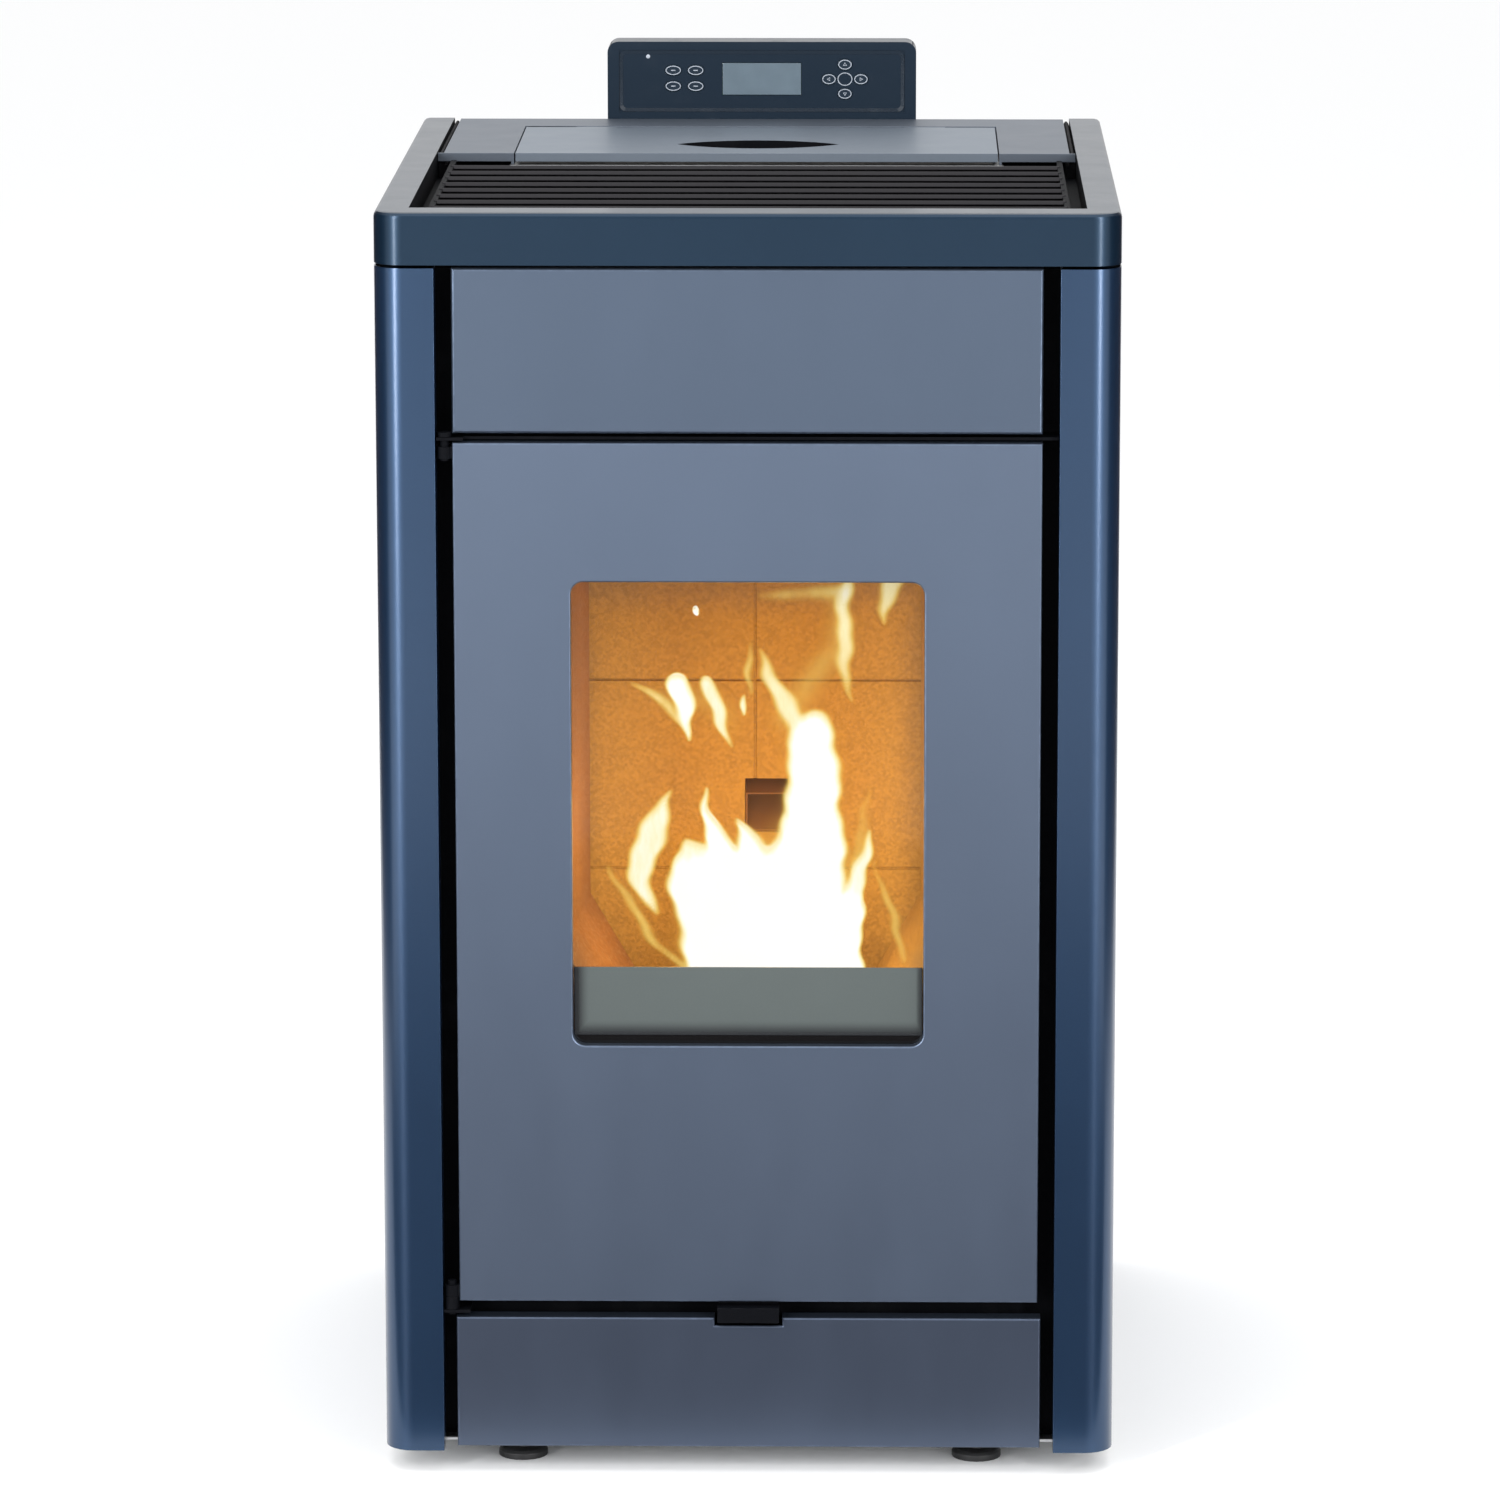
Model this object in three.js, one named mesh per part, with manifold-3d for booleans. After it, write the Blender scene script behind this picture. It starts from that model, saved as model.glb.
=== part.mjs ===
// Pellet stove: a free-standing room heater that burns wood pellets.
// Millimetres, +Z up, front towards -Y, origin under the middle of the whole object.
import * as THREE from 'three';
import { mergeVertices } from 'three/addons/utils/BufferGeometryUtils.js';
import Module from 'manifold-3d';

const wasm = await Module();
wasm.setup();

// ---------- Driving dimensions ----------

// Whole body
const WIDTH = 500;
const BODY_DEPTH = 560;
const FOOT_HEIGHT = 15; // floor to the underside of the side panels
const FLUE_REACH = 30; // flue stub behind the body
const LEVER_REACH = 4; // door lever in front of the body
const SHEET = 1.5; // casing sheet
const GAP = 0.3; // between pieces that seat on each other
const HOLE_PLAY = 0.25; // round a pin in its hole

// Top rim: a U of square section with rounded front corners
const RIM_HEIGHT = 35;
const RIM_WALL = 3;
const RIM_SEAM = 2; // shadow gap between rim and side panels
const RIM_ROUNDING = 4; // top outer edge
const RIM_REAR_RADIUS = 6;
const RAIL_WIDTH = 23; // side arms of the U
const FRONT_RAIL_DEPTH = 29.6;
const RIM_ROUNDING_STEPS = 3;
const RIM_RIB_INSET = 5; // foot rib to the outer wall
const LEDGE_DROP = 19; // rim top to the ledge that carries the grille
const LEDGE_SHEET = 2;
const LEDGE_WIDTH = 16;

// Side panels, wrapped round the front corners
const CORNER_RADIUS = 20;
const PILLAR_WIDTH = 41;
const PILLAR_RETURN = 18;
const REAR_RETURN = 15;
const TOP_FLANGE = 12;
const TOP_FLANGE_FRONT = 45; // flange's ends behind the front and before the back
const TOP_FLANGE_REAR = 20;

// Base and feet
const BASE_SHEET = 2;
const BASE_RISE = 2; // base underside above the side panels' underside
const BASE_FLANGE = 20;
const BASE_SETBACK = 20;
const FOOT_SPACING = 314;
const FOOT_INSET = 45;
const FOOT_RADIUS = 17;
const FOOT_PAD = 6;
const FOOT_CHAMFER = 2;
const STUD_RADIUS = 5;

// Fronts
const FRONT_SETBACK = 2; // fronts behind the pillars' faces
const FRONT_PAN = 14; // folded depth of a front
const FRONT_WIDTH = 395.4;
const UPPER_FRONT_HEIGHT = 111.6;
const DOOR_HEIGHT = 594.9;
const DOOR_TOP_GAP = 6.2;
const DOOR_BOTTOM_GAP = 11.3;
const DRAWER_FRONT_WIDTH = 400;
const DRAWER_FRONT_HEIGHT = 92;
const DRAWER_FRONT_RISE = 3; // above the side panels' underside
const MOUNT_BLOCK = 20;
const MOUNT_BLOCK_X = 130;
const MOUNT_BLOCK_Z = 56; // blocks' middle below the panel's top

// Window in the door
const WINDOW_WIDTH = 237.8;
const WINDOW_HEIGHT = 320;
const WINDOW_DROP = 94.8; // door top to window top
const WINDOW_RADIUS = 8.5;
const WINDOW_RETURN = 8; // depth of the folded edge
const GLASS_LAP = 11; // glass past the window's edge
const GLASS_THICKNESS = 4;
const TRIM_TOP = 53.4; // window's lower edge to the trim's top
const TRIM_SILL = 6; // window's lower edge to the trim's underside
const TRIM_SHEET = 1.2;
const TRIM_PLAY = 0.6;

// Door frame and rope gasket
const FRAME_DEPTH = 11.4;
const FRAME_BORDER = 46;
const FRAME_RADIUS = 12;
const FRAME_PAD_INSET = 6; // pads to the frame's outer edge
const GASKET_BORDER = 33; // gasket's outer edge past the window
const GASKET_WIDTH = 11;
const GASKET_DEPTH = 5.4;
const GASKET_RADIUS = 20;

// Door hinges
const HINGE_FROM_DOOR = 5.3; // pin to the door's edge
const HINGE_SETBACK = 4; // pin behind the door's face
const HINGE_PIN_RADIUS = 3;
const HINGE_EYE_RADIUS = 5;
const HINGE_EYE_HEIGHT = 8;
const HINGE_EYE_INSET = 3; // eye to the door's end
const HINGE_EYE_ARM = 5.4; // arm's thickness
const HINGE_SHELF = 2; // sheet of the shelves that hold the pins
const SHELF_RISE = 1.5; // upper shelf above the door
const SHELF_SETBACK = 8;
const SHELF_SIDE_GAP = 0.6;
const HINGE_TAB_WIDTH = 18;
const HINGE_TAB_SETBACK = 1.5;
const LOWER_TAB_RISE = 3; // lower shelf above the drawer front
const PIN_HEAD_HEIGHT = 3;
const PIN_END = 3; // pin past the eye or shelf it goes through

// Door lever
const LEVER_WIDTH = 42;
const LEVER_TOP_PLAY = 3; // lever's foot under the door
const LEVER_FOOT_HEIGHT = 10.4;
const LEVER_SHANK = 3.5;
const LEVER_PIVOT_RISE = 9.7; // pivot above the door's lower edge
const LEVER_PIVOT_DEPTH = 10; // pivot behind the door's face
const LEVER_BARREL_RADIUS = 4;
const LEVER_TRUNNION_RADIUS = 2.5;
const LEVER_HOOK_WIDTH = 12;
const LEVER_HOOK_REACH = 28;
const LEVER_HOOK_LIP = 6;
const LEVER_HOOK_SHEET = 5;
const LEVER_LIP_SHEET = 4;
const LEVER_SLOT_PLAY = 1.5;
const EAR_SHEET = 3;
const EAR_PLAY = 1;
const EAR_RISE = 6; // ear above and below the pivot
const EAR_REACH = 5; // ear behind the pivot
const BRACKET_PLATE = 10; // height of the plate that joins the ears
const NOTCH_WIDTH = 46;
const NOTCH_DEPTH = 5.5;

// Front wall behind the doors
const WALL_SHEET = 2;
const WALL_SETBACK = 32;
const WALL_TOP_DROP = 4; // below the side panels' top
const MOUTH_MARGIN = 9; // firebox mouth past the window
const LATCH_SLOT_WIDTH = 26;
const LATCH_SLOT_HEIGHT = 25;
const LATCH_SLOT_DROP = 10; // slot's lower edge under the lever's pivot
const DRAWER_MOUTH_HALF = 172;
const DRAWER_MOUTH_TOP = 104;

// Ash drawer
const DRAWER_WIDTH = 330;
const DRAWER_DEPTH = 270;
const DRAWER_HEIGHT = 78;
const RUNNER_PLAY = 0.4;

// Firebox shell and its hearth plate
const SHELL_HALF = 165;
const SHELL_WALL = 3;
const SHELL_DEPTH = 266;
const SHELL_BOTTOM = 106;
const SHELL_ABOVE = 33.6; // window's top to the shell's
const SHELL_FLANGE = 8;
const HEARTH_Z = 235;
const GAS_SLOT_OUTER = 160;
const GAS_SLOT_INNER = 148.5;
const GAS_SLOT_END = 26;

// Fireproof boards
const BOARD = 20;
const BOARD_HALF = 146.4;
const BOARD_DROP = 15.1; // window's top to the boards'
const SIDE_BOARD_FRONT = 127; // inner faces at the front
const SIDE_BOARD_REAR = 118; // inner faces at the rear
const SLOPE_TOP = 124; // slope's upper edge above the hearth
const SLOPE_LIP = 12;
const SLOPE_HALF = 62;
const JOINT_WIDTH = 1.6; // grooves between the panels of the back board
const JOINT_DEPTH = 2;
const JOINT_LOW = 127; // grooves above the hearth
const JOINT_PITCH = 137;
const BAFFLE = 15;
const BAFFLE_SETBACK = 92;

// Burn pot
const POT_WIDTH = 100;
const POT_DEPTH = 100;
const POT_SETBACK = 57; // behind the shell's front
const POT_BELOW = 35;
const POT_ABOVE = 52;
const POT_WALL = 4;
const POT_RIM = 8;
const POT_RIM_SHEET = 3;
const POT_HOLE_PLAY = 2; // round the pot in the hearth
const POT_HOLE_RADIUS = 3;
const POT_HOLE_PITCH = 22;
const POT_HOLES_PER_SIDE = 3;

// Pellet feed
const FEED_X = 8; // feed line to the right of the middle
const CHUTE_WIDTH = 30;
const CHUTE_WALL = 1.5;
const CHUTE_MOUTH_RISE = 154; // mouth above the hearth
const CHUTE_MOUTH_HEIGHT = 28;
const CHUTE_LENGTH = 70;
const CHUTE_SLOPE = 0.8; // fall over run
const CHUTE_THROAT = 44.5; // throat's length under the auger
const CHUTE_STEP = 10; // roof's rise from the mouth to the throat
const CHUTE_RISE = 92; // mouth's floor to the throat's top
const AUGER_GAP = 174.7; // shell's back to the lower end of the tube
const AUGER_RISE = 165; // lower end above the hearth
const AUGER_ANGLE = 35; // above level
const AUGER_LENGTH = 190;
const AUGER_TUBE_RADIUS = 30;
const AUGER_TUBE_WALL = 3;
const AUGER_PLAY = 2;
const AUGER_SHAFT_RADIUS = 8;
const AUGER_FLIGHT = 3;
const AUGER_TURNS = 4;
const AUGER_SHAFT_LEAD = 12; // shaft inside the gearbox
const INLET_START = 38;
const INLET_LENGTH = 50;
const INLET_HALF = 22;
const OUTLET_START = 148;
const OUTLET_LENGTH = 34;
const OUTLET_HALF = 12;
const GEARBOX_HALF = 30;
const GEARBOX_DEPTH = 42;
const GEAR_MOTOR_RADIUS = 20;
const GEAR_MOTOR_LENGTH = 52;
const FLIGHT_PLAY = 4; // flight's ends to the tube's

// Pellet hopper
const HOPPER_FLANGE = 16;
const HOPPER_HALF = 159.5;
const HOPPER_SETBACK = 358.5;
const HOPPER_DEPTH = 134;
const FLANGE_LAP = 1; // hopper's flange past the folded edges that rest on it
const HOPPER_STRAIGHT = 220;
const SPOUT_HALF = 26;
const SPOUT_LEAD = 63; // spout's front before the auger tube's lower end
const SPOUT_DEPTH = 52;
const SPOUT_TOP = 500;
const SPOUT_BOTTOM = 428;

// Top plate and hopper lid
const PLATE_SHEET = 2;
const PLATE_DROP = 1; // below the rim's top
const PLATE_GAP = 4.5; // to the rails
const PLATE_SETBACK = 345;
const PLATE_LIP = 6;
const PLATE_FLANGE = 8; // folded edge round the lid's cut-out
const PLATE_REAR_GAP = 0.5;
const LID_WIDTH = 343;
const LID_DEPTH = 161;
const LID_SIDE_GAP = 1;
const LID_REAR_GAP = 6.5;
const LID_PIN_RADIUS = 1.5;
const LID_EYE_RADIUS = 3.5;
const LID_EYE_WIDTH = 30;
const LID_EYE_X = 120;
const LID_PIN_SETBACK = 2; // pin behind the lid's edge
const LID_PIN_END = 1.4;
const LUG_WIDTH = 3;
const LUG_GAP = 0.6;
const LUG_TOP_PLAY = 0.5;
const SEAL_WIDTH = 8;
const SEAL_INSET = 3.5; // seal to the lid's sides
const SEAL_FRONT = 5;
const SEAL_REAR = 6;
const GRIP_HALF = 58.5; // lens-shaped finger recess
const GRIP_FRONT = 26;
const GRIP_REAR = 24;
const GRIP_SETBACK = 56; // tips behind the lid's front edge
const GRIP_DEPTH = 14;
const GRIP_WALL = 1.5;
const GRIP_STEPS = 12;

// Warm-air grille
const GRILLE_SIDE_GAP = 10;
const GRILLE_BAR = 4;
const GRILLE_BAR_HEIGHT = 13;
const GRILLE_FRONT_GAP = 3;
const SLAT_PITCH = 32.5;
const SLAT_COUNT = 9;
const SLAT_FIRST = 22; // first slat behind the front rail
const SLAT_LENGTH = 22;
const SLAT_SHEET = 3;
const SLAT_TILT = 32; // above level, upper edge to the front
const GRILLE_RIB = 3;
const GRILLE_RIB_HEIGHT = 5;

// Rear panel
const SOCKET_X = -180;
const SOCKET_Z = 60;
const SOCKET_WIDTH = 40;
const SOCKET_HEIGHT = 72;
const SOCKET_FRAME = 2;
const SOCKET_LAP = 3.5;
const SOCKET_DEPTH = 24;
const INLET_WIDTH = 27;
const INLET_HEIGHT = 20;
const INLET_DEPTH = 16;
const INLET_RISE = 10;
const CONTACT_SIZE = 2.4;
const CONTACT_PITCH = 7;
const ROCKER_WIDTH = 21;
const ROCKER_HEIGHT = 14;
const ROCKER_DEPTH = 9;
const ROCKER_RISE = 54; // pivot above the socket's lower edge
const ROCKER_TILT = 8;
const ROCKER_PLAY = 1.2;
const ROCKER_TRUNNION = 1.5;
const VENT_X = -100;
const VENT_HALF = 42;
const VENT_HEIGHT = 5;
const VENT_PITCH = 12;
const VENT_COUNT = 7;
const VENT_Z = 40;

// Exhaust fan and flue
const FAN_X = 60;
const FAN_WIDTH = 86;
const FAN_SETBACK = 375;
const FAN_Z = 172;
const FAN_RADIUS = 62;
const FAN_WALL = 3;
const DUCT_BOTTOM = 114;
const DUCT_HEIGHT = 44;
const FLUE_RADIUS = 40;
const FLUE_WALL = 1.5;
const FLUE_START = 440;
const IMPELLER_RADIUS = 50;
const IMPELLER_PLAY = 12; // to the housing's side walls
const IMPELLER_DISC = 2;
const IMPELLER_BLADES = 8;
const FAN_SHAFT_RADIUS = 4;
const FAN_SHAFT_LEAD = 20;
const FAN_MOTOR_RADIUS = 34;
const FAN_MOTOR_LENGTH = 52;
const FLUE_HOLE_PLAY = 2;
const FLUE_RISE = 31; // flue's axis above the fan's

// Combustion air intake and igniter
const INTAKE_X = -90;
const INTAKE_Z = 200;
const INTAKE_RADIUS = 25;
const INTAKE_REACH = 20;
const INTAKE_FLANGE = 8;
const INTAKE_FLANGE_SHEET = 3;
const IGNITER_RADIUS = 5;
const IGNITER_DROP = 18; // below the hearth
const IGNITER_TAIL = 40;
const IGNITER_FLANGE_RADIUS = 12;
const IGNITER_FLANGE_SHEET = 5;

// Room-air blower
const BLOWER_X = -205;
const BLOWER_WIDTH = 160;
const BLOWER_SETBACK = 422;
const BLOWER_DEPTH = 106;
const BLOWER_HEIGHT = 108;
const BLOWER_WALL = 1.5;
const BLOWER_PORT_MARGIN = 14;
const WHEEL_RADIUS = 34;
const WHEEL_RIM = 7;
const WHEEL_DISC = 2;
const WHEEL_PLAY = 6;
const WHEEL_BLADES = 12;
const WHEEL_SHAFT_RADIUS = 4;

// Boards and controls
const POWER_BOARD_SETBACK = 400;
const POWER_BOARD_LENGTH = 120;
const POWER_BOARD_Z = 260;
const POWER_BOARD_HEIGHT = 140;
const TRANSFORMER = { fromRear: 30, fromBottom: 84, length: 44, height: 40, depth: 32 };
const RELAY = { fromRear: 16, fromBottom: 20, length: 16, height: 28, depth: 15 };
const RELAY_PITCH = 24;
const RELAY_COUNT = 3;
const TERMINALS = { fromRear: 18, fromBottom: 6, length: 84, height: 9, depth: 11 };
const CAPACITOR = { fromFront: 28, fromBottom: 62, pitch: 24, radius: 9, length: 26 };
const CIRCUIT_BOARD = 1.6;
const STANDOFF = 8;
const STANDOFF_RADIUS = 4;
const STANDOFF_INSET = 8;
const CONTROL_WIDTH = 228;
const CONTROL_TOP = 56; // above the rim
const CONTROL_BOTTOM = 26; // below the rim
const CONTROL_DEPTH = 27.7;
const CONTROL_RADIUS = 8;
const CONTROL_WALL = 2;
const CONTROL_FACE = 2.5;
const FACE_HALF = 105.5;
const FACE_RECESS = 0.8;
const FACE_TOP = 6.2; // margins of the recessed face
const FACE_BOTTOM = 4;
const BRACKET_HALF = 60;
const BRACKET_HEIGHT = 14;
const BRACKET_RISE = 3;
const DISPLAY_WIDTH = 58;
const DISPLAY_HEIGHT = 23.5;
const DISPLAY_RISE = 28.4; // display's middle above the rim
const KEY_PROUD = 0.6;
const KEY_LENGTH = 4;
const KEY_WIDTH = 12.4;
const KEY_HEIGHT = 8;
const KEY_X = [-65.5, -48.9];
const KEY_RISE = [34.8, 23.1];
const ARROW_X = 61.4;
const ARROW_REACH = 11.8; // cluster's middle to the left and right keys
const ARROW_RISE = 10.8; // cluster's middle to the upper and lower keys
const ARROW_WIDTH = 11;
const ARROW_HEIGHT = 8.4;
const DISPLAY_BOARD_HALF = 98;
const DISPLAY_BOARD_HEIGHT = 60;
const DISPLAY_BOARD_DROP = 16; // board's lower edge under the rim
const DISPLAY_BOARD_SETBACK = 5.2; // board behind the housing's front
const BOARD_BOSS = 6;
const BOARD_BOSS_INSET = 2;

// Facets round a full circle, and how far a cutting shape runs past the face it opens
const ROUND = 24;
const FINE_ROUND = 16;
const CORNER_STEPS = 6;
const PAST = 1;

// ---------- Places worked out from the sizes ----------

const HALF = WIDTH / 2;
const FRONT = -(BODY_DEPTH + FLUE_REACH - LEVER_REACH) / 2;
const BACK = FRONT + BODY_DEPTH;
const DRAWER_BOTTOM = FOOT_HEIGHT + DRAWER_FRONT_RISE;
const DRAWER_TOP = DRAWER_BOTTOM + DRAWER_FRONT_HEIGHT;
const DOOR_BOTTOM = DRAWER_TOP + DOOR_BOTTOM_GAP;
const DOOR_TOP = DOOR_BOTTOM + DOOR_HEIGHT;
const SIDE_TOP = DOOR_TOP + DOOR_TOP_GAP + UPPER_FRONT_HEIGHT;
const TOP = SIDE_TOP + RIM_SEAM + RIM_HEIGHT;
const INNER_HALF = HALF - SHEET; // inside of the side panels
const RAIL_INNER = HALF - RAIL_WIDTH;

const BASE_BOTTOM = FOOT_HEIGHT + BASE_RISE;
const BASE_TOP = BASE_BOTTOM + BASE_SHEET;
const BASE_HALF = INNER_HALF - GAP;
const REAR_OUT = BACK - SHEET - GAP; // rear panel's outer face
const REAR_IN = REAR_OUT - SHEET;

const FACE = FRONT + FRONT_SETBACK; // front faces of the doors
const FACE_IN = FACE + SHEET;
const PAN_BACK = FACE + FRONT_PAN;
const FRONT_HALF = FRONT_WIDTH / 2;
const WALL_FRONT = FRONT + WALL_SETBACK;
const WALL_BACK = WALL_FRONT + WALL_SHEET;

const WINDOW_HALF = WINDOW_WIDTH / 2;
const WINDOW_TOP = DOOR_TOP - WINDOW_DROP;
const WINDOW_BOTTOM = WINDOW_TOP - WINDOW_HEIGHT;
const RETURN_BACK = FACE + WINDOW_RETURN;
const GLASS_FRONT = RETURN_BACK + GAP;
const GLASS_BACK = GLASS_FRONT + GLASS_THICKNESS;
const FRAME_FRONT = GLASS_BACK + GAP;
const FRAME_BACK = FRAME_FRONT + FRAME_DEPTH;
const GASKET_FRONT = FRAME_BACK + GAP;

const HINGE_X = -(FRONT_HALF + HINGE_FROM_DOOR);
const HINGE_Y = FACE + HINGE_SETBACK;
const SHELF_BOTTOM = DOOR_TOP + SHELF_RISE;
const SHELF_TOP = SHELF_BOTTOM + HINGE_SHELF;
const TAB_BOTTOM = DRAWER_TOP + LOWER_TAB_RISE;
const TAB_TOP = TAB_BOTTOM + HINGE_SHELF;

const LEVER_PIVOT_Y = FACE + LEVER_PIVOT_DEPTH;
const LEVER_PIVOT_Z = DOOR_BOTTOM + LEVER_PIVOT_RISE;
const LEVER_HALF = LEVER_WIDTH / 2;
const SLOT_HALF = LEVER_HALF + LEVER_SLOT_PLAY;

const SHELL_FRONT = WALL_BACK + GAP;
const SHELL_BACK = SHELL_FRONT + SHELL_DEPTH;
const SHELL_TOP = WINDOW_TOP + SHELL_ABOVE;
const HEARTH_TOP = HEARTH_Z + SHELL_WALL;
const BOARD_BOTTOM = HEARTH_TOP + GAP;
const BOARD_TOP = WINDOW_TOP - BOARD_DROP;
const BACK_BOARD_REAR = SHELL_BACK - SHELL_WALL - GAP;
const BACK_BOARD_FRONT = BACK_BOARD_REAR - BOARD;

const POT_FRONT = SHELL_FRONT + POT_SETBACK;
const POT_REAR = POT_FRONT + POT_DEPTH;
const POT_HALF = POT_WIDTH / 2;

const CHUTE_FLOOR = HEARTH_TOP + CHUTE_MOUTH_RISE;
const CHUTE_BACK = BACK_BOARD_FRONT + CHUTE_LENGTH;
const AUGER_Y = SHELL_BACK + AUGER_GAP;
const SPOUT_FRONT = AUGER_Y - SPOUT_LEAD;
const AUGER_Z = HEARTH_Z + AUGER_RISE;
const AUGER_TILT = THREE.MathUtils.degToRad(90 - AUGER_ANGLE);

const PLATE_TOP = TOP - PLATE_DROP;
const PLATE_UNDER = PLATE_TOP - PLATE_SHEET;
const PLATE_HALF = RAIL_INNER - PLATE_GAP;
const PLATE_FRONT = FRONT + PLATE_SETBACK;
const LID_HALF = LID_WIDTH / 2;
const LID_BACK = PLATE_FRONT + LID_DEPTH;
const LID_PIN_Y = LID_BACK + LID_PIN_SETBACK;
const LID_PIN_Z = PLATE_TOP - LID_EYE_RADIUS;
const STRIP_FRONT = LID_BACK + LID_REAR_GAP;
const CUTOUT_HALF = LID_HALF + LID_SIDE_GAP;
const HOPPER_RIM = PLATE_TOP - PLATE_FLANGE - GAP;

const FLUE_X = FAN_X + FAN_WIDTH / 2;
const FAN_Y = FRONT + FAN_SETBACK;
const FLUE_FRONT = FRONT + FLUE_START;
const FLUE_Z = FAN_Z + FLUE_RISE;
const IGNITER_Z = HEARTH_Z - IGNITER_DROP;
const CONTROL_FRONT = BACK + GAP;
const CONTROL_HALF = CONTROL_WIDTH / 2;
const FACE_PLANE = CONTROL_FRONT + FACE_RECESS;
const EAR_INNER = LEVER_HALF + EAR_PLAY;
const EAR_OUTER = EAR_INNER + EAR_SHEET;
const GRILLE_HALF = RAIL_INNER - GRILLE_SIDE_GAP;
const LEDGE_TOP = TOP - LEDGE_DROP;
const LEDGE_BOTTOM = LEDGE_TOP - LEDGE_SHEET;
const RIM_BOTTOM = TOP - RIM_HEIGHT;
const DISPLAY_Z = TOP + DISPLAY_RISE;
const BOARD_FRONT = CONTROL_FRONT + DISPLAY_BOARD_SETBACK;

// ---------- Outlines: lists of [u, v] points ----------

function arc(cu, cv, radius, from, to, steps) {
  const points = [];
  for (let i = 0; i <= steps; i += 1) {
    const angle = THREE.MathUtils.degToRad(from + ((to - from) * i) / steps);
    points.push([cu + radius * Math.cos(angle), cv + radius * Math.sin(angle)]);
  }
  return points;
}

function circle(cu, cv, radius, steps = ROUND) {
  return arc(cu, cv, radius, 0, 360, steps).slice(0, -1);
}

function oval(cu, cv, width, height) {
  return circle(0, 0, 1, ROUND).map(([u, v]) => [cu + (u * width) / 2, cv + (v * height) / 2]);
}

function rectangle([u0, u1], [v0, v1]) {
  return [[u0, v0], [u1, v0], [u1, v1], [u0, v1]];
}

function roundedRectangle([u0, u1], [v0, v1], radius) {
  return [
    ...arc(u1 - radius, v0 + radius, radius, -90, 0, CORNER_STEPS),
    ...arc(u1 - radius, v1 - radius, radius, 0, 90, CORNER_STEPS),
    ...arc(u0 + radius, v1 - radius, radius, 90, 180, CORNER_STEPS),
    ...arc(u0 + radius, v0 + radius, radius, 180, 270, CORNER_STEPS),
  ];
}

// Shallow arc from -half to half whose middle lies `sag` from its ends
function bow(half, sag) {
  const radius = (half * half + sag * sag) / (2 * sag);
  const reach = THREE.MathUtils.radToDeg(Math.asin(half / radius));
  return arc(0, radius - sag, radius, -90 - reach, -90 + reach, GRIP_STEPS);
}

// Two bows that meet in a tip at each end
function lens(half, front, rear, cv) {
  const near = bow(half, front).map(([u, v]) => [u, cv + v]);
  const far = bow(half, rear).map(([u, v]) => [-u, cv - v]);
  return [...near.slice(0, -1), ...far.slice(0, -1)];
}

function heading([u0, v0], [u1, v1]) {
  const length = Math.hypot(u1 - u0, v1 - v0);
  return [(u1 - u0) / length, (v1 - v0) / length];
}

// Section of a bent sheet: a path, and the same path moved to its right by the thickness
function bentSheet(path, thickness) {
  const last = path.length - 1;
  const moved = path.map(([u, v], i) => {
    const before = heading(path[Math.max(i - 1, 0)], path[Math.max(i, 1)]);
    const after = heading(path[Math.min(i, last - 1)], path[Math.min(i + 1, last)]);
    const sum = [before[1] + after[1], -(before[0] + after[0])];
    const scale = (2 * thickness) / (sum[0] ** 2 + sum[1] ** 2);
    return [u + sum[0] * scale, v + sum[1] * scale];
  });
  return [...path, ...moved.reverse()];
}

// Ranges: [from, to]
function inset([from, to], amount) {
  return [from + amount, to - amount];
}

function about(middle, half) {
  return [middle - half, middle + half];
}

// A range on the left (side -1) or on the right (side 1)
function sided(side, near, far) {
  return side > 0 ? [near, far] : [-far, -near];
}

function mirrored(side, outline) {
  return outline.map(([u, v]) => [side * u, v]);
}

// ---------- Solids ----------

function shapeOf(outline, holes) {
  const points = outline.map(([u, v]) => new THREE.Vector2(u, v));
  if (THREE.ShapeUtils.isClockWise(points)) {
    points.reverse();
  }
  const shape = new THREE.Shape(points);
  for (const hole of holes) {
    shape.holes.push(new THREE.Path(hole.map(([u, v]) => new THREE.Vector2(u, v))));
  }
  return shape;
}

function prism(outline, [from, to], holes, place) {
  const options = { depth: 1, steps: 1, bevelEnabled: false };
  const geometry = new THREE.ExtrudeGeometry(shapeOf(outline, holes), options);
  const { position } = geometry.attributes;
  for (let i = 0; i < position.count; i += 1) {
    const along = position.getZ(i) < 0.5 ? from : to;
    position.setXYZ(i, ...place(position.getX(i), position.getY(i), along));
  }
  return geometry;
}

// Outline in x and y
function prismZ(outline, range, holes = []) {
  return prism(outline, range, holes, (u, v, along) => [u, v, along]);
}

// Outline in y and z
function prismX(outline, range, holes = []) {
  return prism(outline, range, holes, (u, v, along) => [along, u, v]);
}

// Outline in x and z
function prismY(outline, [front, back], holes = []) {
  return prism(outline, [back, front], holes, (u, v, along) => [u, along, v]);
}

// Closed skin over a row of rings of points, with the triangles that cap its two ends
function skin(rings, cap) {
  const count = rings[0].length;
  const last = count * (rings.length - 1);
  const triangles = [];
  for (let start = 0; start < last; start += count) {
    for (let i = 0; i < count; i += 1) {
      const here = start + i;
      const next = start + ((i + 1) % count);
      triangles.push(here, next, next + count);
      triangles.push(here, next + count, here + count);
    }
  }
  for (const [a, b, c] of cap) {
    triangles.push(c, b, a);
    triangles.push(last + a, last + b, last + c);
  }
  const geometry = new THREE.BufferGeometry();
  geometry.setAttribute('position', new THREE.Float32BufferAttribute(rings.flat(2), 3));
  geometry.setIndex(triangles);
  return geometry;
}

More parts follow.
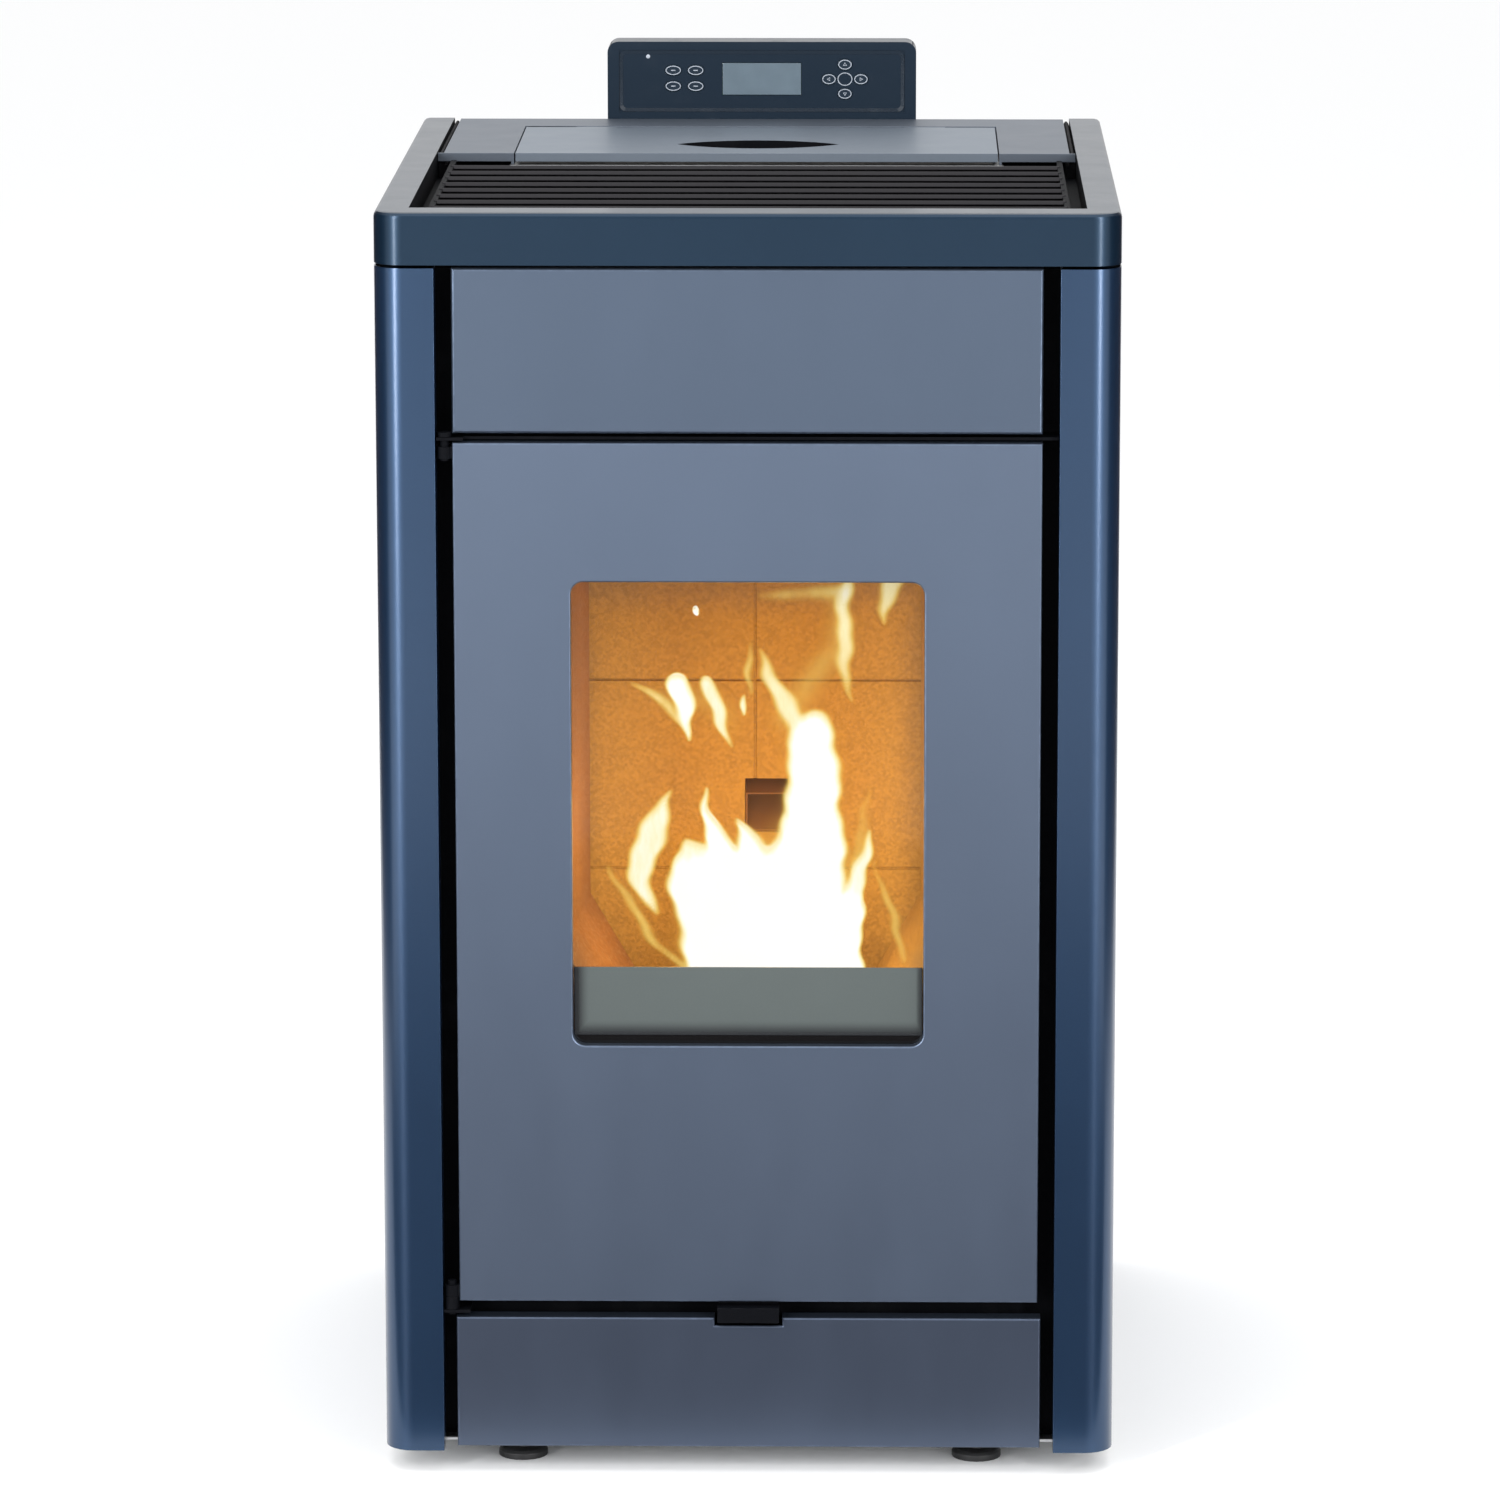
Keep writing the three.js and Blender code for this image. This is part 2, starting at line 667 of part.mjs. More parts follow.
const QUAD_CAP = [[0, 1, 2], [0, 2, 3]];

// Solid between two level rectangles of different size
function tapered(lower, upper, [z0, z1]) {
  const ring = ({ x, y }, z) => rectangle(x, y).map(([u, v]) => [u, v, z]);
  return skin([ring(lower, z0), ring(upper, z1)], QUAD_CAP);
}

function block(x, y, z) {
  return tapered({ x, y }, { x, y }, z);
}

// Stack of level outlines with the same number of points
function stacked(layers) {
  const flat = layers[0].outline.map(([u, v]) => new THREE.Vector2(u, v));
  const rings = layers.map(({ outline, z }) => outline.map(([u, v]) => [u, v, z]));
  return skin(rings, THREE.ShapeUtils.triangulateShape(flat, []));
}

function solidOf(geometry) {
  const bare = geometry.clone();
  bare.deleteAttribute('normal');
  bare.deleteAttribute('uv');
  const merged = mergeVertices(bare);
  const vertProperties = new Float32Array(merged.attributes.position.array);
  const triVerts = new Uint32Array(merged.index.array);
  return new wasm.Manifold(new wasm.Mesh({ numProp: 3, vertProperties, triVerts }));
}

function geometryOf(solid) {
  const { vertProperties, triVerts } = solid.getMesh();
  const geometry = new THREE.BufferGeometry();
  geometry.setAttribute('position', new THREE.BufferAttribute(vertProperties, 3));
  geometry.setIndex(new THREE.BufferAttribute(triVerts, 1));
  return geometry;
}

function join(...geometries) {
  return geometryOf(geometries.map(solidOf).reduce((whole, part) => whole.add(part)));
}

function cut(geometry, ...cutters) {
  const start = solidOf(geometry);
  return geometryOf(cutters.map(solidOf).reduce((whole, part) => whole.subtract(part), start));
}

// Box with an opening towards +Z
function openBox(x, y, z, wall) {
  const hollow = block(inset(x, wall), inset(y, wall), [z[0] + wall, z[1] + PAST]);
  return cut(block(x, y, z), hollow);
}

// Front with four folded edges, open at the back
function pan(x, z) {
  const hollow = block(inset(x, SHEET), [FACE_IN, PAN_BACK + PAST], inset(z, SHEET));
  return cut(block(x, [FACE, PAN_BACK], z), hollow);
}

const SIDES = [-1, 1];

// ---------- Base and feet ----------

function basePlate() {
  const front = FRONT + BASE_SETBACK;
  const sheet = block(about(0, BASE_HALF), [front, REAR_OUT], [BASE_BOTTOM, BASE_TOP]);
  const flanges = SIDES.map((side) => block(
    sided(side, BASE_HALF - SHEET, BASE_HALF),
    [front, REAR_IN - GAP],
    [BASE_BOTTOM, BASE_BOTTOM + BASE_FLANGE],
  ));
  return join(sheet, ...flanges);
}

// Levelling foot with its pad at the origin
function foot() {
  const profile = [
    [0, 0],
    [FOOT_RADIUS, 0],
    [FOOT_RADIUS, FOOT_PAD - FOOT_CHAMFER],
    [FOOT_RADIUS - FOOT_CHAMFER, FOOT_PAD],
    [STUD_RADIUS, FOOT_PAD],
    [STUD_RADIUS, BASE_BOTTOM - GAP],
    [0, BASE_BOTTOM - GAP],
  ];
  const points = profile.map(([u, v]) => new THREE.Vector2(u, v));
  return new THREE.LatheGeometry(points, ROUND).rotateX(Math.PI / 2);
}

// ---------- Panels ----------

function sidePanel(side) {
  const inner = HALF - PILLAR_WIDTH;
  const centre = [HALF - CORNER_RADIUS, FRONT + CORNER_RADIUS];
  const path = [
    [HALF - REAR_RETURN, BACK],
    [HALF, BACK],
    ...arc(...centre, CORNER_RADIUS, 0, -90, CORNER_STEPS),
    [inner, FRONT],
    [inner, FRONT + PILLAR_RETURN],
  ];
  const wall = prismZ(mirrored(side, bentSheet(path, SHEET)), [FOOT_HEIGHT, SIDE_TOP]);
  const flange = block(
    sided(side, INNER_HALF - TOP_FLANGE, HALF - SHEET / 2),
    [FRONT + TOP_FLANGE_FRONT, BACK - TOP_FLANGE_REAR],
    [SIDE_TOP - SHEET, SIDE_TOP],
  );
  return join(wall, flange);
}

function ventSlots() {
  const slots = [];
  for (let i = 0; i < VENT_COUNT; i += 1) {
    const z = VENT_Z + i * VENT_PITCH;
    slots.push(rectangle(about(VENT_X, VENT_HALF), [z, z + VENT_HEIGHT]));
  }
  return slots;
}

function rearPanel() {
  const neck = PLATE_HALF - GAP;
  const outline = [
    [-BASE_HALF, BASE_TOP + GAP],
    [BASE_HALF, BASE_TOP + GAP],
    [BASE_HALF, SIDE_TOP],
    [neck, SIDE_TOP],
    [neck, PLATE_UNDER - GAP],
    [-neck, PLATE_UNDER - GAP],
    [-neck, SIDE_TOP],
    [-BASE_HALF, SIDE_TOP],
  ];
  const socketHole = rectangle(
    about(SOCKET_X, SOCKET_WIDTH / 2 - SOCKET_LAP + GAP),
    inset([SOCKET_Z, SOCKET_Z + SOCKET_HEIGHT], SOCKET_LAP - GAP),
  );
  const holes = [
    circle(FLUE_X, FLUE_Z, FLUE_RADIUS + FLUE_HOLE_PLAY),
    circle(INTAKE_X, INTAKE_Z, INTAKE_RADIUS + GAP),
    socketHole,
    ...ventSlots(),
  ];
  return prismY(outline, [REAR_IN, REAR_OUT], holes);
}

// Wall behind the fronts, with the firebox mouth, the latch slot and the hinge shelves
function frontWall() {
  const half = BASE_HALF - SHEET - GAP;
  const outline = [
    [-half, BASE_TOP + GAP],
    [-DRAWER_MOUTH_HALF, BASE_TOP + GAP],
    [-DRAWER_MOUTH_HALF, DRAWER_MOUTH_TOP],
    [DRAWER_MOUTH_HALF, DRAWER_MOUTH_TOP],
    [DRAWER_MOUTH_HALF, BASE_TOP + GAP],
    [half, BASE_TOP + GAP],
    [half, SIDE_TOP - WALL_TOP_DROP],
    [-half, SIDE_TOP - WALL_TOP_DROP],
  ];
  const mouth = rectangle(
    about(0, WINDOW_HALF + MOUTH_MARGIN),
    inset([WINDOW_BOTTOM, WINDOW_TOP], -MOUTH_MARGIN),
  );
  const slotBottom = LEVER_PIVOT_Z - LATCH_SLOT_DROP;
  const slot = rectangle(
    about(0, LATCH_SLOT_WIDTH / 2),
    [slotBottom, slotBottom + LATCH_SLOT_HEIGHT],
  );
  const wall = prismY(outline, [WALL_FRONT, WALL_BACK], [mouth, slot]);
  const shelfHalf = HALF - PILLAR_WIDTH - SHELF_SIDE_GAP;
  const shelfBack = WALL_FRONT + WALL_SHEET / 2;
  const shelfFront = FRONT + SHELF_SETBACK;
  const shelf = block(about(0, shelfHalf), [shelfFront, shelfBack], [SHELF_BOTTOM, SHELF_TOP]);
  const tabs = [[SHELF_BOTTOM, SHELF_TOP], [TAB_BOTTOM, TAB_TOP]].map((z) => block(
    [-shelfHalf, -shelfHalf + HINGE_TAB_WIDTH],
    [FRONT + HINGE_TAB_SETBACK, shelfBack],
    z,
  ));
  const pinHole = prismZ(
    circle(HINGE_X, HINGE_Y, HINGE_PIN_RADIUS + HOLE_PLAY, FINE_ROUND),
    [TAB_BOTTOM - PAST, SHELF_TOP + PAST],
  );
  return cut(join(wall, shelf, ...tabs), pinHole);
}

function upperFrontPanel() {
  const bottom = SIDE_TOP - UPPER_FRONT_HEIGHT;
  const blocks = SIDES.map((side) => block(
    sided(side, MOUNT_BLOCK_X - MOUNT_BLOCK / 2, MOUNT_BLOCK_X + MOUNT_BLOCK / 2),
    [FACE_IN - SHEET / 2, WALL_FRONT - GAP],
    about(SIDE_TOP - MOUNT_BLOCK_Z, MOUNT_BLOCK / 2),
  ));
  return join(pan(about(0, FRONT_HALF), [bottom, SIDE_TOP]), ...blocks);
}

// ---------- Top rim ----------

// Plan of the U, its outer edge moved in by `shrink` and its inner edge moved in by `skirt`
function rimPlan(shrink, skirt) {
  const front = [HALF - CORNER_RADIUS, FRONT + CORNER_RADIUS];
  const rear = [HALF - RIM_REAR_RADIUS, BACK - RIM_REAR_RADIUS];
  const frontRadius = CORNER_RADIUS - shrink;
  const rearRadius = RIM_REAR_RADIUS - shrink;
  const right = [
    ...arc(...front, frontRadius, -90, 0, CORNER_STEPS),
    ...arc(...rear, rearRadius, 0, 90, CORNER_STEPS),
    [RAIL_INNER + skirt, BACK - shrink],
    [RAIL_INNER + skirt, FRONT + FRONT_RAIL_DEPTH - skirt],
  ];
  return [...right, ...mirrored(-1, right).reverse()];
}

function topFrame() {
  const layers = [{ outline: rimPlan(0, 0), z: RIM_BOTTOM }];
  for (let i = 0; i <= RIM_ROUNDING_STEPS; i += 1) {
    const angle = (Math.PI / 2) * (i / RIM_ROUNDING_STEPS);
    const shrink = RIM_ROUNDING * (1 - Math.cos(angle));
    layers.push({ outline: rimPlan(shrink, 0), z: TOP - RIM_ROUNDING * (1 - Math.sin(angle)) });
  }
  const hollow = prismZ(rimPlan(RIM_WALL, RIM_WALL), [RIM_BOTTOM - PAST, TOP - RIM_WALL]);
  const underSkirt = prismZ(rimPlan(RIM_WALL, -PAST), [RIM_BOTTOM - PAST, LEDGE_BOTTOM]);
  const rim = cut(stacked(layers), hollow, underSkirt);
  const ribOuter = HALF - RIM_WALL - RIM_RIB_INSET;
  const ledges = SIDES.map((side) => block(
    sided(side, RAIL_INNER - LEDGE_WIDTH, RAIL_INNER + RIM_WALL / 2),
    [FRONT + FRONT_RAIL_DEPTH - RIM_WALL / 2, PLATE_FRONT],
    [LEDGE_BOTTOM, LEDGE_TOP],
  ));
  const ribs = SIDES.map((side) => block(
    sided(side, ribOuter - RIM_WALL, ribOuter),
    [FRONT + TOP_FLANGE_FRONT, BACK - TOP_FLANGE_REAR],
    [SIDE_TOP + GAP, TOP - RIM_WALL / 2],
  ));
  return join(rim, ...ledges, ...ribs);
}

// ---------- Top plate, grille and lid ----------

function topPlate() {
  const rear = BACK - PLATE_REAR_GAP;
  const outline = [
    [-PLATE_HALF, PLATE_FRONT],
    [-CUTOUT_HALF, PLATE_FRONT],
    [-CUTOUT_HALF, STRIP_FRONT],
    [CUTOUT_HALF, STRIP_FRONT],
    [CUTOUT_HALF, PLATE_FRONT],
    [PLATE_HALF, PLATE_FRONT],
    [PLATE_HALF, rear],
    [-PLATE_HALF, rear],
  ];
  const folded = [PLATE_TOP - PLATE_FLANGE, PLATE_TOP];
  const lugTop = PLATE_UNDER - LUG_TOP_PLAY;
  const lugNear = LID_EYE_X + LID_EYE_WIDTH / 2 + LUG_GAP;
  const pieces = [
    prismZ(outline, [PLATE_UNDER, PLATE_TOP]),
    block(about(0, CUTOUT_HALF + PLATE_SHEET), [STRIP_FRONT, STRIP_FRONT + PLATE_SHEET], folded),
  ];
  for (const side of SIDES) {
    pieces.push(block(
      sided(side, CUTOUT_HALF, CUTOUT_HALF + PLATE_SHEET),
      [PLATE_FRONT, STRIP_FRONT + PLATE_SHEET],
      folded,
    ));
    pieces.push(block(
      sided(side, CUTOUT_HALF, RAIL_INNER - GAP),
      [PLATE_FRONT, PLATE_FRONT + PLATE_SHEET],
      [PLATE_TOP - PLATE_LIP, PLATE_TOP],
    ));
    pieces.push(block(
      sided(side, lugNear, lugNear + LUG_WIDTH),
      [LID_PIN_Y - LID_EYE_RADIUS, STRIP_FRONT + PLATE_SHEET / 2],
      [LID_PIN_Z - LID_EYE_RADIUS, lugTop],
    ));
  }
  const bore = circle(LID_PIN_Y, LID_PIN_Z, LID_PIN_RADIUS + HOLE_PLAY / 2, FINE_ROUND);
  const lugFar = lugNear + LUG_WIDTH + PAST;
  return cut(join(...pieces), prismX(bore, [-lugFar, lugFar]));
}

// Section of one slat about the origin, its upper edge to the front
function slatSection(cy, cz) {
  const tilt = THREE.MathUtils.degToRad(SLAT_TILT);
  const corners = rectangle(about(0, SLAT_LENGTH / 2), about(0, SLAT_SHEET / 2));
  return corners.map(([u, v]) => [
    cy + u * Math.cos(tilt) + v * Math.sin(tilt),
    cz - u * Math.sin(tilt) + v * Math.cos(tilt),
  ]);
}

function airGrille() {
  const bottom = LEDGE_TOP + GAP;
  const y = [FRONT + FRONT_RAIL_DEPTH + GRILLE_FRONT_GAP, PLATE_FRONT - GRILLE_FRONT_GAP];
  const z = [bottom, bottom + GRILLE_BAR_HEIGHT];
  const tilt = THREE.MathUtils.degToRad(SLAT_TILT);
  const slatHalf = (SLAT_LENGTH * Math.sin(tilt) + SLAT_SHEET * Math.cos(tilt)) / 2;
  const ribZ = [bottom, bottom + GRILLE_RIB_HEIGHT];
  const pieces = [block(about(0, GRILLE_RIB / 2), y, ribZ)];
  for (const side of SIDES) {
    pieces.push(block(sided(side, GRILLE_HALF - GRILLE_BAR, GRILLE_HALF), y, z));
  }
  for (let i = 0; i < SLAT_COUNT; i += 1) {
    const cy = FRONT + FRONT_RAIL_DEPTH + SLAT_FIRST + i * SLAT_PITCH;
    const section = slatSection(cy, bottom + slatHalf);
    pieces.push(prismX(section, about(0, GRILLE_HALF - GRILLE_BAR / 2)));
  }
  return join(...pieces);
}

function hopperLid() {
  const gripY = PLATE_FRONT + GRIP_SETBACK;
  const gripFloor = PLATE_TOP - GRIP_DEPTH;
  const pieces = [
    block(about(0, LID_HALF), [PLATE_FRONT, LID_BACK], [PLATE_UNDER, PLATE_TOP]),
    block(
      about(0, LID_HALF),
      [PLATE_FRONT, PLATE_FRONT + PLATE_SHEET],
      [PLATE_TOP - PLATE_LIP, PLATE_TOP],
    ),
    prismZ(
      lens(GRIP_HALF + GRIP_WALL, GRIP_FRONT + GRIP_WALL, GRIP_REAR + GRIP_WALL, gripY),
      [gripFloor - GRIP_WALL, PLATE_TOP - PLATE_SHEET / 2],
    ),
  ];
  for (const side of SIDES) {
    const x = about(side * LID_EYE_X, LID_EYE_WIDTH / 2);
    pieces.push(prismX(circle(LID_PIN_Y, LID_PIN_Z, LID_EYE_RADIUS, FINE_ROUND), x));
    pieces.push(block(x, [LID_BACK - PAST, LID_PIN_Y], [PLATE_UNDER, PLATE_TOP]));
  }
  const bore = circle(LID_PIN_Y, LID_PIN_Z, LID_PIN_RADIUS + HOLE_PLAY / 2, FINE_ROUND);
  return cut(
    join(...pieces),
    prismZ(lens(GRIP_HALF, GRIP_FRONT, GRIP_REAR, gripY), [gripFloor, PLATE_TOP + PAST]),
    prismX(bore, about(0, LID_HALF)),
  );
}

function lidGasket() {
  const x = about(0, LID_HALF - SEAL_INSET);
  const y = [PLATE_FRONT + SEAL_FRONT, LID_BACK - SEAL_REAR];
  const opening = rectangle(inset(x, SEAL_WIDTH), inset(y, SEAL_WIDTH));
  return prismZ(rectangle(x, y), [HOPPER_RIM + GAP, PLATE_UNDER - GAP], [opening]);
}

function lidHingePin() {
  const half = LID_EYE_X + LID_EYE_WIDTH / 2 + LUG_GAP + LUG_WIDTH + LID_PIN_END;
  return prismX(circle(LID_PIN_Y, LID_PIN_Z, LID_PIN_RADIUS, FINE_ROUND), about(0, half));
}

// ---------- Fire door ----------

const windowX = about(0, WINDOW_HALF);
const windowZ = [WINDOW_BOTTOM, WINDOW_TOP];

// Window's outline moved out by `margin`
function windowOutline(margin, radius) {
  return roundedRectangle(inset(windowX, -margin), inset(windowZ, -margin), radius);
}

function doorPanel() {
  const folded = [DOOR_BOTTOM, DOOR_TOP];
  const opening = windowOutline(0, WINDOW_RADIUS);
  const edge = prismY(windowOutline(SHEET, WINDOW_RADIUS + SHEET), [FACE, RETURN_BACK]);
  const eyeBottoms = [
    DOOR_BOTTOM + HINGE_EYE_INSET,
    DOOR_TOP - HINGE_EYE_INSET - HINGE_EYE_HEIGHT,
  ];
  const eyes = eyeBottoms.flatMap((bottom) => {
    const z = [bottom, bottom + HINGE_EYE_HEIGHT];
    const arm = block([HINGE_X, -FRONT_HALF + SHEET / 2], about(HINGE_Y, HINGE_EYE_ARM / 2), z);
    return [prismZ(circle(HINGE_X, HINGE_Y, HINGE_EYE_RADIUS), z), arm];
  });
  const leverSlot = block(
    about(0, SLOT_HALF),
    [FACE_IN, PAN_BACK + PAST],
    [DOOR_BOTTOM - PAST, DOOR_BOTTOM + SHEET + PAST],
  );
  const pinHole = prismZ(
    circle(HINGE_X, HINGE_Y, HINGE_PIN_RADIUS + HOLE_PLAY, FINE_ROUND),
    inset(folded, -PAST),
  );
  return cut(
    join(pan(about(0, FRONT_HALF), folded), edge, ...eyes),
    prismY(opening, [FACE - PAST, RETURN_BACK + PAST]),
    leverSlot,
    pinHole,
  );
}

// Cast frame that clamps the glass, with a pad to the door panel near each corner
function doorFrame() {
  const x = inset(windowX, -FRAME_BORDER);
  const z = inset(windowZ, -FRAME_BORDER);
  const plate = prismY(
    roundedRectangle(x, z, FRAME_RADIUS),
    [FRAME_FRONT, FRAME_BACK],
    [windowOutline(PAST, WINDOW_RADIUS)],
  );
  const reach = FRAME_PAD_INSET + MOUNT_BLOCK;
  const padRows = [
    [z[0] + FRAME_PAD_INSET, z[0] + reach],
    [z[1] - reach, z[1] - FRAME_PAD_INSET],
  ];
  const pads = padRows.flatMap((row) => SIDES.map((side) => block(
    sided(side, x[1] - reach, x[1] - FRAME_PAD_INSET),
    [FACE_IN + GAP, FRAME_FRONT + FRAME_DEPTH / 2],
    row,
  )));
  return join(plate, ...pads);
}

function doorGlass() {
  const outline = rectangle(inset(windowX, -GLASS_LAP), inset(windowZ, -GLASS_LAP));
  return prismY(outline, [GLASS_FRONT, GLASS_BACK]);
}

function doorGasket() {
  const outer = windowOutline(GASKET_BORDER, GASKET_RADIUS);
  const inner = windowOutline(GASKET_BORDER - GASKET_WIDTH, GASKET_RADIUS - GASKET_WIDTH);
  return prismY(outer, [GASKET_FRONT, GASKET_FRONT + GASKET_DEPTH], [inner]);
}

// Strip across the foot of the window
function windowTrim() {
  const outline = rectangle(
    inset(windowX, TRIM_PLAY),
    [WINDOW_BOTTOM + TRIM_SILL, WINDOW_BOTTOM + TRIM_TOP],
  );
  const back = GLASS_FRONT - GAP;
  return prismY(outline, [back - TRIM_SHEET, back]);
}

function hingePinUpper() {
  const shankBottom = DOOR_TOP - HINGE_EYE_INSET - HINGE_EYE_HEIGHT - PIN_END / 2;
  const headBottom = SHELF_TOP + GAP;
  const shank = circle(HINGE_X, HINGE_Y, HINGE_PIN_RADIUS, FINE_ROUND);
  const head = circle(HINGE_X, HINGE_Y, HINGE_EYE_RADIUS, FINE_ROUND);
  return join(
    prismZ(shank, [shankBottom, headBottom + PIN_HEAD_HEIGHT / 2]),
    prismZ(head, [headBottom, headBottom + PIN_HEAD_HEIGHT]),
  );
}

// The door rests on this pin's collar
function hingePinLower() {
  const eyeBottom = DOOR_BOTTOM + HINGE_EYE_INSET;
  const shank = circle(HINGE_X, HINGE_Y, HINGE_PIN_RADIUS, FINE_ROUND);
  const collar = circle(HINGE_X, HINGE_Y, HINGE_EYE_RADIUS, FINE_ROUND);
  return join(
    prismZ(shank, [TAB_BOTTOM - PIN_END / 2, eyeBottom + HINGE_EYE_HEIGHT + PIN_END]),
    prismZ(collar, [TAB_TOP + GAP, eyeBottom - GAP]),
  );
}

// Lever under the door: a foot to press, a shank, a pivot and the latch hook
function doorLever() {
  const footTop = DOOR_BOTTOM - LEVER_TOP_PLAY;
  const footBottom = footTop - LEVER_FOOT_HEIGHT;
  const shankFront = LEVER_PIVOT_Y - LEVER_SHANK + LEVER_SHANK / 4;
  const shankBack = shankFront + LEVER_SHANK;
  const hookBack = LEVER_PIVOT_Y + LEVER_HOOK_REACH;
  const hookTop = LEVER_PIVOT_Z + LEVER_HOOK_SHEET;
  const barrel = circle(LEVER_PIVOT_Y, LEVER_PIVOT_Z, LEVER_BARREL_RADIUS, FINE_ROUND);
  const trunnion = circle(LEVER_PIVOT_Y, LEVER_PIVOT_Z, LEVER_TRUNNION_RADIUS, FINE_ROUND);
  const hookX = about(0, LEVER_HOOK_WIDTH / 2);
  return join(
    block(about(0, LEVER_HALF), [FRONT - LEVER_REACH, shankBack], [footBottom, footTop]),
    block(about(0, LEVER_HALF - PAST), [shankFront, shankBack], [footBottom + PAST, LEVER_PIVOT_Z]),
    prismX(barrel, about(0, LEVER_HALF)),
    prismX(trunnion, about(0, EAR_OUTER)),
    block(hookX, [LEVER_PIVOT_Y, hookBack], [LEVER_PIVOT_Z, hookTop]),
    block(hookX, [hookBack - LEVER_LIP_SHEET, hookBack], [LEVER_PIVOT_Z, hookTop + LEVER_HOOK_LIP]),
  );
}

// Two ears on a plate against the inside of the door's face
function leverBracket() {
  const front = FACE_IN + GAP;
  const ears = SIDES.map((side) => block(
    sided(side, EAR_INNER, EAR_OUTER),
    [front, LEVER_PIVOT_Y + EAR_REACH],
    about(LEVER_PIVOT_Z, EAR_RISE),
  ));
  const plateTop = LEVER_PIVOT_Z + EAR_RISE;
  const plate = block(
    about(0, EAR_OUTER),
    [front, front + EAR_SHEET],
    [plateTop - EAR_SHEET / 2, plateTop + BRACKET_PLATE],
  );
  const bore = circle(
    LEVER_PIVOT_Y,
    LEVER_PIVOT_Z,
    LEVER_TRUNNION_RADIUS + HOLE_PLAY,
    FINE_ROUND,
  );
  return cut(join(plate, ...ears), prismX(bore, about(0, EAR_OUTER + PAST)));
}

// ---------- Ash drawer ----------

function ashDrawer() {
  const bottom = BASE_TOP + RUNNER_PLAY;
  const front = PAN_BACK + GAP;
  return openBox(
    about(0, DRAWER_WIDTH / 2),
    [front, front + DRAWER_DEPTH],
    [bottom, bottom + DRAWER_HEIGHT],
    SHEET,
  );
}

function drawerFront() {
  const notch = block(
    about(0, NOTCH_WIDTH / 2),
    [FACE - PAST, PAN_BACK + PAST],
    [DRAWER_TOP - NOTCH_DEPTH, DRAWER_TOP + PAST],
  );
  const x = about(0, DRAWER_FRONT_WIDTH / 2);
  return cut(pan(x, [DRAWER_TOP - DRAWER_FRONT_HEIGHT, DRAWER_TOP]), notch);
}

// ---------- Firebox ----------

// Sheet-steel shell: fire chamber above the hearth plate, ash space under it
function fireboxShell() {
  const x = about(0, SHELL_HALF);
  const y = [SHELL_FRONT, SHELL_BACK];
  const hollowX = inset(x, SHELL_WALL);
  const hollowY = [SHELL_FRONT - PAST, SHELL_BACK - SHELL_WALL];
  const rearWall = [SHELL_BACK - SHELL_WALL - PAST, SHELL_BACK + PAST];
  const flange = block(
    inset(x, -SHELL_FLANGE),
    [SHELL_FRONT, SHELL_FRONT + SHELL_WALL],
    [SHELL_BOTTOM, SHELL_TOP + SHELL_FLANGE],
  );
  const gasSlots = SIDES.map((side) => block(
    sided(side, GAS_SLOT_INNER, GAS_SLOT_OUTER),
    inset(y, GAS_SLOT_END),
    [HEARTH_Z - PAST, HEARTH_TOP + PAST],
  ));
  const potHole = block(
    about(0, POT_HALF + POT_HOLE_PLAY),
    inset([POT_FRONT, POT_REAR], -POT_HOLE_PLAY),
    [HEARTH_Z - PAST, HEARTH_TOP + PAST],
  );
  const ductHole = block(
    inset([FAN_X, FAN_X + FAN_WIDTH], FAN_WALL),
    rearWall,
    inset([DUCT_BOTTOM, DUCT_BOTTOM + DUCT_HEIGHT], FAN_WALL),
  );
  return cut(
    join(block(x, y, [SHELL_BOTTOM, SHELL_TOP]), flange),
    block(hollowX, hollowY, [HEARTH_TOP, SHELL_TOP - SHELL_WALL]),
    block(hollowX, hollowY, [SHELL_BOTTOM - PAST, HEARTH_Z]),
    ...gasSlots,
    potHole,
    ductHole,
    chutePassage(rearWall),
    prismY(circle(0, IGNITER_Z, IGNITER_RADIUS + HOLE_PLAY, FINE_ROUND), rearWall),
    prismY(circle(INTAKE_X, INTAKE_Z, INTAKE_RADIUS - SHELL_WALL), rearWall),
  );
}

// Room for the pellet chute through the walls behind the fire
function chutePassage(y) {
  return block(
    about(FEED_X, CHUTE_WIDTH / 2 + GAP),
    y,
    [CHUTE_FLOOR - GAP, CHUTE_FLOOR + CHUTE_MOUTH_HEIGHT + CHUTE_STEP + GAP],
  );
}

function backTile() {
  const z = [BOARD_BOTTOM, BOARD_TOP];
  const grooveY = [BACK_BOARD_FRONT - PAST, BACK_BOARD_FRONT + JOINT_DEPTH];
  const upright = block(about(0, JOINT_WIDTH / 2), grooveY, inset(z, -PAST));
  const level = [0, 1].map((i) => block(
    about(0, BOARD_HALF + PAST),
    grooveY,
    about(HEARTH_TOP + JOINT_LOW + i * JOINT_PITCH, JOINT_WIDTH / 2),
  ));
  return cut(
    block(about(0, BOARD_HALF), [BACK_BOARD_FRONT, BACK_BOARD_REAR], z),
    upright,
    ...level,
    chutePassage([BACK_BOARD_FRONT - PAST, BACK_BOARD_REAR + PAST]),
  );
}

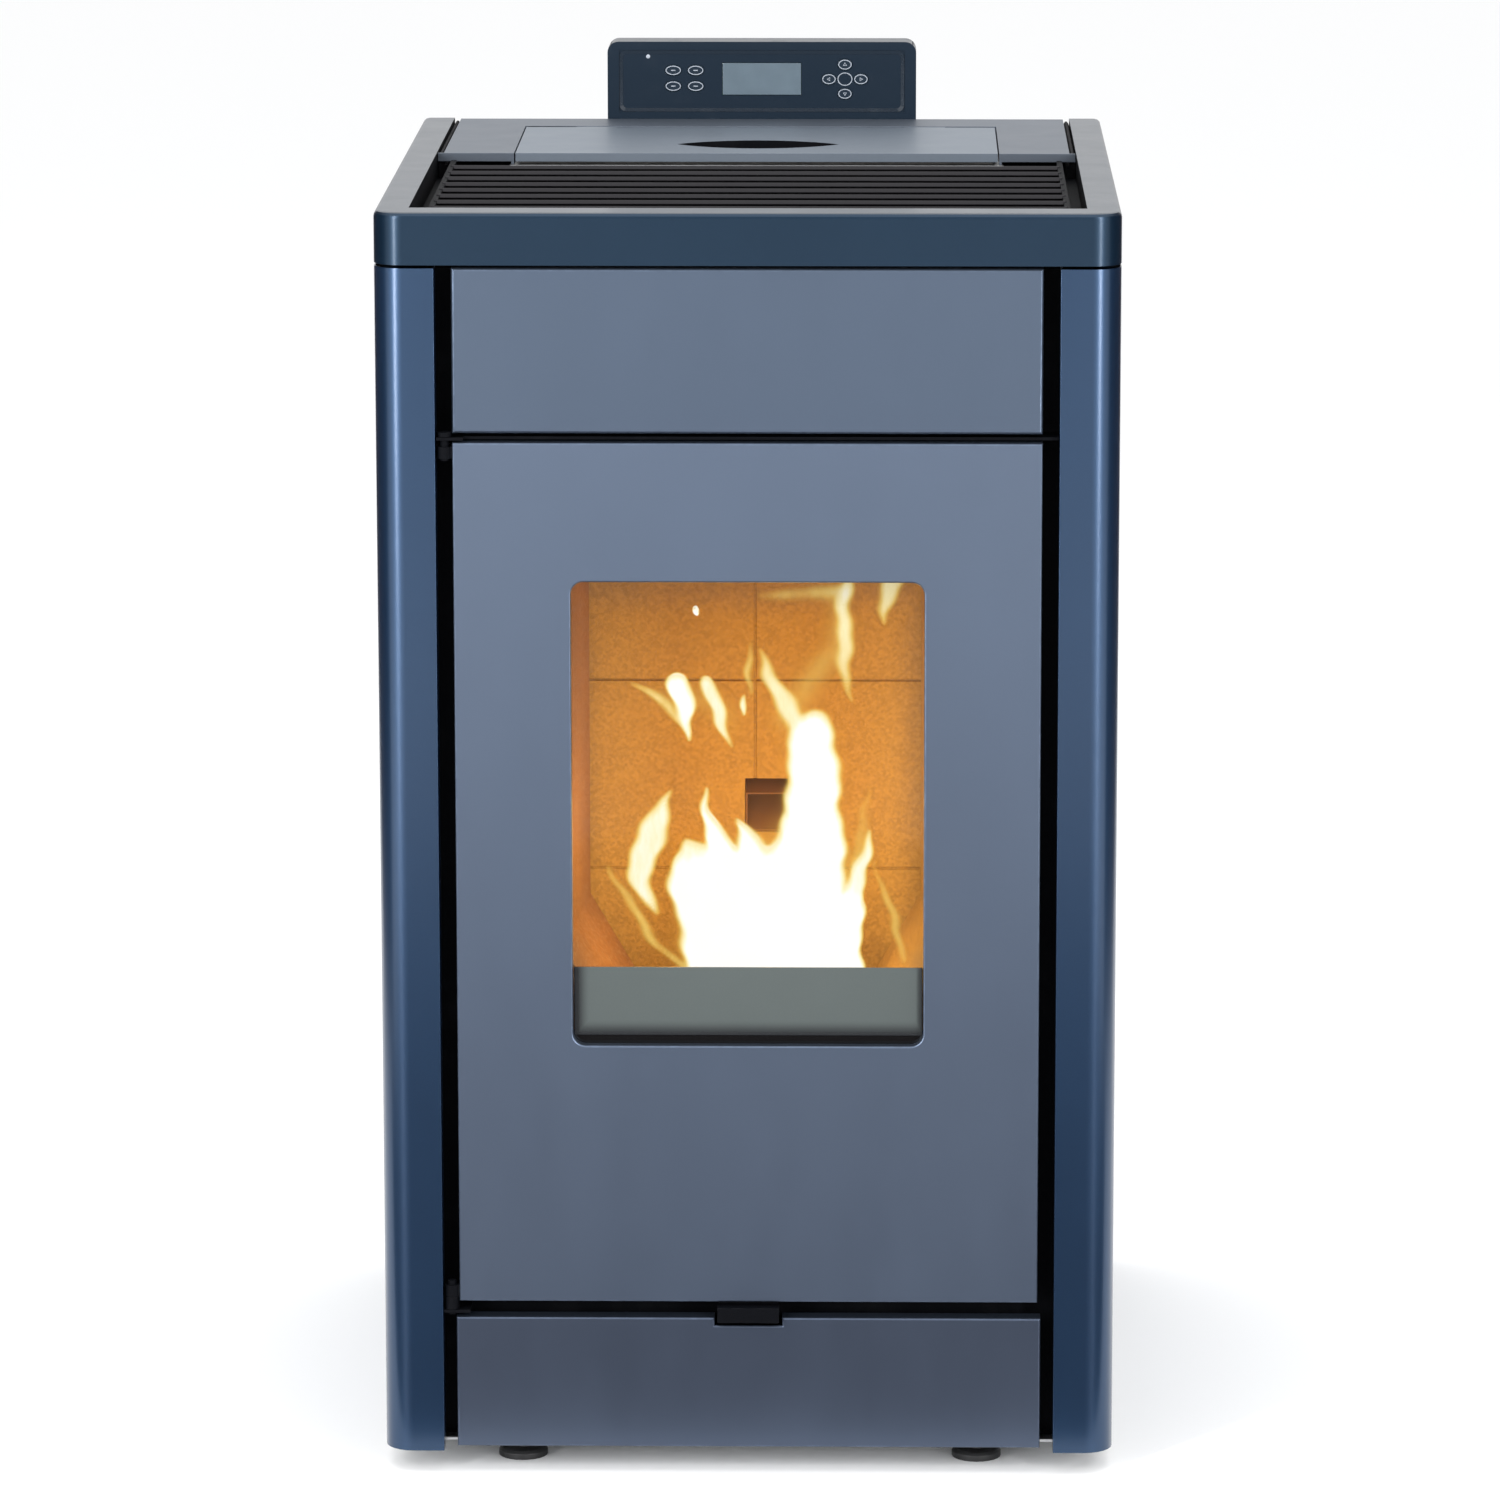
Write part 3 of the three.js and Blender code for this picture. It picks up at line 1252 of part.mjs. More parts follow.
// Side board, narrowing the chamber to the rear, with the slope that sheds ash into the pot
function sideTile(side) {
  const front = WALL_BACK + SHELL_WALL + GAP * 2;
  const rear = BACK_BOARD_FRONT - GAP * 2;
  const plan = [
    [BOARD_HALF, front],
    [BOARD_HALF, rear],
    [SIDE_BOARD_REAR, rear],
    [SIDE_BOARD_FRONT, front],
  ];
  const slope = [
    [SIDE_BOARD_FRONT + BOARD / 4, BOARD_BOTTOM],
    [SLOPE_HALF, BOARD_BOTTOM],
    [SLOPE_HALF, BOARD_BOTTOM + SLOPE_LIP],
    [SIDE_BOARD_FRONT, BOARD_BOTTOM + SLOPE_TOP],
    [SIDE_BOARD_FRONT + BOARD / 4, BOARD_BOTTOM + SLOPE_TOP],
  ];
  return join(
    prismZ(mirrored(side, plan), [BOARD_BOTTOM, BOARD_TOP]),
    prismY(mirrored(side, slope), [front, rear]),
  );
}

function bafflePlate() {
  const bottom = BOARD_TOP + GAP;
  return block(
    about(0, BOARD_HALF),
    [SHELL_FRONT + BAFFLE_SETBACK, BACK_BOARD_REAR],
    [bottom, bottom + BAFFLE],
  );
}

function burnPot() {
  const x = about(0, POT_HALF);
  const y = [POT_FRONT, POT_REAR];
  const z = [HEARTH_Z - POT_BELOW, HEARTH_TOP + POT_ABOVE];
  const rimBottom = HEARTH_TOP + GAP;
  const rim = block(inset(x, -POT_RIM), inset(y, -POT_RIM), [rimBottom, rimBottom + POT_RIM_SHEET]);
  const hollow = block(inset(x, POT_WALL), inset(y, POT_WALL), [z[0] + POT_WALL, z[1] + PAST]);
  const holes = [];
  const middle = (POT_HOLES_PER_SIDE - 1) / 2;
  for (let i = 0; i < POT_HOLES_PER_SIDE; i += 1) {
    for (let j = 0; j < POT_HOLES_PER_SIDE; j += 1) {
      const hole = circle(
        (i - middle) * POT_HOLE_PITCH,
        (POT_FRONT + POT_REAR) / 2 + (j - middle) * POT_HOLE_PITCH,
        POT_HOLE_RADIUS,
        ROUND / 3,
      );
      holes.push(prismZ(hole, [z[0] - PAST, z[0] + POT_WALL + PAST]));
    }
  }
  return cut(join(block(x, y, z), rim), hollow, ...holes);
}

// ---------- Pellet feed ----------

const augerPlace = new THREE.Vector3(FEED_X, AUGER_Y, AUGER_Z);

// The auger tube's outside plus a clearance, in the stove's frame: what sits on it is cut by it
function augerClearance() {
  const reach = [-AUGER_LENGTH, AUGER_LENGTH * 2];
  return prismZ(circle(0, 0, AUGER_TUBE_RADIUS + GAP), reach)
    .rotateX(AUGER_TILT)
    .translate(...augerPlace.toArray());
}

// Side view of the chute between its sides; `wall` moves floor, roof and back inwards
function chuteSection(wall, past) {
  const run = CHUTE_LENGTH;
  const throatFront = CHUTE_BACK - CHUTE_THROAT;
  const mouthTop = CHUTE_FLOOR + CHUTE_MOUTH_HEIGHT;
  return [
    [BACK_BOARD_FRONT - past, CHUTE_FLOOR - past * CHUTE_SLOPE + wall],
    [CHUTE_BACK - wall, CHUTE_FLOOR + run * CHUTE_SLOPE + wall],
    [CHUTE_BACK - wall, CHUTE_FLOOR + CHUTE_RISE + past],
    [throatFront + wall, CHUTE_FLOOR + CHUTE_RISE + past],
    [throatFront + wall, mouthTop + CHUTE_STEP - wall],
    [BACK_BOARD_FRONT - past, mouthTop - wall],
  ];
}

function pelletChute() {
  const half = CHUTE_WIDTH / 2;
  return cut(
    prismX(chuteSection(0, 0), about(FEED_X, half)),
    prismX(chuteSection(CHUTE_WALL, PAST), about(FEED_X, half - CHUTE_WALL)),
    augerClearance(),
  );
}

// Auger pieces lie along their own +Z, from the gearbox up to the chute
function augerTube() {
  const bore = AUGER_TUBE_RADIUS - AUGER_TUBE_WALL;
  const radius = AUGER_TUBE_RADIUS;
  const cap = AUGER_LENGTH - AUGER_TUBE_WALL;
  return cut(
    prismZ(circle(0, 0, radius), [0, AUGER_LENGTH]),
    prismZ(circle(0, 0, bore), [-PAST, cap]),
    prismZ(circle(0, 0, AUGER_SHAFT_RADIUS + HOLE_PLAY, FINE_ROUND), [cap - PAST, AUGER_LENGTH + PAST]),
    block(about(0, INLET_HALF), [0, radius + PAST], [INLET_START, INLET_START + INLET_LENGTH]),
    block(about(0, OUTLET_HALF), [-radius - PAST, 0], [OUTLET_START, OUTLET_START + OUTLET_LENGTH]),
  );
}

// Ribbon wound round the shaft
function augerFlight() {
  const inner = AUGER_SHAFT_RADIUS - PAST;
  const outer = AUGER_TUBE_RADIUS - AUGER_TUBE_WALL - AUGER_PLAY;
  const start = FLIGHT_PLAY;
  const rise = AUGER_LENGTH - AUGER_TUBE_WALL - AUGER_FLIGHT - 2 * FLIGHT_PLAY;
  const steps = AUGER_TURNS * FINE_ROUND;
  const rings = [];
  for (let i = 0; i <= steps; i += 1) {
    const angle = (2 * Math.PI * AUGER_TURNS * i) / steps;
    const low = start + (rise * i) / steps;
    const at = (radius, z) => [radius * Math.cos(angle), radius * Math.sin(angle), z];
    const high = low + AUGER_FLIGHT;
    rings.push([at(inner, low), at(inner, high), at(outer, high), at(outer, low)]);
  }
  return skin(rings, QUAD_CAP);
}

function augerScrew() {
  const shaft = circle(0, 0, AUGER_SHAFT_RADIUS, FINE_ROUND);
  return join(prismZ(shaft, [-AUGER_SHAFT_LEAD, AUGER_LENGTH - PAST]), augerFlight());
}

function augerMotor() {
  const half = GEARBOX_HALF;
  const bore = circle(0, 0, AUGER_SHAFT_RADIUS + HOLE_PLAY, FINE_ROUND);
  const gearboxTop = -GAP;
  const gearboxBottom = gearboxTop - GEARBOX_DEPTH;
  const motor = circle(0, (gearboxTop + gearboxBottom) / 2, GEAR_MOTOR_RADIUS);
  return cut(
    join(
      block(about(0, half), about(0, half), [gearboxBottom, gearboxTop]),
      prismX(motor, [-half - GEAR_MOTOR_LENGTH, -half + PAST]),
    ),
    prismZ(bore, [-AUGER_SHAFT_LEAD - PAST, PAST]),
  );
}

// Straight bin, sloping throat and a spout that sits on the auger tube
function hopperBody(wall, past) {
  const rimZ = HOPPER_RIM + past;
  const throatZ = HOPPER_RIM - HOPPER_STRAIGHT;
  const bin = {
    x: inset(about(0, HOPPER_HALF), wall),
    y: inset([FRONT + HOPPER_SETBACK, FRONT + HOPPER_SETBACK + HOPPER_DEPTH], wall),
  };
  const spoutFront = SPOUT_FRONT;
  const spout = {
    x: inset(about(FEED_X, SPOUT_HALF), wall),
    y: inset([spoutFront, spoutFront + SPOUT_DEPTH], wall),
  };
  const level = ({ x, y }, z) => ({ outline: rectangle(x, y), z });
  return stacked([
    level(spout, SPOUT_BOTTOM - past),
    level(spout, SPOUT_TOP),
    level(bin, throatZ),
    level(bin, rimZ),
  ]);
}

function pelletHopper() {
  const front = FRONT + HOPPER_SETBACK - HOPPER_FLANGE;
  const rear = STRIP_FRONT + PLATE_SHEET + FLANGE_LAP;
  const flange = block(
    about(0, CUTOUT_HALF + PLATE_SHEET + FLANGE_LAP),
    [front, rear],
    [HOPPER_RIM - SHEET, HOPPER_RIM],
  );
  return cut(join(hopperBody(0, 0), flange), hopperBody(SHEET, PAST), augerClearance());
}

// ---------- Exhaust ----------

const fanX = [FAN_X, FAN_X + FAN_WIDTH];
const fanInnerX = inset(fanX, FAN_WALL);

function exhaustFanHousing() {
  const outletZ = about(FLUE_Z, FAN_WIDTH / 2 - GAP);
  const outletEnd = FLUE_FRONT - GAP;
  const inletZ = [DUCT_BOTTOM, DUCT_BOTTOM + DUCT_HEIGHT];
  return cut(
    join(
      prismX(circle(FAN_Y, FAN_Z, FAN_RADIUS), fanX),
      block(fanX, [SHELL_BACK + GAP, FAN_Y], inletZ),
      block(fanX, [FAN_Y, outletEnd], outletZ),
    ),
    prismX(circle(FAN_Y, FAN_Z, FAN_RADIUS - FAN_WALL), fanInnerX),
    block(fanInnerX, [SHELL_BACK - PAST, FAN_Y], inset(inletZ, FAN_WALL)),
    block(fanInnerX, [FAN_Y, outletEnd - FAN_WALL], inset(outletZ, FAN_WALL)),
    prismY(
      circle(FLUE_X, FLUE_Z, FLUE_RADIUS - FLUE_WALL),
      [outletEnd - FAN_WALL - PAST, outletEnd + PAST],
    ),
    prismX(
      circle(FAN_Y, FAN_Z, FAN_SHAFT_RADIUS + HOLE_PLAY, FINE_ROUND),
      [fanInnerX[1] - PAST, fanX[1] + PAST],
    ),
  );
}

// Radial blades on a disc, turning about the X axis through (cy, cz)
function radialBlades(count, inner, outer, thickness, x, cy, cz) {
  const blades = [];
  for (let i = 0; i < count; i += 1) {
    const blade = block(x, [inner, outer], about(0, thickness / 2));
    blades.push(blade.rotateX((2 * Math.PI * i) / count).translate(0, cy, cz));
  }
  return blades;
}

function exhaustImpeller() {
  const x = inset(fanInnerX, IMPELLER_PLAY);
  const disc = [x[1] - IMPELLER_DISC, x[1]];
  const bladeX = [x[0], x[1] - IMPELLER_DISC / 2];
  const bladeInner = FAN_SHAFT_RADIUS / 2;
  return join(
    prismX(circle(FAN_Y, FAN_Z, IMPELLER_RADIUS), disc),
    prismX(
      circle(FAN_Y, FAN_Z, FAN_SHAFT_RADIUS, FINE_ROUND),
      [x[0] - PAST, fanX[1] + GAP + FAN_SHAFT_LEAD],
    ),
    ...radialBlades(
      IMPELLER_BLADES,
      bladeInner,
      IMPELLER_RADIUS - IMPELLER_DISC,
      IMPELLER_DISC,
      bladeX,
      FAN_Y,
      FAN_Z,
    ),
  );
}

function exhaustMotor() {
  const front = fanX[1] + GAP;
  return cut(
    prismX(circle(FAN_Y, FAN_Z, FAN_MOTOR_RADIUS), [front, front + FAN_MOTOR_LENGTH]),
    prismX(
      circle(FAN_Y, FAN_Z, FAN_SHAFT_RADIUS + HOLE_PLAY, FINE_ROUND),
      [front - PAST, front + FAN_SHAFT_LEAD + PAST],
    ),
  );
}

function flueOutlet() {
  const bore = circle(FLUE_X, FLUE_Z, FLUE_RADIUS - FLUE_WALL);
  return prismY(circle(FLUE_X, FLUE_Z, FLUE_RADIUS), [FLUE_FRONT, BACK + FLUE_REACH], [bore]);
}

// ---------- Intake and igniter ----------

function airIntakePipe() {
  const front = SHELL_BACK + GAP;
  const bore = circle(INTAKE_X, INTAKE_Z, INTAKE_RADIUS - SHELL_WALL + GAP * 2);
  const flange = circle(INTAKE_X, INTAKE_Z, INTAKE_RADIUS + INTAKE_FLANGE);
  return cut(
    join(
      prismY(circle(INTAKE_X, INTAKE_Z, INTAKE_RADIUS), [front, BACK + INTAKE_REACH]),
      prismY(flange, [front, front + INTAKE_FLANGE_SHEET]),
    ),
    prismY(bore, [front - PAST, BACK + INTAKE_REACH + PAST]),
  );
}

function igniterCartridge() {
  const flangeFront = SHELL_BACK + GAP;
  return join(
    prismY(
      circle(0, IGNITER_Z, IGNITER_RADIUS, FINE_ROUND),
      [POT_REAR + IGNITER_RADIUS / 2, SHELL_BACK + IGNITER_TAIL],
    ),
    prismY(
      circle(0, IGNITER_Z, IGNITER_FLANGE_RADIUS, FINE_ROUND),
      [flangeFront, flangeFront + IGNITER_FLANGE_SHEET],
    ),
  );
}

// ---------- Room-air blower ----------

const blowerX = [BLOWER_X, BLOWER_X + BLOWER_WIDTH];
const blowerY = [FRONT + BLOWER_SETBACK, FRONT + BLOWER_SETBACK + BLOWER_DEPTH];
const blowerZ = [BASE_TOP + GAP, BASE_TOP + GAP + BLOWER_HEIGHT];
const wheelY = (blowerY[0] + blowerY[1]) / 2;
const wheelZ = (blowerZ[0] + blowerZ[1]) / 2;

function blowerHousing() {
  const portX = inset(blowerX, BLOWER_PORT_MARGIN);
  const shaftHole = circle(wheelY, wheelZ, WHEEL_SHAFT_RADIUS + HOLE_PLAY, FINE_ROUND);
  return cut(
    block(blowerX, blowerY, blowerZ),
    block(inset(blowerX, BLOWER_WALL), inset(blowerY, BLOWER_WALL), inset(blowerZ, BLOWER_WALL)),
    block(
      portX,
      inset(blowerY, BLOWER_PORT_MARGIN),
      [blowerZ[1] - BLOWER_WALL - PAST, blowerZ[1] + PAST],
    ),
    block(
      portX,
      [blowerY[1] - BLOWER_WALL - PAST, blowerY[1] + PAST],
      inset(blowerZ, BLOWER_PORT_MARGIN),
    ),
    prismX(shaftHole, inset(blowerX, -PAST)),
  );
}

function blowerWheel() {
  const x = inset(blowerX, BLOWER_WALL + WHEEL_PLAY);
  const disc = circle(wheelY, wheelZ, WHEEL_RADIUS);
  return join(
    prismX(disc, [x[0], x[0] + WHEEL_DISC]),
    prismX(disc, [x[1] - WHEEL_DISC, x[1]]),
    prismX(circle(wheelY, wheelZ, WHEEL_SHAFT_RADIUS, FINE_ROUND), inset(blowerX, -PAST)),
    ...radialBlades(
      WHEEL_BLADES,
      WHEEL_RADIUS - WHEEL_RIM,
      WHEEL_RADIUS - WHEEL_DISC / 2,
      WHEEL_DISC,
      inset(x, WHEEL_DISC / 2),
      wheelY,
      wheelZ,
    ),
  );
}

// ---------- Power inlet and switch ----------

const ROCKER_Y = REAR_OUT + GAP + SOCKET_FRAME + PAST - ROCKER_DEPTH / 2;
const ROCKER_Z = SOCKET_Z + ROCKER_RISE;

function powerSocket() {
  const x = about(SOCKET_X, SOCKET_WIDTH / 2);
  const z = [SOCKET_Z, SOCKET_Z + SOCKET_HEIGHT];
  const frameY = [REAR_OUT + GAP, REAR_OUT + GAP + SOCKET_FRAME];
  const bodyBack = frameY[1] - SOCKET_DEPTH;
  const bodyY = [bodyBack, frameY[0] + SOCKET_FRAME / 2];
  const inletZ = [SOCKET_Z + INLET_RISE, SOCKET_Z + INLET_RISE + INLET_HEIGHT];
  const inletFloor = frameY[1] - INLET_DEPTH;
  const rockerHole = block(
    about(SOCKET_X, ROCKER_WIDTH / 2 + GAP),
    [ROCKER_Y - ROCKER_DEPTH / 2 - ROCKER_PLAY - PAST, frameY[1] + PAST],
    about(ROCKER_Z, ROCKER_HEIGHT / 2 + ROCKER_PLAY),
  );
  const bearing = prismX(
    circle(ROCKER_Y, ROCKER_Z, ROCKER_TRUNNION + HOLE_PLAY, FINE_ROUND),
    about(SOCKET_X, ROCKER_WIDTH / 2 + ROCKER_TRUNNION + GAP * 2),
  );
  const shell = cut(
    join(block(x, frameY, z), block(inset(x, SOCKET_LAP), bodyY, inset(z, SOCKET_LAP))),
    block(about(SOCKET_X, INLET_WIDTH / 2), [inletFloor, frameY[1] + PAST], inletZ),
    rockerHole,
    bearing,
  );
  const contacts = [-1, 0, 1].map((i) => block(
    about(SOCKET_X + i * CONTACT_PITCH, CONTACT_SIZE / 2),
    [inletFloor - PAST, frameY[1] - CONTACT_SIZE],
    about((inletZ[0] + inletZ[1]) / 2 + (i === 0 ? CONTACT_SIZE : -CONTACT_SIZE), CONTACT_SIZE),
  ));
  return join(shell, ...contacts);
}

// Rocker about its own pivot, along X
function powerSwitch() {
  const trunnions = circle(0, 0, ROCKER_TRUNNION, FINE_ROUND);
  return join(
    block(
      about(0, ROCKER_WIDTH / 2),
      about(0, ROCKER_DEPTH / 2),
      about(0, ROCKER_HEIGHT / 2),
    ),
    prismX(trunnions, about(0, ROCKER_WIDTH / 2 + ROCKER_TRUNNION)),
  );
}

// Board on the left side panel: standoffs, transformer, relays, capacitors and terminals
function powerBoard() {
  const boardX = [-(BASE_HALF - STANDOFF), -(BASE_HALF - STANDOFF - CIRCUIT_BOARD)];
  const y = [FRONT + POWER_BOARD_SETBACK, FRONT + POWER_BOARD_SETBACK + POWER_BOARD_LENGTH];
  const z = [POWER_BOARD_Z, POWER_BOARD_Z + POWER_BOARD_HEIGHT];
  const seatX = boardX[1] - CIRCUIT_BOARD / 2;
  const corners = inset(y, STANDOFF_INSET).flatMap((cy) => (
    inset(z, STANDOFF_INSET).map((cz) => [cy, cz])
  ));
  const standoffs = corners.map(([cy, cz]) => (
    prismX(circle(cy, cz, STANDOFF_RADIUS, FINE_ROUND), [-BASE_HALF, seatX])
  ));
  const fixed = ({ fromRear, fromBottom, length, height, depth }, along = 0) => block(
    [seatX, boardX[1] + depth],
    [y[1] - fromRear - along - length, y[1] - fromRear - along],
    [z[0] + fromBottom, z[0] + fromBottom + height],
  );
  const relays = [];
  for (let i = 0; i < RELAY_COUNT; i += 1) {
    relays.push(fixed(RELAY, i * RELAY_PITCH));
  }
  const capacitors = [0, 1].map((i) => prismX(
    circle(
      y[0] + CAPACITOR.fromFront,
      z[0] + CAPACITOR.fromBottom + i * CAPACITOR.pitch,
      CAPACITOR.radius,
      FINE_ROUND,
    ),
    [seatX, boardX[1] + CAPACITOR.length],
  ));
  return join(
    block(boardX, y, z),
    ...standoffs,
    fixed(TRANSFORMER),
    ...relays,
    fixed(TERMINALS),
    ...capacitors,
  );
}

// ---------- Control panel ----------

const BOARD_X = about(0, DISPLAY_BOARD_HALF);
const BOARD_Z = [TOP - DISPLAY_BOARD_DROP, TOP - DISPLAY_BOARD_DROP + DISPLAY_BOARD_HEIGHT];

const ROUND_KEYS = KEY_RISE.flatMap((rise) => KEY_X.map((x) => ({ x, z: TOP + rise })));

const ARROW_KEYS = [
  { side: 'up', x: ARROW_X, z: DISPLAY_Z + ARROW_RISE },
  { side: 'down', x: ARROW_X, z: DISPLAY_Z - ARROW_RISE },
  { side: 'left', x: ARROW_X - ARROW_REACH, z: DISPLAY_Z },
  { side: 'right', x: ARROW_X + ARROW_REACH, z: DISPLAY_Z },
];

function controlHousing() {
  const x = about(0, CONTROL_HALF);
  const y = [CONTROL_FRONT, CONTROL_FRONT + CONTROL_DEPTH];
  const z = [TOP - CONTROL_BOTTOM, TOP + CONTROL_TOP];
  const throughFace = [CONTROL_FRONT - PAST, CONTROL_FRONT + CONTROL_FACE + PAST];
  const outline = [
    [x[0], z[0]],
    [x[1], z[0]],
    ...arc(x[1] - CONTROL_RADIUS, z[1] - CONTROL_RADIUS, CONTROL_RADIUS, 0, 90, CORNER_STEPS),
    ...arc(x[0] + CONTROL_RADIUS, z[1] - CONTROL_RADIUS, CONTROL_RADIUS, 90, 180, CORNER_STEPS),
  ];
  const bracket = block(
    about(0, BRACKET_HALF),
    [REAR_OUT + GAP, CONTROL_FRONT + CONTROL_FACE / 2],
    [z[0] + BRACKET_RISE, z[0] + BRACKET_RISE + BRACKET_HEIGHT],
  );
  const recess = block(
    about(0, FACE_HALF),
    [CONTROL_FRONT - PAST, FACE_PLANE],
    [TOP + FACE_BOTTOM, z[1] - FACE_TOP],
  );
  const display = block(
    about(0, DISPLAY_WIDTH / 2 + GAP),
    throughFace,
    about(DISPLAY_Z, DISPLAY_HEIGHT / 2 + GAP),
  );
  const keyHoles = ROUND_KEYS.map((key) => (
    prismY(oval(key.x, key.z, KEY_WIDTH + 2 * GAP, KEY_HEIGHT + 2 * GAP), throughFace)
  ));
  const arrowHoles = ARROW_KEYS.map((key) => (
    prismY(oval(key.x, key.z, ARROW_WIDTH + 2 * GAP, ARROW_HEIGHT + 2 * GAP), throughFace)
  ));
  const cavity = block(
    inset(x, CONTROL_WALL),
    [y[0] + CONTROL_FACE, y[1] - CONTROL_WALL],
    [z[0] - PAST, z[1] - CONTROL_WALL],
  );
  return cut(
    join(prismY(outline, y), bracket),
    cavity,
    recess,
    display,
    ...keyHoles,
    ...arrowHoles,
  );
}

// Circuit board behind the keys, with a boss to the housing's face at each corner
function controlBoard() {
  const bossX = inset(BOARD_X, BOARD_BOSS_INSET);
  const bossZ = inset(BOARD_Z, BOARD_BOSS_INSET);
  const rows = [[bossZ[0], bossZ[0] + BOARD_BOSS], [bossZ[1] - BOARD_BOSS, bossZ[1]]];
  const bosses = rows.flatMap((row) => SIDES.map((side) => block(
    sided(side, bossX[1] - BOARD_BOSS, bossX[1]),
    [CONTROL_FRONT + CONTROL_FACE + GAP, BOARD_FRONT + CIRCUIT_BOARD / 2],
    row,
  )));
  return join(block(BOARD_X, [BOARD_FRONT, BOARD_FRONT + CIRCUIT_BOARD], BOARD_Z), ...bosses);
}

function displayWindow() {
  return block(
    about(0, DISPLAY_WIDTH / 2),
    [FACE_PLANE, BOARD_FRONT - GAP],
    about(DISPLAY_Z, DISPLAY_HEIGHT / 2),
  );
}

// Key about its own middle, its face towards -Y
function key(width, height) {
  return prismY(oval(0, 0, width, height), [0, KEY_LENGTH]);
}

// ---------- Finishes: colour, roughness, metalness ----------

const SLATE = { color: 0x41536b, roughness: 0.38, metalness: 0.6 };
const PANEL = { color: 0x5d6a7c, roughness: 0.42, metalness: 0.55 };
const TOP_GREY = { color: 0x8792a3, roughness: 0.4, metalness: 0.55 };
const CHARCOAL = { color: 0x24272c, roughness: 0.6, metalness: 0.4 };
const BLACK_STEEL = { color: 0x15171a, roughness: 0.55, metalness: 0.5 };
const CAST_IRON = { color: 0x1c1d1f, roughness: 0.7, metalness: 0.6 };
const ZINC = { color: 0x9aa0a6, roughness: 0.45, metalness: 0.9 };
const STEEL = { color: 0xb4b8bc, roughness: 0.3, metalness: 1 };
const BOARD_LOOK = { color: 0x8a5a34, roughness: 0.9, metalness: 0 };
const ROPE = { color: 0x3c3c3a, roughness: 0.95, metalness: 0 };
const GLASS = { color: 0x17130f, roughness: 0.08, metalness: 0 };
const BAND = { color: 0x55585c, roughness: 0.35, metalness: 0.2 };
const NAVY = { color: 0x151c2b, roughness: 0.4, metalness: 0.1 };
const BLACK_PLASTIC = { color: 0x111214, roughness: 0.5, metalness: 0 };
const LCD = { color: 0x7d93a6, roughness: 0.15, metalness: 0 };
const KEY_GREY = { color: 0xb9c3d0, roughness: 0.5, metalness: 0 };
const CIRCUIT_GREEN = { color: 0x1f5a36, roughness: 0.5, metalness: 0.1 };
const RED = { color: 0xa3231c, roughness: 0.35, metalness: 0 };

// ---------- Assembly ----------

function piece(name, geometry, look) {
  const mesh = new THREE.Mesh(geometry, new THREE.MeshStandardMaterial(look));
  mesh.name = name;
  return mesh;
}

function assembly(...pieces) {
  const group = new THREE.Group();
  group.add(...pieces);
  return group;
}

const casing = assembly(
  piece('base_plate', basePlate(), ZINC),
  piece('side_panel_left', sidePanel(-1), SLATE),
  piece('side_panel_right', sidePanel(1), SLATE),
  piece('rear_panel', rearPanel(), BLACK_STEEL),
  piece('front_wall', frontWall(), BLACK_STEEL),
  piece('upper_front_panel', upperFrontPanel(), PANEL),
  piece('top_frame', topFrame(), SLATE),
  piece('top_plate', topPlate(), TOP_GREY),
  piece('air_grille', airGrille(), CHARCOAL),
);

const FOOT_PLACES = [
  ['foot_front_left', -1, FRONT + FOOT_INSET],
  ['foot_front_right', 1, FRONT + FOOT_INSET],
  ['foot_rear_left', -1, BACK - FOOT_INSET],
  ['foot_rear_right', 1, BACK - FOOT_INSET],
];
for (const [name, side, y] of FOOT_PLACES) {
  const mesh = piece(name, foot(), BLACK_PLASTIC);
  mesh.position.set((side * FOOT_SPACING) / 2, y, 0);
  casing.add(mesh);
}

const lid = assembly(
  piece('hopper_lid', hopperLid(), TOP_GREY),
  piece('lid_gasket', lidGasket(), ROPE),
  piece('lid_hinge_pin', lidHingePin(), STEEL),
);

const fireDoor = assembly(
  piece('door_panel', doorPanel(), PANEL),
  piece('door_frame', doorFrame(), CAST_IRON),
  piece('door_glass', doorGlass(), GLASS),
  piece('window_trim', windowTrim(), BAND),
  piece('door_gasket', doorGasket(), ROPE),
  piece('hinge_pin_upper', hingePinUpper(), STEEL),
  piece('hinge_pin_lower', hingePinLower(), STEEL),
  piece('door_lever', doorLever(), PANEL),
  piece('lever_bracket', leverBracket(), ZINC),
);

const ashTray = assembly(
  piece('ash_drawer', ashDrawer(), BLACK_STEEL),
  piece('drawer_front', drawerFront(), PANEL),
);

const firebox = assembly(
  piece('firebox_shell', fireboxShell(), BLACK_STEEL),
  piece('back_tile', backTile(), BOARD_LOOK),
  piece('side_tile_left', sideTile(-1), BOARD_LOOK),
  piece('side_tile_right', sideTile(1), BOARD_LOOK),
  piece('baffle_plate', bafflePlate(), BOARD_LOOK),
  piece('burn_pot', burnPot(), CAST_IRON),
  piece('igniter', igniterCartridge(), STEEL),
);

const auger = assembly(
  piece('auger_tube', augerTube(), ZINC),
  piece('auger_screw', augerScrew(), STEEL),
  piece('auger_motor', augerMotor(), BLACK_STEEL),
);
auger.position.copy(augerPlace);
auger.rotation.x = AUGER_TILT;

const fuelFeed = assembly(
  auger,
  piece('pellet_hopper', pelletHopper(), ZINC),
  piece('pellet_chute', pelletChute(), ZINC),
);

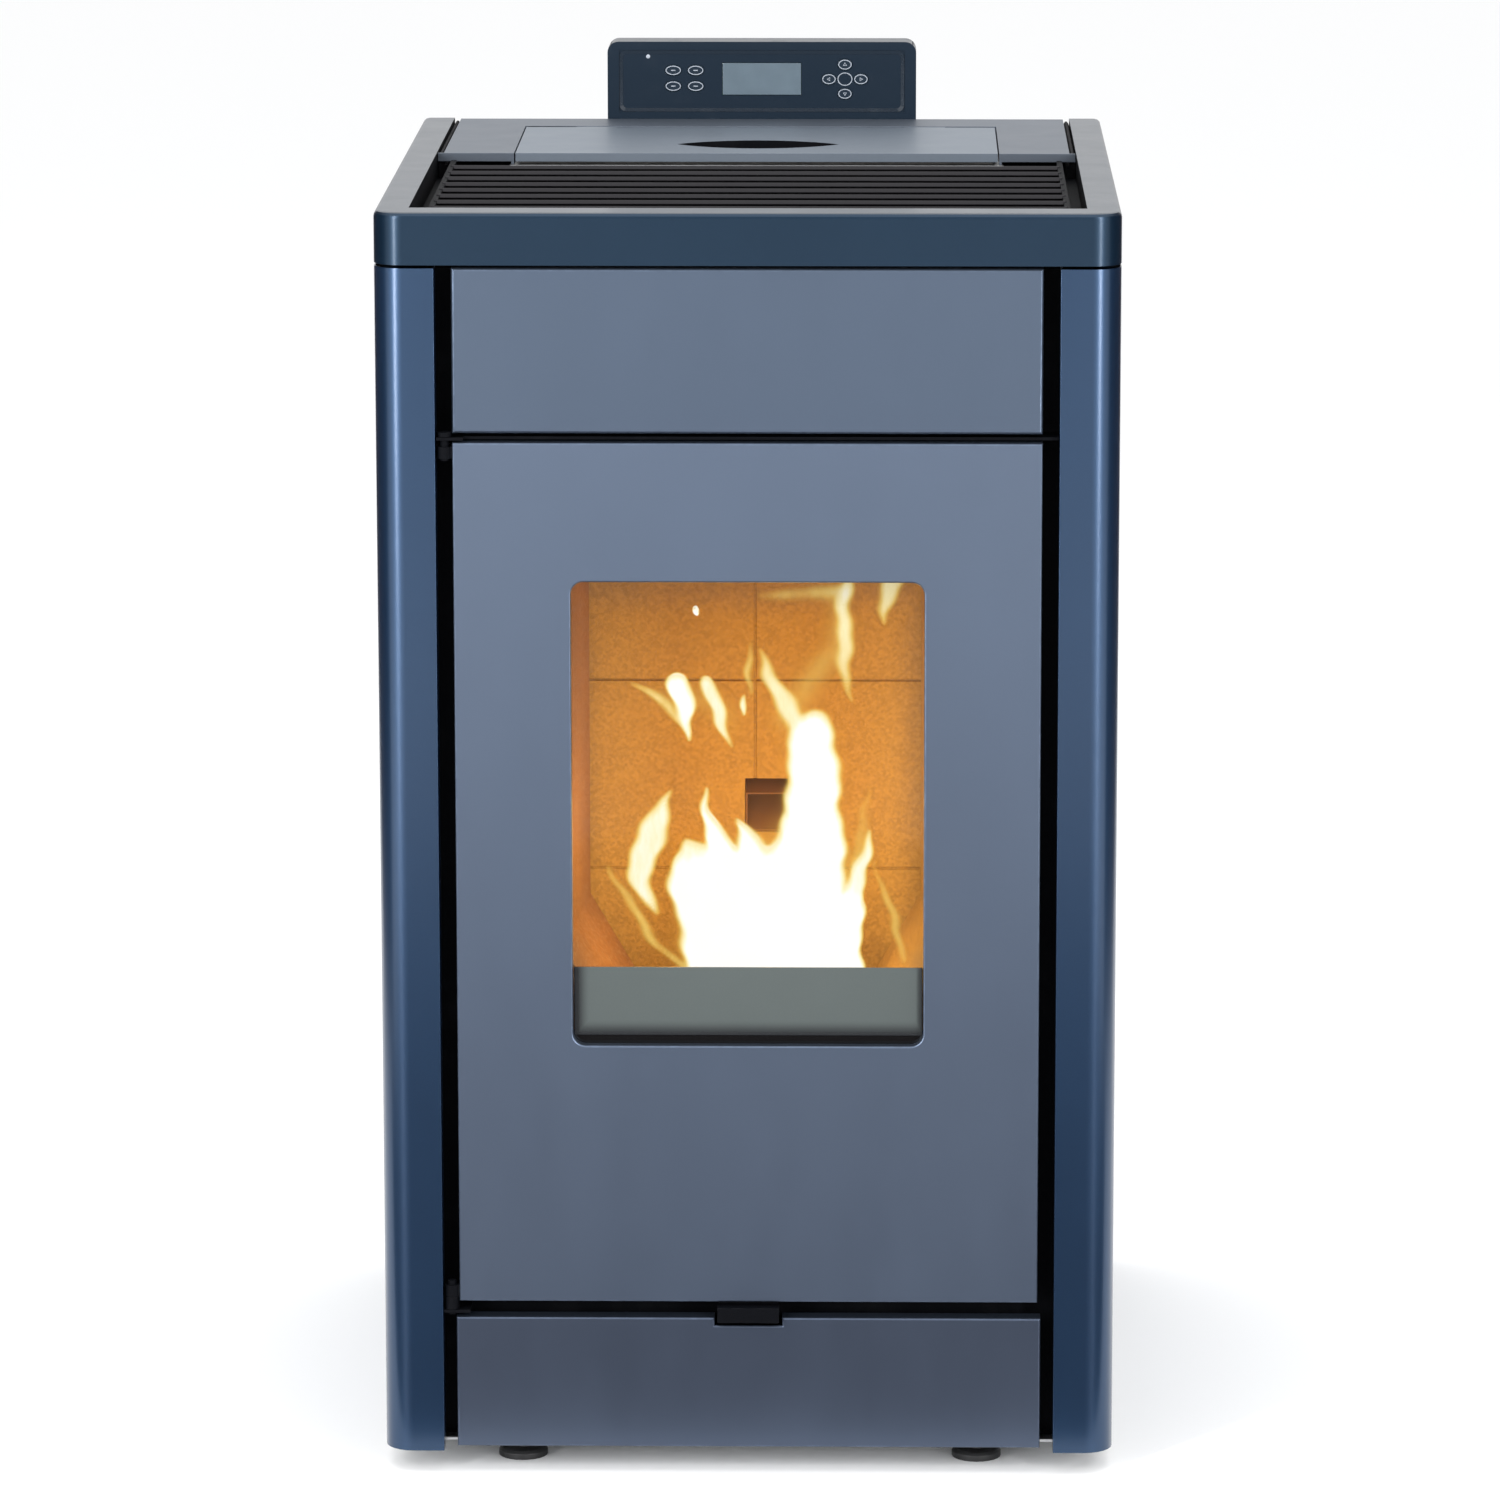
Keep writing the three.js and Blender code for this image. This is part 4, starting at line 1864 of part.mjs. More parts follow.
const airSystem = assembly(
  piece('exhaust_fan_housing', exhaustFanHousing(), BLACK_STEEL),
  piece('exhaust_impeller', exhaustImpeller(), STEEL),
  piece('exhaust_motor', exhaustMotor(), ZINC),
  piece('flue_outlet', flueOutlet(), BLACK_STEEL),
  piece('air_intake_pipe', airIntakePipe(), ZINC),
  piece('blower_housing', blowerHousing(), ZINC),
  piece('blower_wheel', blowerWheel(), STEEL),
);

const powerRocker = piece('power_switch', powerSwitch(), RED);
powerRocker.position.set(SOCKET_X, ROCKER_Y, ROCKER_Z);
powerRocker.rotation.x = THREE.MathUtils.degToRad(-ROCKER_TILT);

const electrics = assembly(
  piece('power_board', powerBoard(), CIRCUIT_GREEN),
  piece('power_socket', powerSocket(), BLACK_PLASTIC),
  powerRocker,
  piece('control_board', controlBoard(), CIRCUIT_GREEN),
  piece('control_housing', controlHousing(), NAVY),
  piece('display_window', displayWindow(), LCD),
);
ROUND_KEYS.forEach(({ x, z }, i) => {
  const mesh = piece(`key_${i + 1}`, key(KEY_WIDTH, KEY_HEIGHT), KEY_GREY);
  mesh.position.set(x, FACE_PLANE - KEY_PROUD, z);
  electrics.add(mesh);
});
for (const { side, x, z } of ARROW_KEYS) {
  const mesh = piece(`arrow_key_${side}`, key(ARROW_WIDTH, ARROW_HEIGHT), KEY_GREY);
  mesh.position.set(x, FACE_PLANE - KEY_PROUD, z);
  electrics.add(mesh);
}

const stove = assembly(casing, lid, fireDoor, ashTray, firebox, fuelFeed, airSystem, electrics);
stove.name = 'pellet_stove';

export default stove;
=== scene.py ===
"""Pellet stove: finishes, fine parts, fire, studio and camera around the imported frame.

Everything is in metres in the frame of the CAD model: front towards -Y, +Z up.
"""
import logging
import math
from collections.abc import Callable, Iterable, Sequence
from dataclasses import dataclass
from enum import Enum
from functools import lru_cache
from itertools import product

import bmesh
import bpy
import numpy as np
from mathutils import Matrix, Vector


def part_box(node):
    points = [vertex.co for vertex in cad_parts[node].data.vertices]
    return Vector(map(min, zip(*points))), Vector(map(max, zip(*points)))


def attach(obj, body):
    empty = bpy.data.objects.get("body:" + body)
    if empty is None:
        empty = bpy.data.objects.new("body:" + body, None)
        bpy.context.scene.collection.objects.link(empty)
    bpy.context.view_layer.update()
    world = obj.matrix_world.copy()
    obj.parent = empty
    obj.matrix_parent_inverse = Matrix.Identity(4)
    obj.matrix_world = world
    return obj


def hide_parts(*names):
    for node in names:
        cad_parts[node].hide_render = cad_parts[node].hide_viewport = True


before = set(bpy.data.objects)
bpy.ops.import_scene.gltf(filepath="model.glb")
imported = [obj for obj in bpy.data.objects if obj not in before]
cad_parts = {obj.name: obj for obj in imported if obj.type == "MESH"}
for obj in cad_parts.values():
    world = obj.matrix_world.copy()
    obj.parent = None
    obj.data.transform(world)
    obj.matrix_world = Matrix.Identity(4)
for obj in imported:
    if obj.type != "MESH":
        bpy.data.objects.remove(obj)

LOG = logging.getLogger("pellet_stove")
MM = 0.001
SEED = 7
SCATTER_WEIGHTS = (12.9, 78.2, 37.7)
SCATTER_SCALE = 43758.5
WELD = 1e-6  # nearer points are one
SHARP_ANGLE = math.radians(24)  # a corner that gets rounded
FLAT_ANGLE = math.radians(0.4)  # between faces that are one
SMOOTH_ANGLE = math.radians(32)  # a corner that is shaded as smooth

# Rounding of a piece's corners
FINE_EDGE = 0.2 * MM  # pins and circuit boards
THIN_EDGE = 0.25 * MM  # thin trim and wheels
SHEET_EDGE = 0.3 * MM  # cut sheet
PLAIN_EDGE = 0.4 * MM
SOLID_EDGE = 0.5 * MM  # glass, thick sheet and switches
THICK_EDGE = 0.6 * MM  # castings, fire boards and blocks
FOLD_RADIUS = 2.2 * MM  # outside of a fold
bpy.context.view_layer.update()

Colour = tuple[float, float, float]
Point = tuple[float, float, float]


def opaque(colour: Colour) -> tuple[float, float, float, float]:
    """The colour with full alpha."""
    return (*colour, 1.0)


def scaled(colour: Colour, factor: float) -> Colour:
    """The colour with each channel times factor."""
    return tuple(channel * factor for channel in colour)


# ---------- Node trees written as expressions ----------

def joined(operation: str, swapped: bool = False) -> Callable[["Wire", "Wire | float"], "Wire"]:
    """An operator's method, made of one Math node.

    Args:
        operation: what the node does.
        swapped: whether the other value comes first, as in 1 - mask.

    Returns:
        The method.
    """
    def method(wire: "Wire", other: "Wire | float") -> "Wire":
        """The two values joined."""
        pair = (other, wire) if swapped else (wire, other)
        return wire.tree.math(operation, *pair)

    return method


class Wire:
    """A node's output that Python's operators work on."""

    def __init__(self, tree: "Nodes", socket: bpy.types.NodeSocket) -> None:
        """Keeps the output socket and the tree that it belongs to."""
        self.tree = tree
        self.socket = socket

    __add__ = joined("ADD")
    __radd__ = joined("ADD", swapped=True)
    __sub__ = joined("SUBTRACT")
    __rsub__ = joined("SUBTRACT", swapped=True)
    __mul__ = joined("MULTIPLY")
    __rmul__ = joined("MULTIPLY", swapped=True)
    __truediv__ = joined("DIVIDE")
    __rtruediv__ = joined("DIVIDE", swapped=True)


class Nodes:
    """A node tree, with one method that makes any node."""

    def __init__(self, tree: bpy.types.NodeTree) -> None:
        """Keeps the tree that the nodes go into."""
        self.tree = tree

    def node(self, kind: str, settings: dict | None = None, sockets: dict | None = None,
             output: int | str = 0) -> Wire:
        """Makes a node.

        Args:
            kind: the node's type.
            settings: its properties, set first; "stops" fills a colour ramp.
            sockets: values or wires for its inputs, by name or index.
            output: the output to hand back.

        Returns:
            The chosen output.
        """
        made = self.tree.nodes.new(kind)
        for key, value in (settings or {}).items():
            if key == "stops":
                ramp = made.color_ramp
                while len(ramp.elements) < len(value):
                    ramp.elements.new(0.5)
                for element, (place, colour) in zip(ramp.elements, value):
                    element.position = place
                    element.color = opaque(colour)
            else:
                setattr(made, key, value)
        for key, value in (sockets or {}).items():
            if isinstance(value, Wire):
                self.tree.links.new(value.socket, made.inputs[key])
            elif value is not None:
                made.inputs[key].default_value = value
        return Wire(self, made.outputs[output]) if len(made.outputs) else Wire(self, None)

    def math(self, operation: str, first: "Wire | float", second: "Wire | float | None" = None) -> Wire:
        """One Math node."""
        return self.node("ShaderNodeMath", {"operation": operation}, {0: first, 1: second})

    def most(self, first: Wire, second: "Wire | float") -> Wire:
        """The larger of two values."""
        return self.math("MAXIMUM", first, second)

    def vector(self, operation: str, first: "Wire | Point", second: "Wire | Point | None" = None,
               scale: "Wire | float | None" = None) -> Wire:
        """One Vector Math node."""
        sockets = {0: first, 1: second}
        if scale is not None:
            sockets["Scale"] = scale
        return self.node("ShaderNodeVectorMath", {"operation": operation}, sockets)


class Shader(Nodes):
    """A material's tree."""

    def place(self) -> Wire:
        """The point in the object's own metres."""
        return self.node("ShaderNodeTexCoord", output="Object")

    def axes(self) -> tuple[Wire, Wire, Wire]:
        """The point's x, y and z."""
        place = self.place()
        return tuple(self.node("ShaderNodeSeparateXYZ", {}, {0: place}, axis) for axis in range(3))

    def attribute(self, name: str) -> Wire:
        """A number stored on the mesh."""
        return self.node("ShaderNodeAttribute", {"attribute_name": name}, output="Fac")

    def noise(self, scale: float, detail: float = 2.0, stretch: Point = (1, 1, 1),
              roughness: float = 0.5) -> Wire:
        """Soft noise, 0 to 1.

        Args:
            scale: lumps per metre.
            detail: octaves.
            stretch: how much finer it is along each axis.
            roughness: how strong the finer octaves are.

        Returns:
            The noise value.
        """
        place = self.vector("MULTIPLY", self.place(), stretch)
        sockets = {"Vector": place, "Scale": scale, "Detail": detail, "Roughness": roughness}
        return self.node("ShaderNodeTexNoise", {}, sockets)

    def cells(self, scale: float, output: str = "Distance") -> Wire:
        """Voronoi cells: the distance to their middle, or their own colour."""
        return self.node("ShaderNodeTexVoronoi", {}, {"Vector": self.place(), "Scale": scale}, output)

    def flakes(self, scale: float) -> Wire:
        """Cells that each have a number of their own."""
        return self.node("ShaderNodeSeparateColor", {}, {0: self.cells(scale, "Color")})

    def step(self, value: Wire, low: float, high: float) -> Wire:
        """A smooth step that runs from 0 at low to 1 at high."""
        sockets = {"Value": value, "From Min": low, "From Max": high}
        return self.node("ShaderNodeMapRange", {"interpolation_type": "SMOOTHSTEP"}, sockets)

    def blend(self, factor: Wire, first: "Wire | Colour", second: "Wire | Colour") -> Wire:
        """A colour between two colours."""
        pair = [value if isinstance(value, Wire) else opaque(value) for value in (first, second)]
        return self.node("ShaderNodeMix", {"data_type": "RGBA"}, {0: factor, 6: pair[0], 7: pair[1]}, 2)

    def shades(self, factor: Wire, colour: Colour, dark: float, light: float) -> Wire:
        """A colour between its own darker and lighter shades."""
        return self.blend(factor, scaled(colour, dark), scaled(colour, light))

    def ramp(self, factor: Wire, stops: Sequence[tuple[float, Colour]]) -> Wire:
        """A colour read off a ramp."""
        return self.node("ShaderNodeValToRGB", {"stops": stops}, {0: factor})

    def bump(self, height: Wire, depth: float) -> Wire:
        """A normal from a height, depth metres deep."""
        return self.node("ShaderNodeBump", {}, {"Height": height, "Distance": depth, "Strength": 1.0})

    def surface(self, **sockets: object) -> None:
        """Ends the tree in a Principled shader; names have _ for a space."""
        named = {key.replace("_", " "): value for key, value in sockets.items()}
        for key, value in named.items():
            if isinstance(value, tuple) and len(value) == 3:
                named[key] = opaque(value)
        shader = self.node("ShaderNodeBsdfPrincipled", {}, named)
        self.node("ShaderNodeOutputMaterial", {}, {"Surface": shader})


# ---------- Finishes ----------

@dataclass(frozen=True)
class Finish:
    """A finish by name; each kind paints its own material."""

    name: str

    def paint(self, shader: Shader) -> None:
        """Fills the material's tree."""
        raise NotImplementedError

    def material(self) -> bpy.types.Material:
        """The material, made once."""
        return made_material(self)


@lru_cache(maxsize=None)
def made_material(finish: Finish) -> bpy.types.Material:
    """Builds the material of a finish.

    Args:
        finish: what it looks like.

    Returns:
        The new material.
    """
    material = bpy.data.materials.new(finish.name)
    material.use_nodes = True
    material.node_tree.nodes.clear()
    finish.paint(Shader(material.node_tree))
    return material


@dataclass(frozen=True)
class SatinPaint(Finish):
    """Baked satin paint with fine metal flecks, a soft grain and rubbed edges."""

    colour: Colour = (0.1, 0.1, 0.1)
    metallic: float = 0.45
    roughness: float = 0.42
    fleck: float = 0.16
    coat: float = 0.12

    def paint(self, shader: Shader) -> None:
        """Flecks and clouds in the colour, orange peel in the bump."""
        cloud = shader.noise(7, 4)
        fleck = shader.noise(1900, 1)
        smear = shader.noise(26, 5, (1, 1, 0.35), 0.6)
        rubbed = shader.attribute("edge") * shader.step(shader.noise(90, 4), 0.42, 0.62)
        tone = cloud * 0.35 + fleck * 0.65
        base = shader.shades(tone, self.colour, 1 - self.fleck, 1 + self.fleck)
        base = shader.blend(rubbed * 0.3, base, scaled(self.colour, 1.7))
        rough = smear * 0.1 + fleck * 0.08 + (self.roughness - 0.09) - rubbed * 0.06
        peel = shader.noise(420, 3) * 0.7 + fleck * 0.3
        shader.surface(Base_Color=base, Metallic=self.metallic, Roughness=rough,
                       Coat_Weight=self.coat, Coat_Roughness=0.22, Normal=shader.bump(peel, 0.00003))


@dataclass(frozen=True)
class BareMetal(Finish):
    """Rolled or brushed sheet: spangle, fine lines along one axis, a few scratches."""

    colour: Colour = (0.55, 0.56, 0.57)
    roughness: float = 0.34
    spangle: float = 0.25
    lines: Point = (1, 1, 0.02)
    metallic: float = 0.95

    def paint(self, shader: Shader) -> None:
        """Zinc flowers under fine rolling lines."""
        flowers = shader.flakes(120)
        rolling = shader.noise(2600, 2, self.lines)
        stain = shader.noise(22, 5, roughness=0.62)
        worn = shader.attribute("edge") * 0.5
        tone = flowers * self.spangle + rolling * (0.5 - self.spangle / 2) + stain * 0.35
        base = shader.shades(tone, self.colour, 0.72, 1.16)
        base = shader.blend(worn, base, scaled(self.colour, 1.3))
        rough = tone * 0.22 + (self.roughness - 0.1)
        shader.surface(Base_Color=base, Metallic=self.metallic, Roughness=rough,
                       Normal=shader.bump(rolling * 0.6 + stain * 0.4, 0.00004))


@dataclass(frozen=True)
class CastIron(Finish):
    """Sand-cast iron in stove black: pitted, dull, greyer where it is rubbed."""

    colour: Colour = (0.022, 0.022, 0.024)
    ash: float = 0.25

    def paint(self, shader: Shader) -> None:
        """Sand grain and a veil of ash."""
        sand = shader.noise(900, 3, roughness=0.65)
        pits = shader.step(shader.cells(380), 0.05, 0.35)
        veil = shader.step(shader.noise(30, 5, roughness=0.7), 0.45, 0.75)
        worn = shader.attribute("edge")
        base = shader.shades(sand, self.colour, 0.7, 1.6)
        base = shader.blend(veil * self.ash, base, (0.2, 0.18, 0.16))
        base = shader.blend(worn * 0.35, base, (0.11, 0.11, 0.115))
        shader.surface(Base_Color=base, Metallic=0.35, Roughness=sand * 0.2 + 0.5,
                       Normal=shader.bump(sand * 0.6 + pits * 0.4, 0.0001))


@dataclass(frozen=True)
class PowderBlack(Finish):
    """Dark powder coat on steel: a fine leather-like texture."""

    colour: Colour = (0.016, 0.017, 0.02)
    roughness: float = 0.5
    shine: float = 0.5

    def paint(self, shader: Shader) -> None:
        """Fine texture with faint dust."""
        texture = shader.cells(1300)
        dust = shader.step(shader.noise(18, 5, roughness=0.66), 0.5, 0.78)
        worn = shader.attribute("edge") * shader.step(shader.noise(120, 3), 0.4, 0.6)
        base = shader.shades(texture, self.colour, 1.35, 0.75)
        base = shader.blend(dust * (0.24 * self.shine), base, (0.2, 0.2, 0.21))
        base = shader.blend(worn * (0.8 * self.shine), base, (0.13, 0.13, 0.14))
        shader.surface(Base_Color=base, Metallic=0.2, Roughness=texture * 0.15 + self.roughness,
                       Specular_IOR_Level=self.shine,
                       Normal=shader.bump(texture, 0.00005))


@dataclass(frozen=True)
class FireBoard(Finish):
    """Pressed vermiculite board: golden flakes in a sandy ground, sooty low down."""

    ground: Colour = (0.42, 0.25, 0.055)
    speckle: float = 0.0

    def paint(self, shader: Shader) -> None:
        """Flakes, fine grit, and soot that thins out upwards."""
        flakes = shader.flakes(520)
        grit = shader.noise(1500, 2)
        mottle = shader.noise(38, 5, roughness=0.6)
        height = shader.axes()[2]
        soot = shader.step(height + mottle * 0.16, 0.42, 0.27) * 0.45
        tone = flakes * 0.45 + grit * 0.25 + mottle * 0.3
        base = shader.shades(tone, self.ground, 0.62, 1.3)
        base = shader.blend(soot, base, (0.09, 0.05, 0.03))
        spots = shader.step(shader.noise(330, 3, roughness=0.7), 0.5, 0.72) * self.speckle
        base = shader.blend(spots, base, (0.75, 0.6, 0.36))
        shader.surface(Base_Color=base, Roughness=grit * 0.15 + 0.78,
                       Normal=shader.bump(flakes * 0.5 + grit * 0.5, 0.0004))


@dataclass(frozen=True)
class Moulded(Finish):
    """Moulded plastic with a spark-eroded grain."""

    colour: Colour = (0.02, 0.02, 0.02)
    roughness: float = 0.38
    grain: float = 1700
    metallic: float = 0.0
    coat: float = 0.0
    shine: float = 0.5

    def paint(self, shader: Shader) -> None:
        """Eroded grain and faint handling marks."""
        grain = shader.noise(self.grain, 2)
        marks = shader.step(shader.noise(45, 5, roughness=0.7), 0.5, 0.8)
        base = shader.shades(grain, self.colour, 0.82, 1.22)
        base = shader.blend(shader.attribute("edge") * 0.25, base, scaled(self.colour, 2.2))
        rough = grain * 0.1 + marks * 0.12 + (self.roughness - 0.05)
        shader.surface(Base_Color=base, Metallic=self.metallic, Roughness=rough, Coat_Weight=self.coat,
                       Specular_IOR_Level=self.shine, Coat_Roughness=0.12,
                       Normal=shader.bump(grain, 0.00002))


@dataclass(frozen=True)
class Rope(Finish):
    """Glass-fibre rope, dark grey with paler broken fibres."""

    colour: Colour = (0.07, 0.068, 0.066)

    def paint(self, shader: Shader) -> None:
        """Fibres finer than the strands."""
        fibre = shader.noise(2600, 3, (1, 1, 1), 0.7)
        soot = shader.noise(40, 4)
        base = shader.shades(fibre, self.colour, 0.45, 2.4)
        base = shader.blend(shader.step(soot, 0.4, 0.7) * 0.5, base, (0.02, 0.019, 0.018))
        shader.surface(Base_Color=base, Roughness=fibre * 0.1 + 0.85, Normal=shader.bump(fibre, 0.0002))


@dataclass(frozen=True)
class StoveGlass(Finish):
    """Ceramic glass: clear, faintly smoked towards the frame."""

    clear: float = 0.075
    half: Point = (0.119, 0.0, 0.16)
    middle: Point = (0.0, 0.0, 0.461)
    print_top: float = 0.3095

    def paint(self, shader: Shader) -> None:
        """A thin haze that thickens at the edges, and a black printed foot."""
        across, _, up = shader.axes()
        side = shader.math("ABSOLUTE", across - self.middle[0]) / self.half[0]
        level = shader.math("ABSOLUTE", up - self.middle[2]) / self.half[2]
        border = shader.step(shader.most(side, level), 0.8, 1.02)
        haze = shader.noise(24, 5, roughness=0.65)
        printed = shader.step(up, self.print_top + 0.0002, self.print_top)
        alpha = shader.most(border * 0.16 + haze * 0.04 + self.clear, printed)
        tint = shader.blend(haze, (0.012, 0.009, 0.007), (0.035, 0.028, 0.022))
        tint = shader.blend(printed, tint, (0.004, 0.004, 0.004))
        shader.surface(Base_Color=tint, Roughness=haze * 0.05 + 0.03, Alpha=alpha)


@dataclass(frozen=True)
class PrintedBand(Finish):
    """Grey band printed behind the foot of the glass, with painted shade darkening it towards its edges, where
    the window's recess shades it.
    """

    colour: Colour = (0.066, 0.079, 0.077)
    half: float = 0.1183
    low: float = 0.3074
    high: float = 0.3548

    def paint(self, shader: Shader) -> None:
        """A soft painted shade from the window's recess, strongest at the left and the foot."""
        across, _, up = shader.axes()
        left = shader.step(across, -self.half + 0.011, -self.half)
        right = shader.step(across, self.half - 0.005, self.half)
        foot = shader.step(up, self.low + 0.011, self.low)
        grain = shader.noise(700, 3)
        cloud = shader.noise(20, 3)
        # Painted shade: the band goes near-black towards the left, right and foot, where the window's recess
        # shades it.
        shade = shader.most(shader.most(left * 0.97, right * 0.8), foot * 0.9)
        base = shader.shades(grain * 0.5 + cloud * 0.5, self.colour, 0.9, 1.1)
        base = shader.blend(shade, base, (0.006, 0.007, 0.009))
        shader.surface(Base_Color=base, Roughness=grain * 0.06 + 0.2, Coat_Weight=0.6,
                       Coat_Roughness=0.06, Normal=shader.bump(grain, 0.00001))


@dataclass(frozen=True)
class LcdPane(Finish):
    """Unlit grey-blue liquid-crystal display with its fine dot grid."""

    colour: Colour = (0.118, 0.16, 0.195)
    dots: float = 9000.0

    def paint(self, shader: Shader) -> None:
        """A dot grid, fainter than the clouding of the film."""
        across, _, up = shader.axes()
        columns = shader.math("SINE", across * self.dots)
        rows = shader.math("SINE", up * self.dots)
        grid = shader.step(shader.most(columns, rows), 0.82, 1.0)
        film = shader.noise(70, 3)
        base = shader.shades(film, self.colour, 0.86, 1.12)
        base = shader.blend(grid * 0.12, base, scaled(self.colour, 0.5))
        shader.surface(Base_Color=base, Roughness=film * 0.05 + 0.16, Coat_Weight=0.7,
                       Coat_Roughness=0.05, Normal=shader.bump(grid, 0.00001))


@dataclass(frozen=True)
class CircuitBoard(Finish):
    """Green solder mask over copper tracks."""

    mask: Colour = (0.012, 0.09, 0.035)

    def paint(self, shader: Shader) -> None:
        """Straight tracks between pads."""
        lanes = shader.node("ShaderNodeTexBrick", {"offset": 0.37}, {
            "Vector": shader.place(), "Scale": 160.0,
            "Mortar Size": 0.035, "Color1": opaque((0, 0, 0)), "Color2": opaque((0, 0, 0)),
            "Mortar": opaque((1, 1, 1))})
        pads = shader.step(shader.cells(260), 0.16, 0.12)
        grain = shader.noise(500, 3)
        base = shader.shades(grain, self.mask, 0.75, 1.3)
        base = shader.blend(lanes, base, scaled(self.mask, 2.3))
        base = shader.blend(pads, base, (0.4, 0.38, 0.3))
        shader.surface(Base_Color=base, Metallic=pads * 0.7, Roughness=grain * 0.1 + 0.32,
                       Normal=shader.bump(grain, 0.00004))


@dataclass(frozen=True)
class Flame(Finish):
    """Burning gas: white inside, yellow, then orange where it thins out."""

    strength: float = 1.3
    density: float = 1.0
    low: float = 0.01
    high: float = 0.7

    def paint(self, shader: Shader) -> None:
        """Colour and alpha from how deep inside the tongue a point lies."""
        core = shader.attribute("core")
        lick = shader.noise(40, 5, (1.8, 1, 0.45), 0.62)
        heat = core * ((lick - 0.5) * 0.9 + 1.0)
        colour = shader.ramp(heat, [(0.08, (0.75, 0.4, 0.05)), (0.3, (0.88, 0.64, 0.15)),
                                    (0.55, (0.97, 0.86, 0.5)), (0.82, (1.0, 0.99, 0.93))])
        alpha = shader.step(heat, self.low, self.high) * self.density
        shader.surface(Base_Color=(0.0, 0.0, 0.0), Roughness=lick * 0.1 + 0.9, Specular_IOR_Level=0.0,
                       Emission_Color=colour, Emission_Strength=self.strength, Alpha=alpha)


@dataclass(frozen=True)
class Ember(Finish):
    """Pressed wood pellets, charring and glowing in patches."""

    glow: float = 3.0
    char: Colour = (0.05, 0.028, 0.016)

    def paint(self, shader: Shader) -> None:
        """Cracked char over hot wood."""
        heat = shader.step(shader.noise(55, 4, roughness=0.65), 0.38, 0.66)
        crack = shader.cells(700)
        base = shader.blend(crack, self.char, scaled(self.char, 3.0))
        glow = shader.blend(heat, (0.02, 0.002, 0.0), (0.9, 0.28, 0.03))
        shader.surface(Base_Color=base, Roughness=crack * 0.1 + 0.85, Emission_Color=glow,
                       Emission_Strength=self.glow, Normal=shader.bump(crack, 0.0004))


@dataclass(frozen=True)
class Print(Finish):
    """Screen-printed ink, slightly thin in places."""

    colour: Colour = (0.42, 0.46, 0.52)

    def paint(self, shader: Shader) -> None:
        """Uneven ink."""
        ink = shader.noise(2200, 3)
        base = shader.shades(ink, self.colour, 0.75, 1.12)
        shader.surface(Base_Color=base, Roughness=ink * 0.15 + 0.4, Normal=shader.bump(ink, 0.00001))


@dataclass(frozen=True)
class StudioFloor(Finish):
    """Seamless white paper."""

    colour: Colour = (0.93, 0.935, 0.94)

    def paint(self, shader: Shader) -> None:
        """Faint fibre."""
        fibre = shader.noise(240, 3)
        base = shader.blend(fibre, scaled(self.colour, 0.985), self.colour)
        shader.surface(Base_Color=base, Roughness=fibre * 0.1 + 0.8, Specular_IOR_Level=0.2,
                       Normal=shader.bump(fibre, 0.00005))


class Look(Enum):
    """The stove's finishes, by the slot that each one fills."""

    slate_paint = SatinPaint("slate_paint", (0.012, 0.043, 0.102), 0.8, 0.32, 0.14, 0.8)
    rim_paint = SatinPaint("rim_paint", (0.004, 0.022, 0.048), 0.7, 0.34, 0.14, 0.3)
    panel_paint = SatinPaint("panel_paint", (0.090, 0.119, 0.170), 0.88, 0.4, 0.08, 0.1)
    door_paint = SatinPaint("door_paint", (0.112, 0.145, 0.206), 0.86, 0.4, 0.08, 0.1)
    # The drawer front's paint is a darker copy of the front paint: painted shade for the darker foot of the
    # stove.
    drawer_paint = SatinPaint("drawer_paint", (0.081, 0.103, 0.150), 0.88, 0.4, 0.08, 0.1)
    top_paint = SatinPaint("top_paint", (0.165, 0.197, 0.240), 0.6, 0.46, 0.08, 0.05)
    plate_paint = SatinPaint("plate_paint", (0.110, 0.130, 0.162), 0.6, 0.46, 0.08, 0.05)
    charcoal_metal = SatinPaint("charcoal_metal", (0.014, 0.013, 0.016), 0.5, 0.42, 0.2, 0.12)
    black_steel = PowderBlack("black_steel")
    # Near-black, far darker than any real paint: painted shadow for the gaps, recesses and inner walls where
    # shade falls, and for the hinge pins and lever that sit in those gaps.
    shadow_steel = PowderBlack("shadow_steel", (0.0016, 0.002, 0.0035), 0.6, 0.1)
    cast_iron = CastIron("cast_iron")
    zinc = BareMetal("zinc")
    steel = BareMetal("steel", (0.48, 0.48, 0.49), 0.3, 0.05, (0.03, 1, 1))
    heated_steel = PowderBlack("heated_steel", (0.2, 0.1, 0.04), 0.6, 0.15)
    fire_board = FireBoard("fire_board")
    rough_board = FireBoard("rough_board", (0.33, 0.15, 0.045), 0.34)
    rope = Rope("rope")
    glass = StoveGlass("glass")
    band = PrintedBand("band")
    navy_plastic = Moulded("navy_plastic", (0.008, 0.017, 0.030), 0.3, 2400, 0.0, 0.12, 0.2)
    gloss_navy = Moulded("gloss_navy", (0.012, 0.022, 0.036), 0.16, 2400, 0.3, 0.6, 0.6)
    black_plastic = Moulded("black_plastic", (0.014, 0.014, 0.015), 0.45)
    display = LcdPane("display")
    key_plastic = Moulded("key_plastic", (0.012, 0.022, 0.036), 0.34, 2400, 0.0, 0.0, 0.2)
    circuit_board = CircuitBoard("circuit_board")
    red_plastic = Moulded("red_plastic", (0.32, 0.012, 0.01), 0.3)
    ink = Print("ink")
    flame = Flame("flame")
    # Near-black rubber for the lips in the plate's edge gaps: painted shadow.
    seal_rubber = Moulded("seal_rubber", (0.006, 0.006, 0.008), 0.75, 1400, 0.0, 0.0, 0.15)
    ember = Ember("ember")


# ---------- The bench: meshes, edges and repeated parts ----------

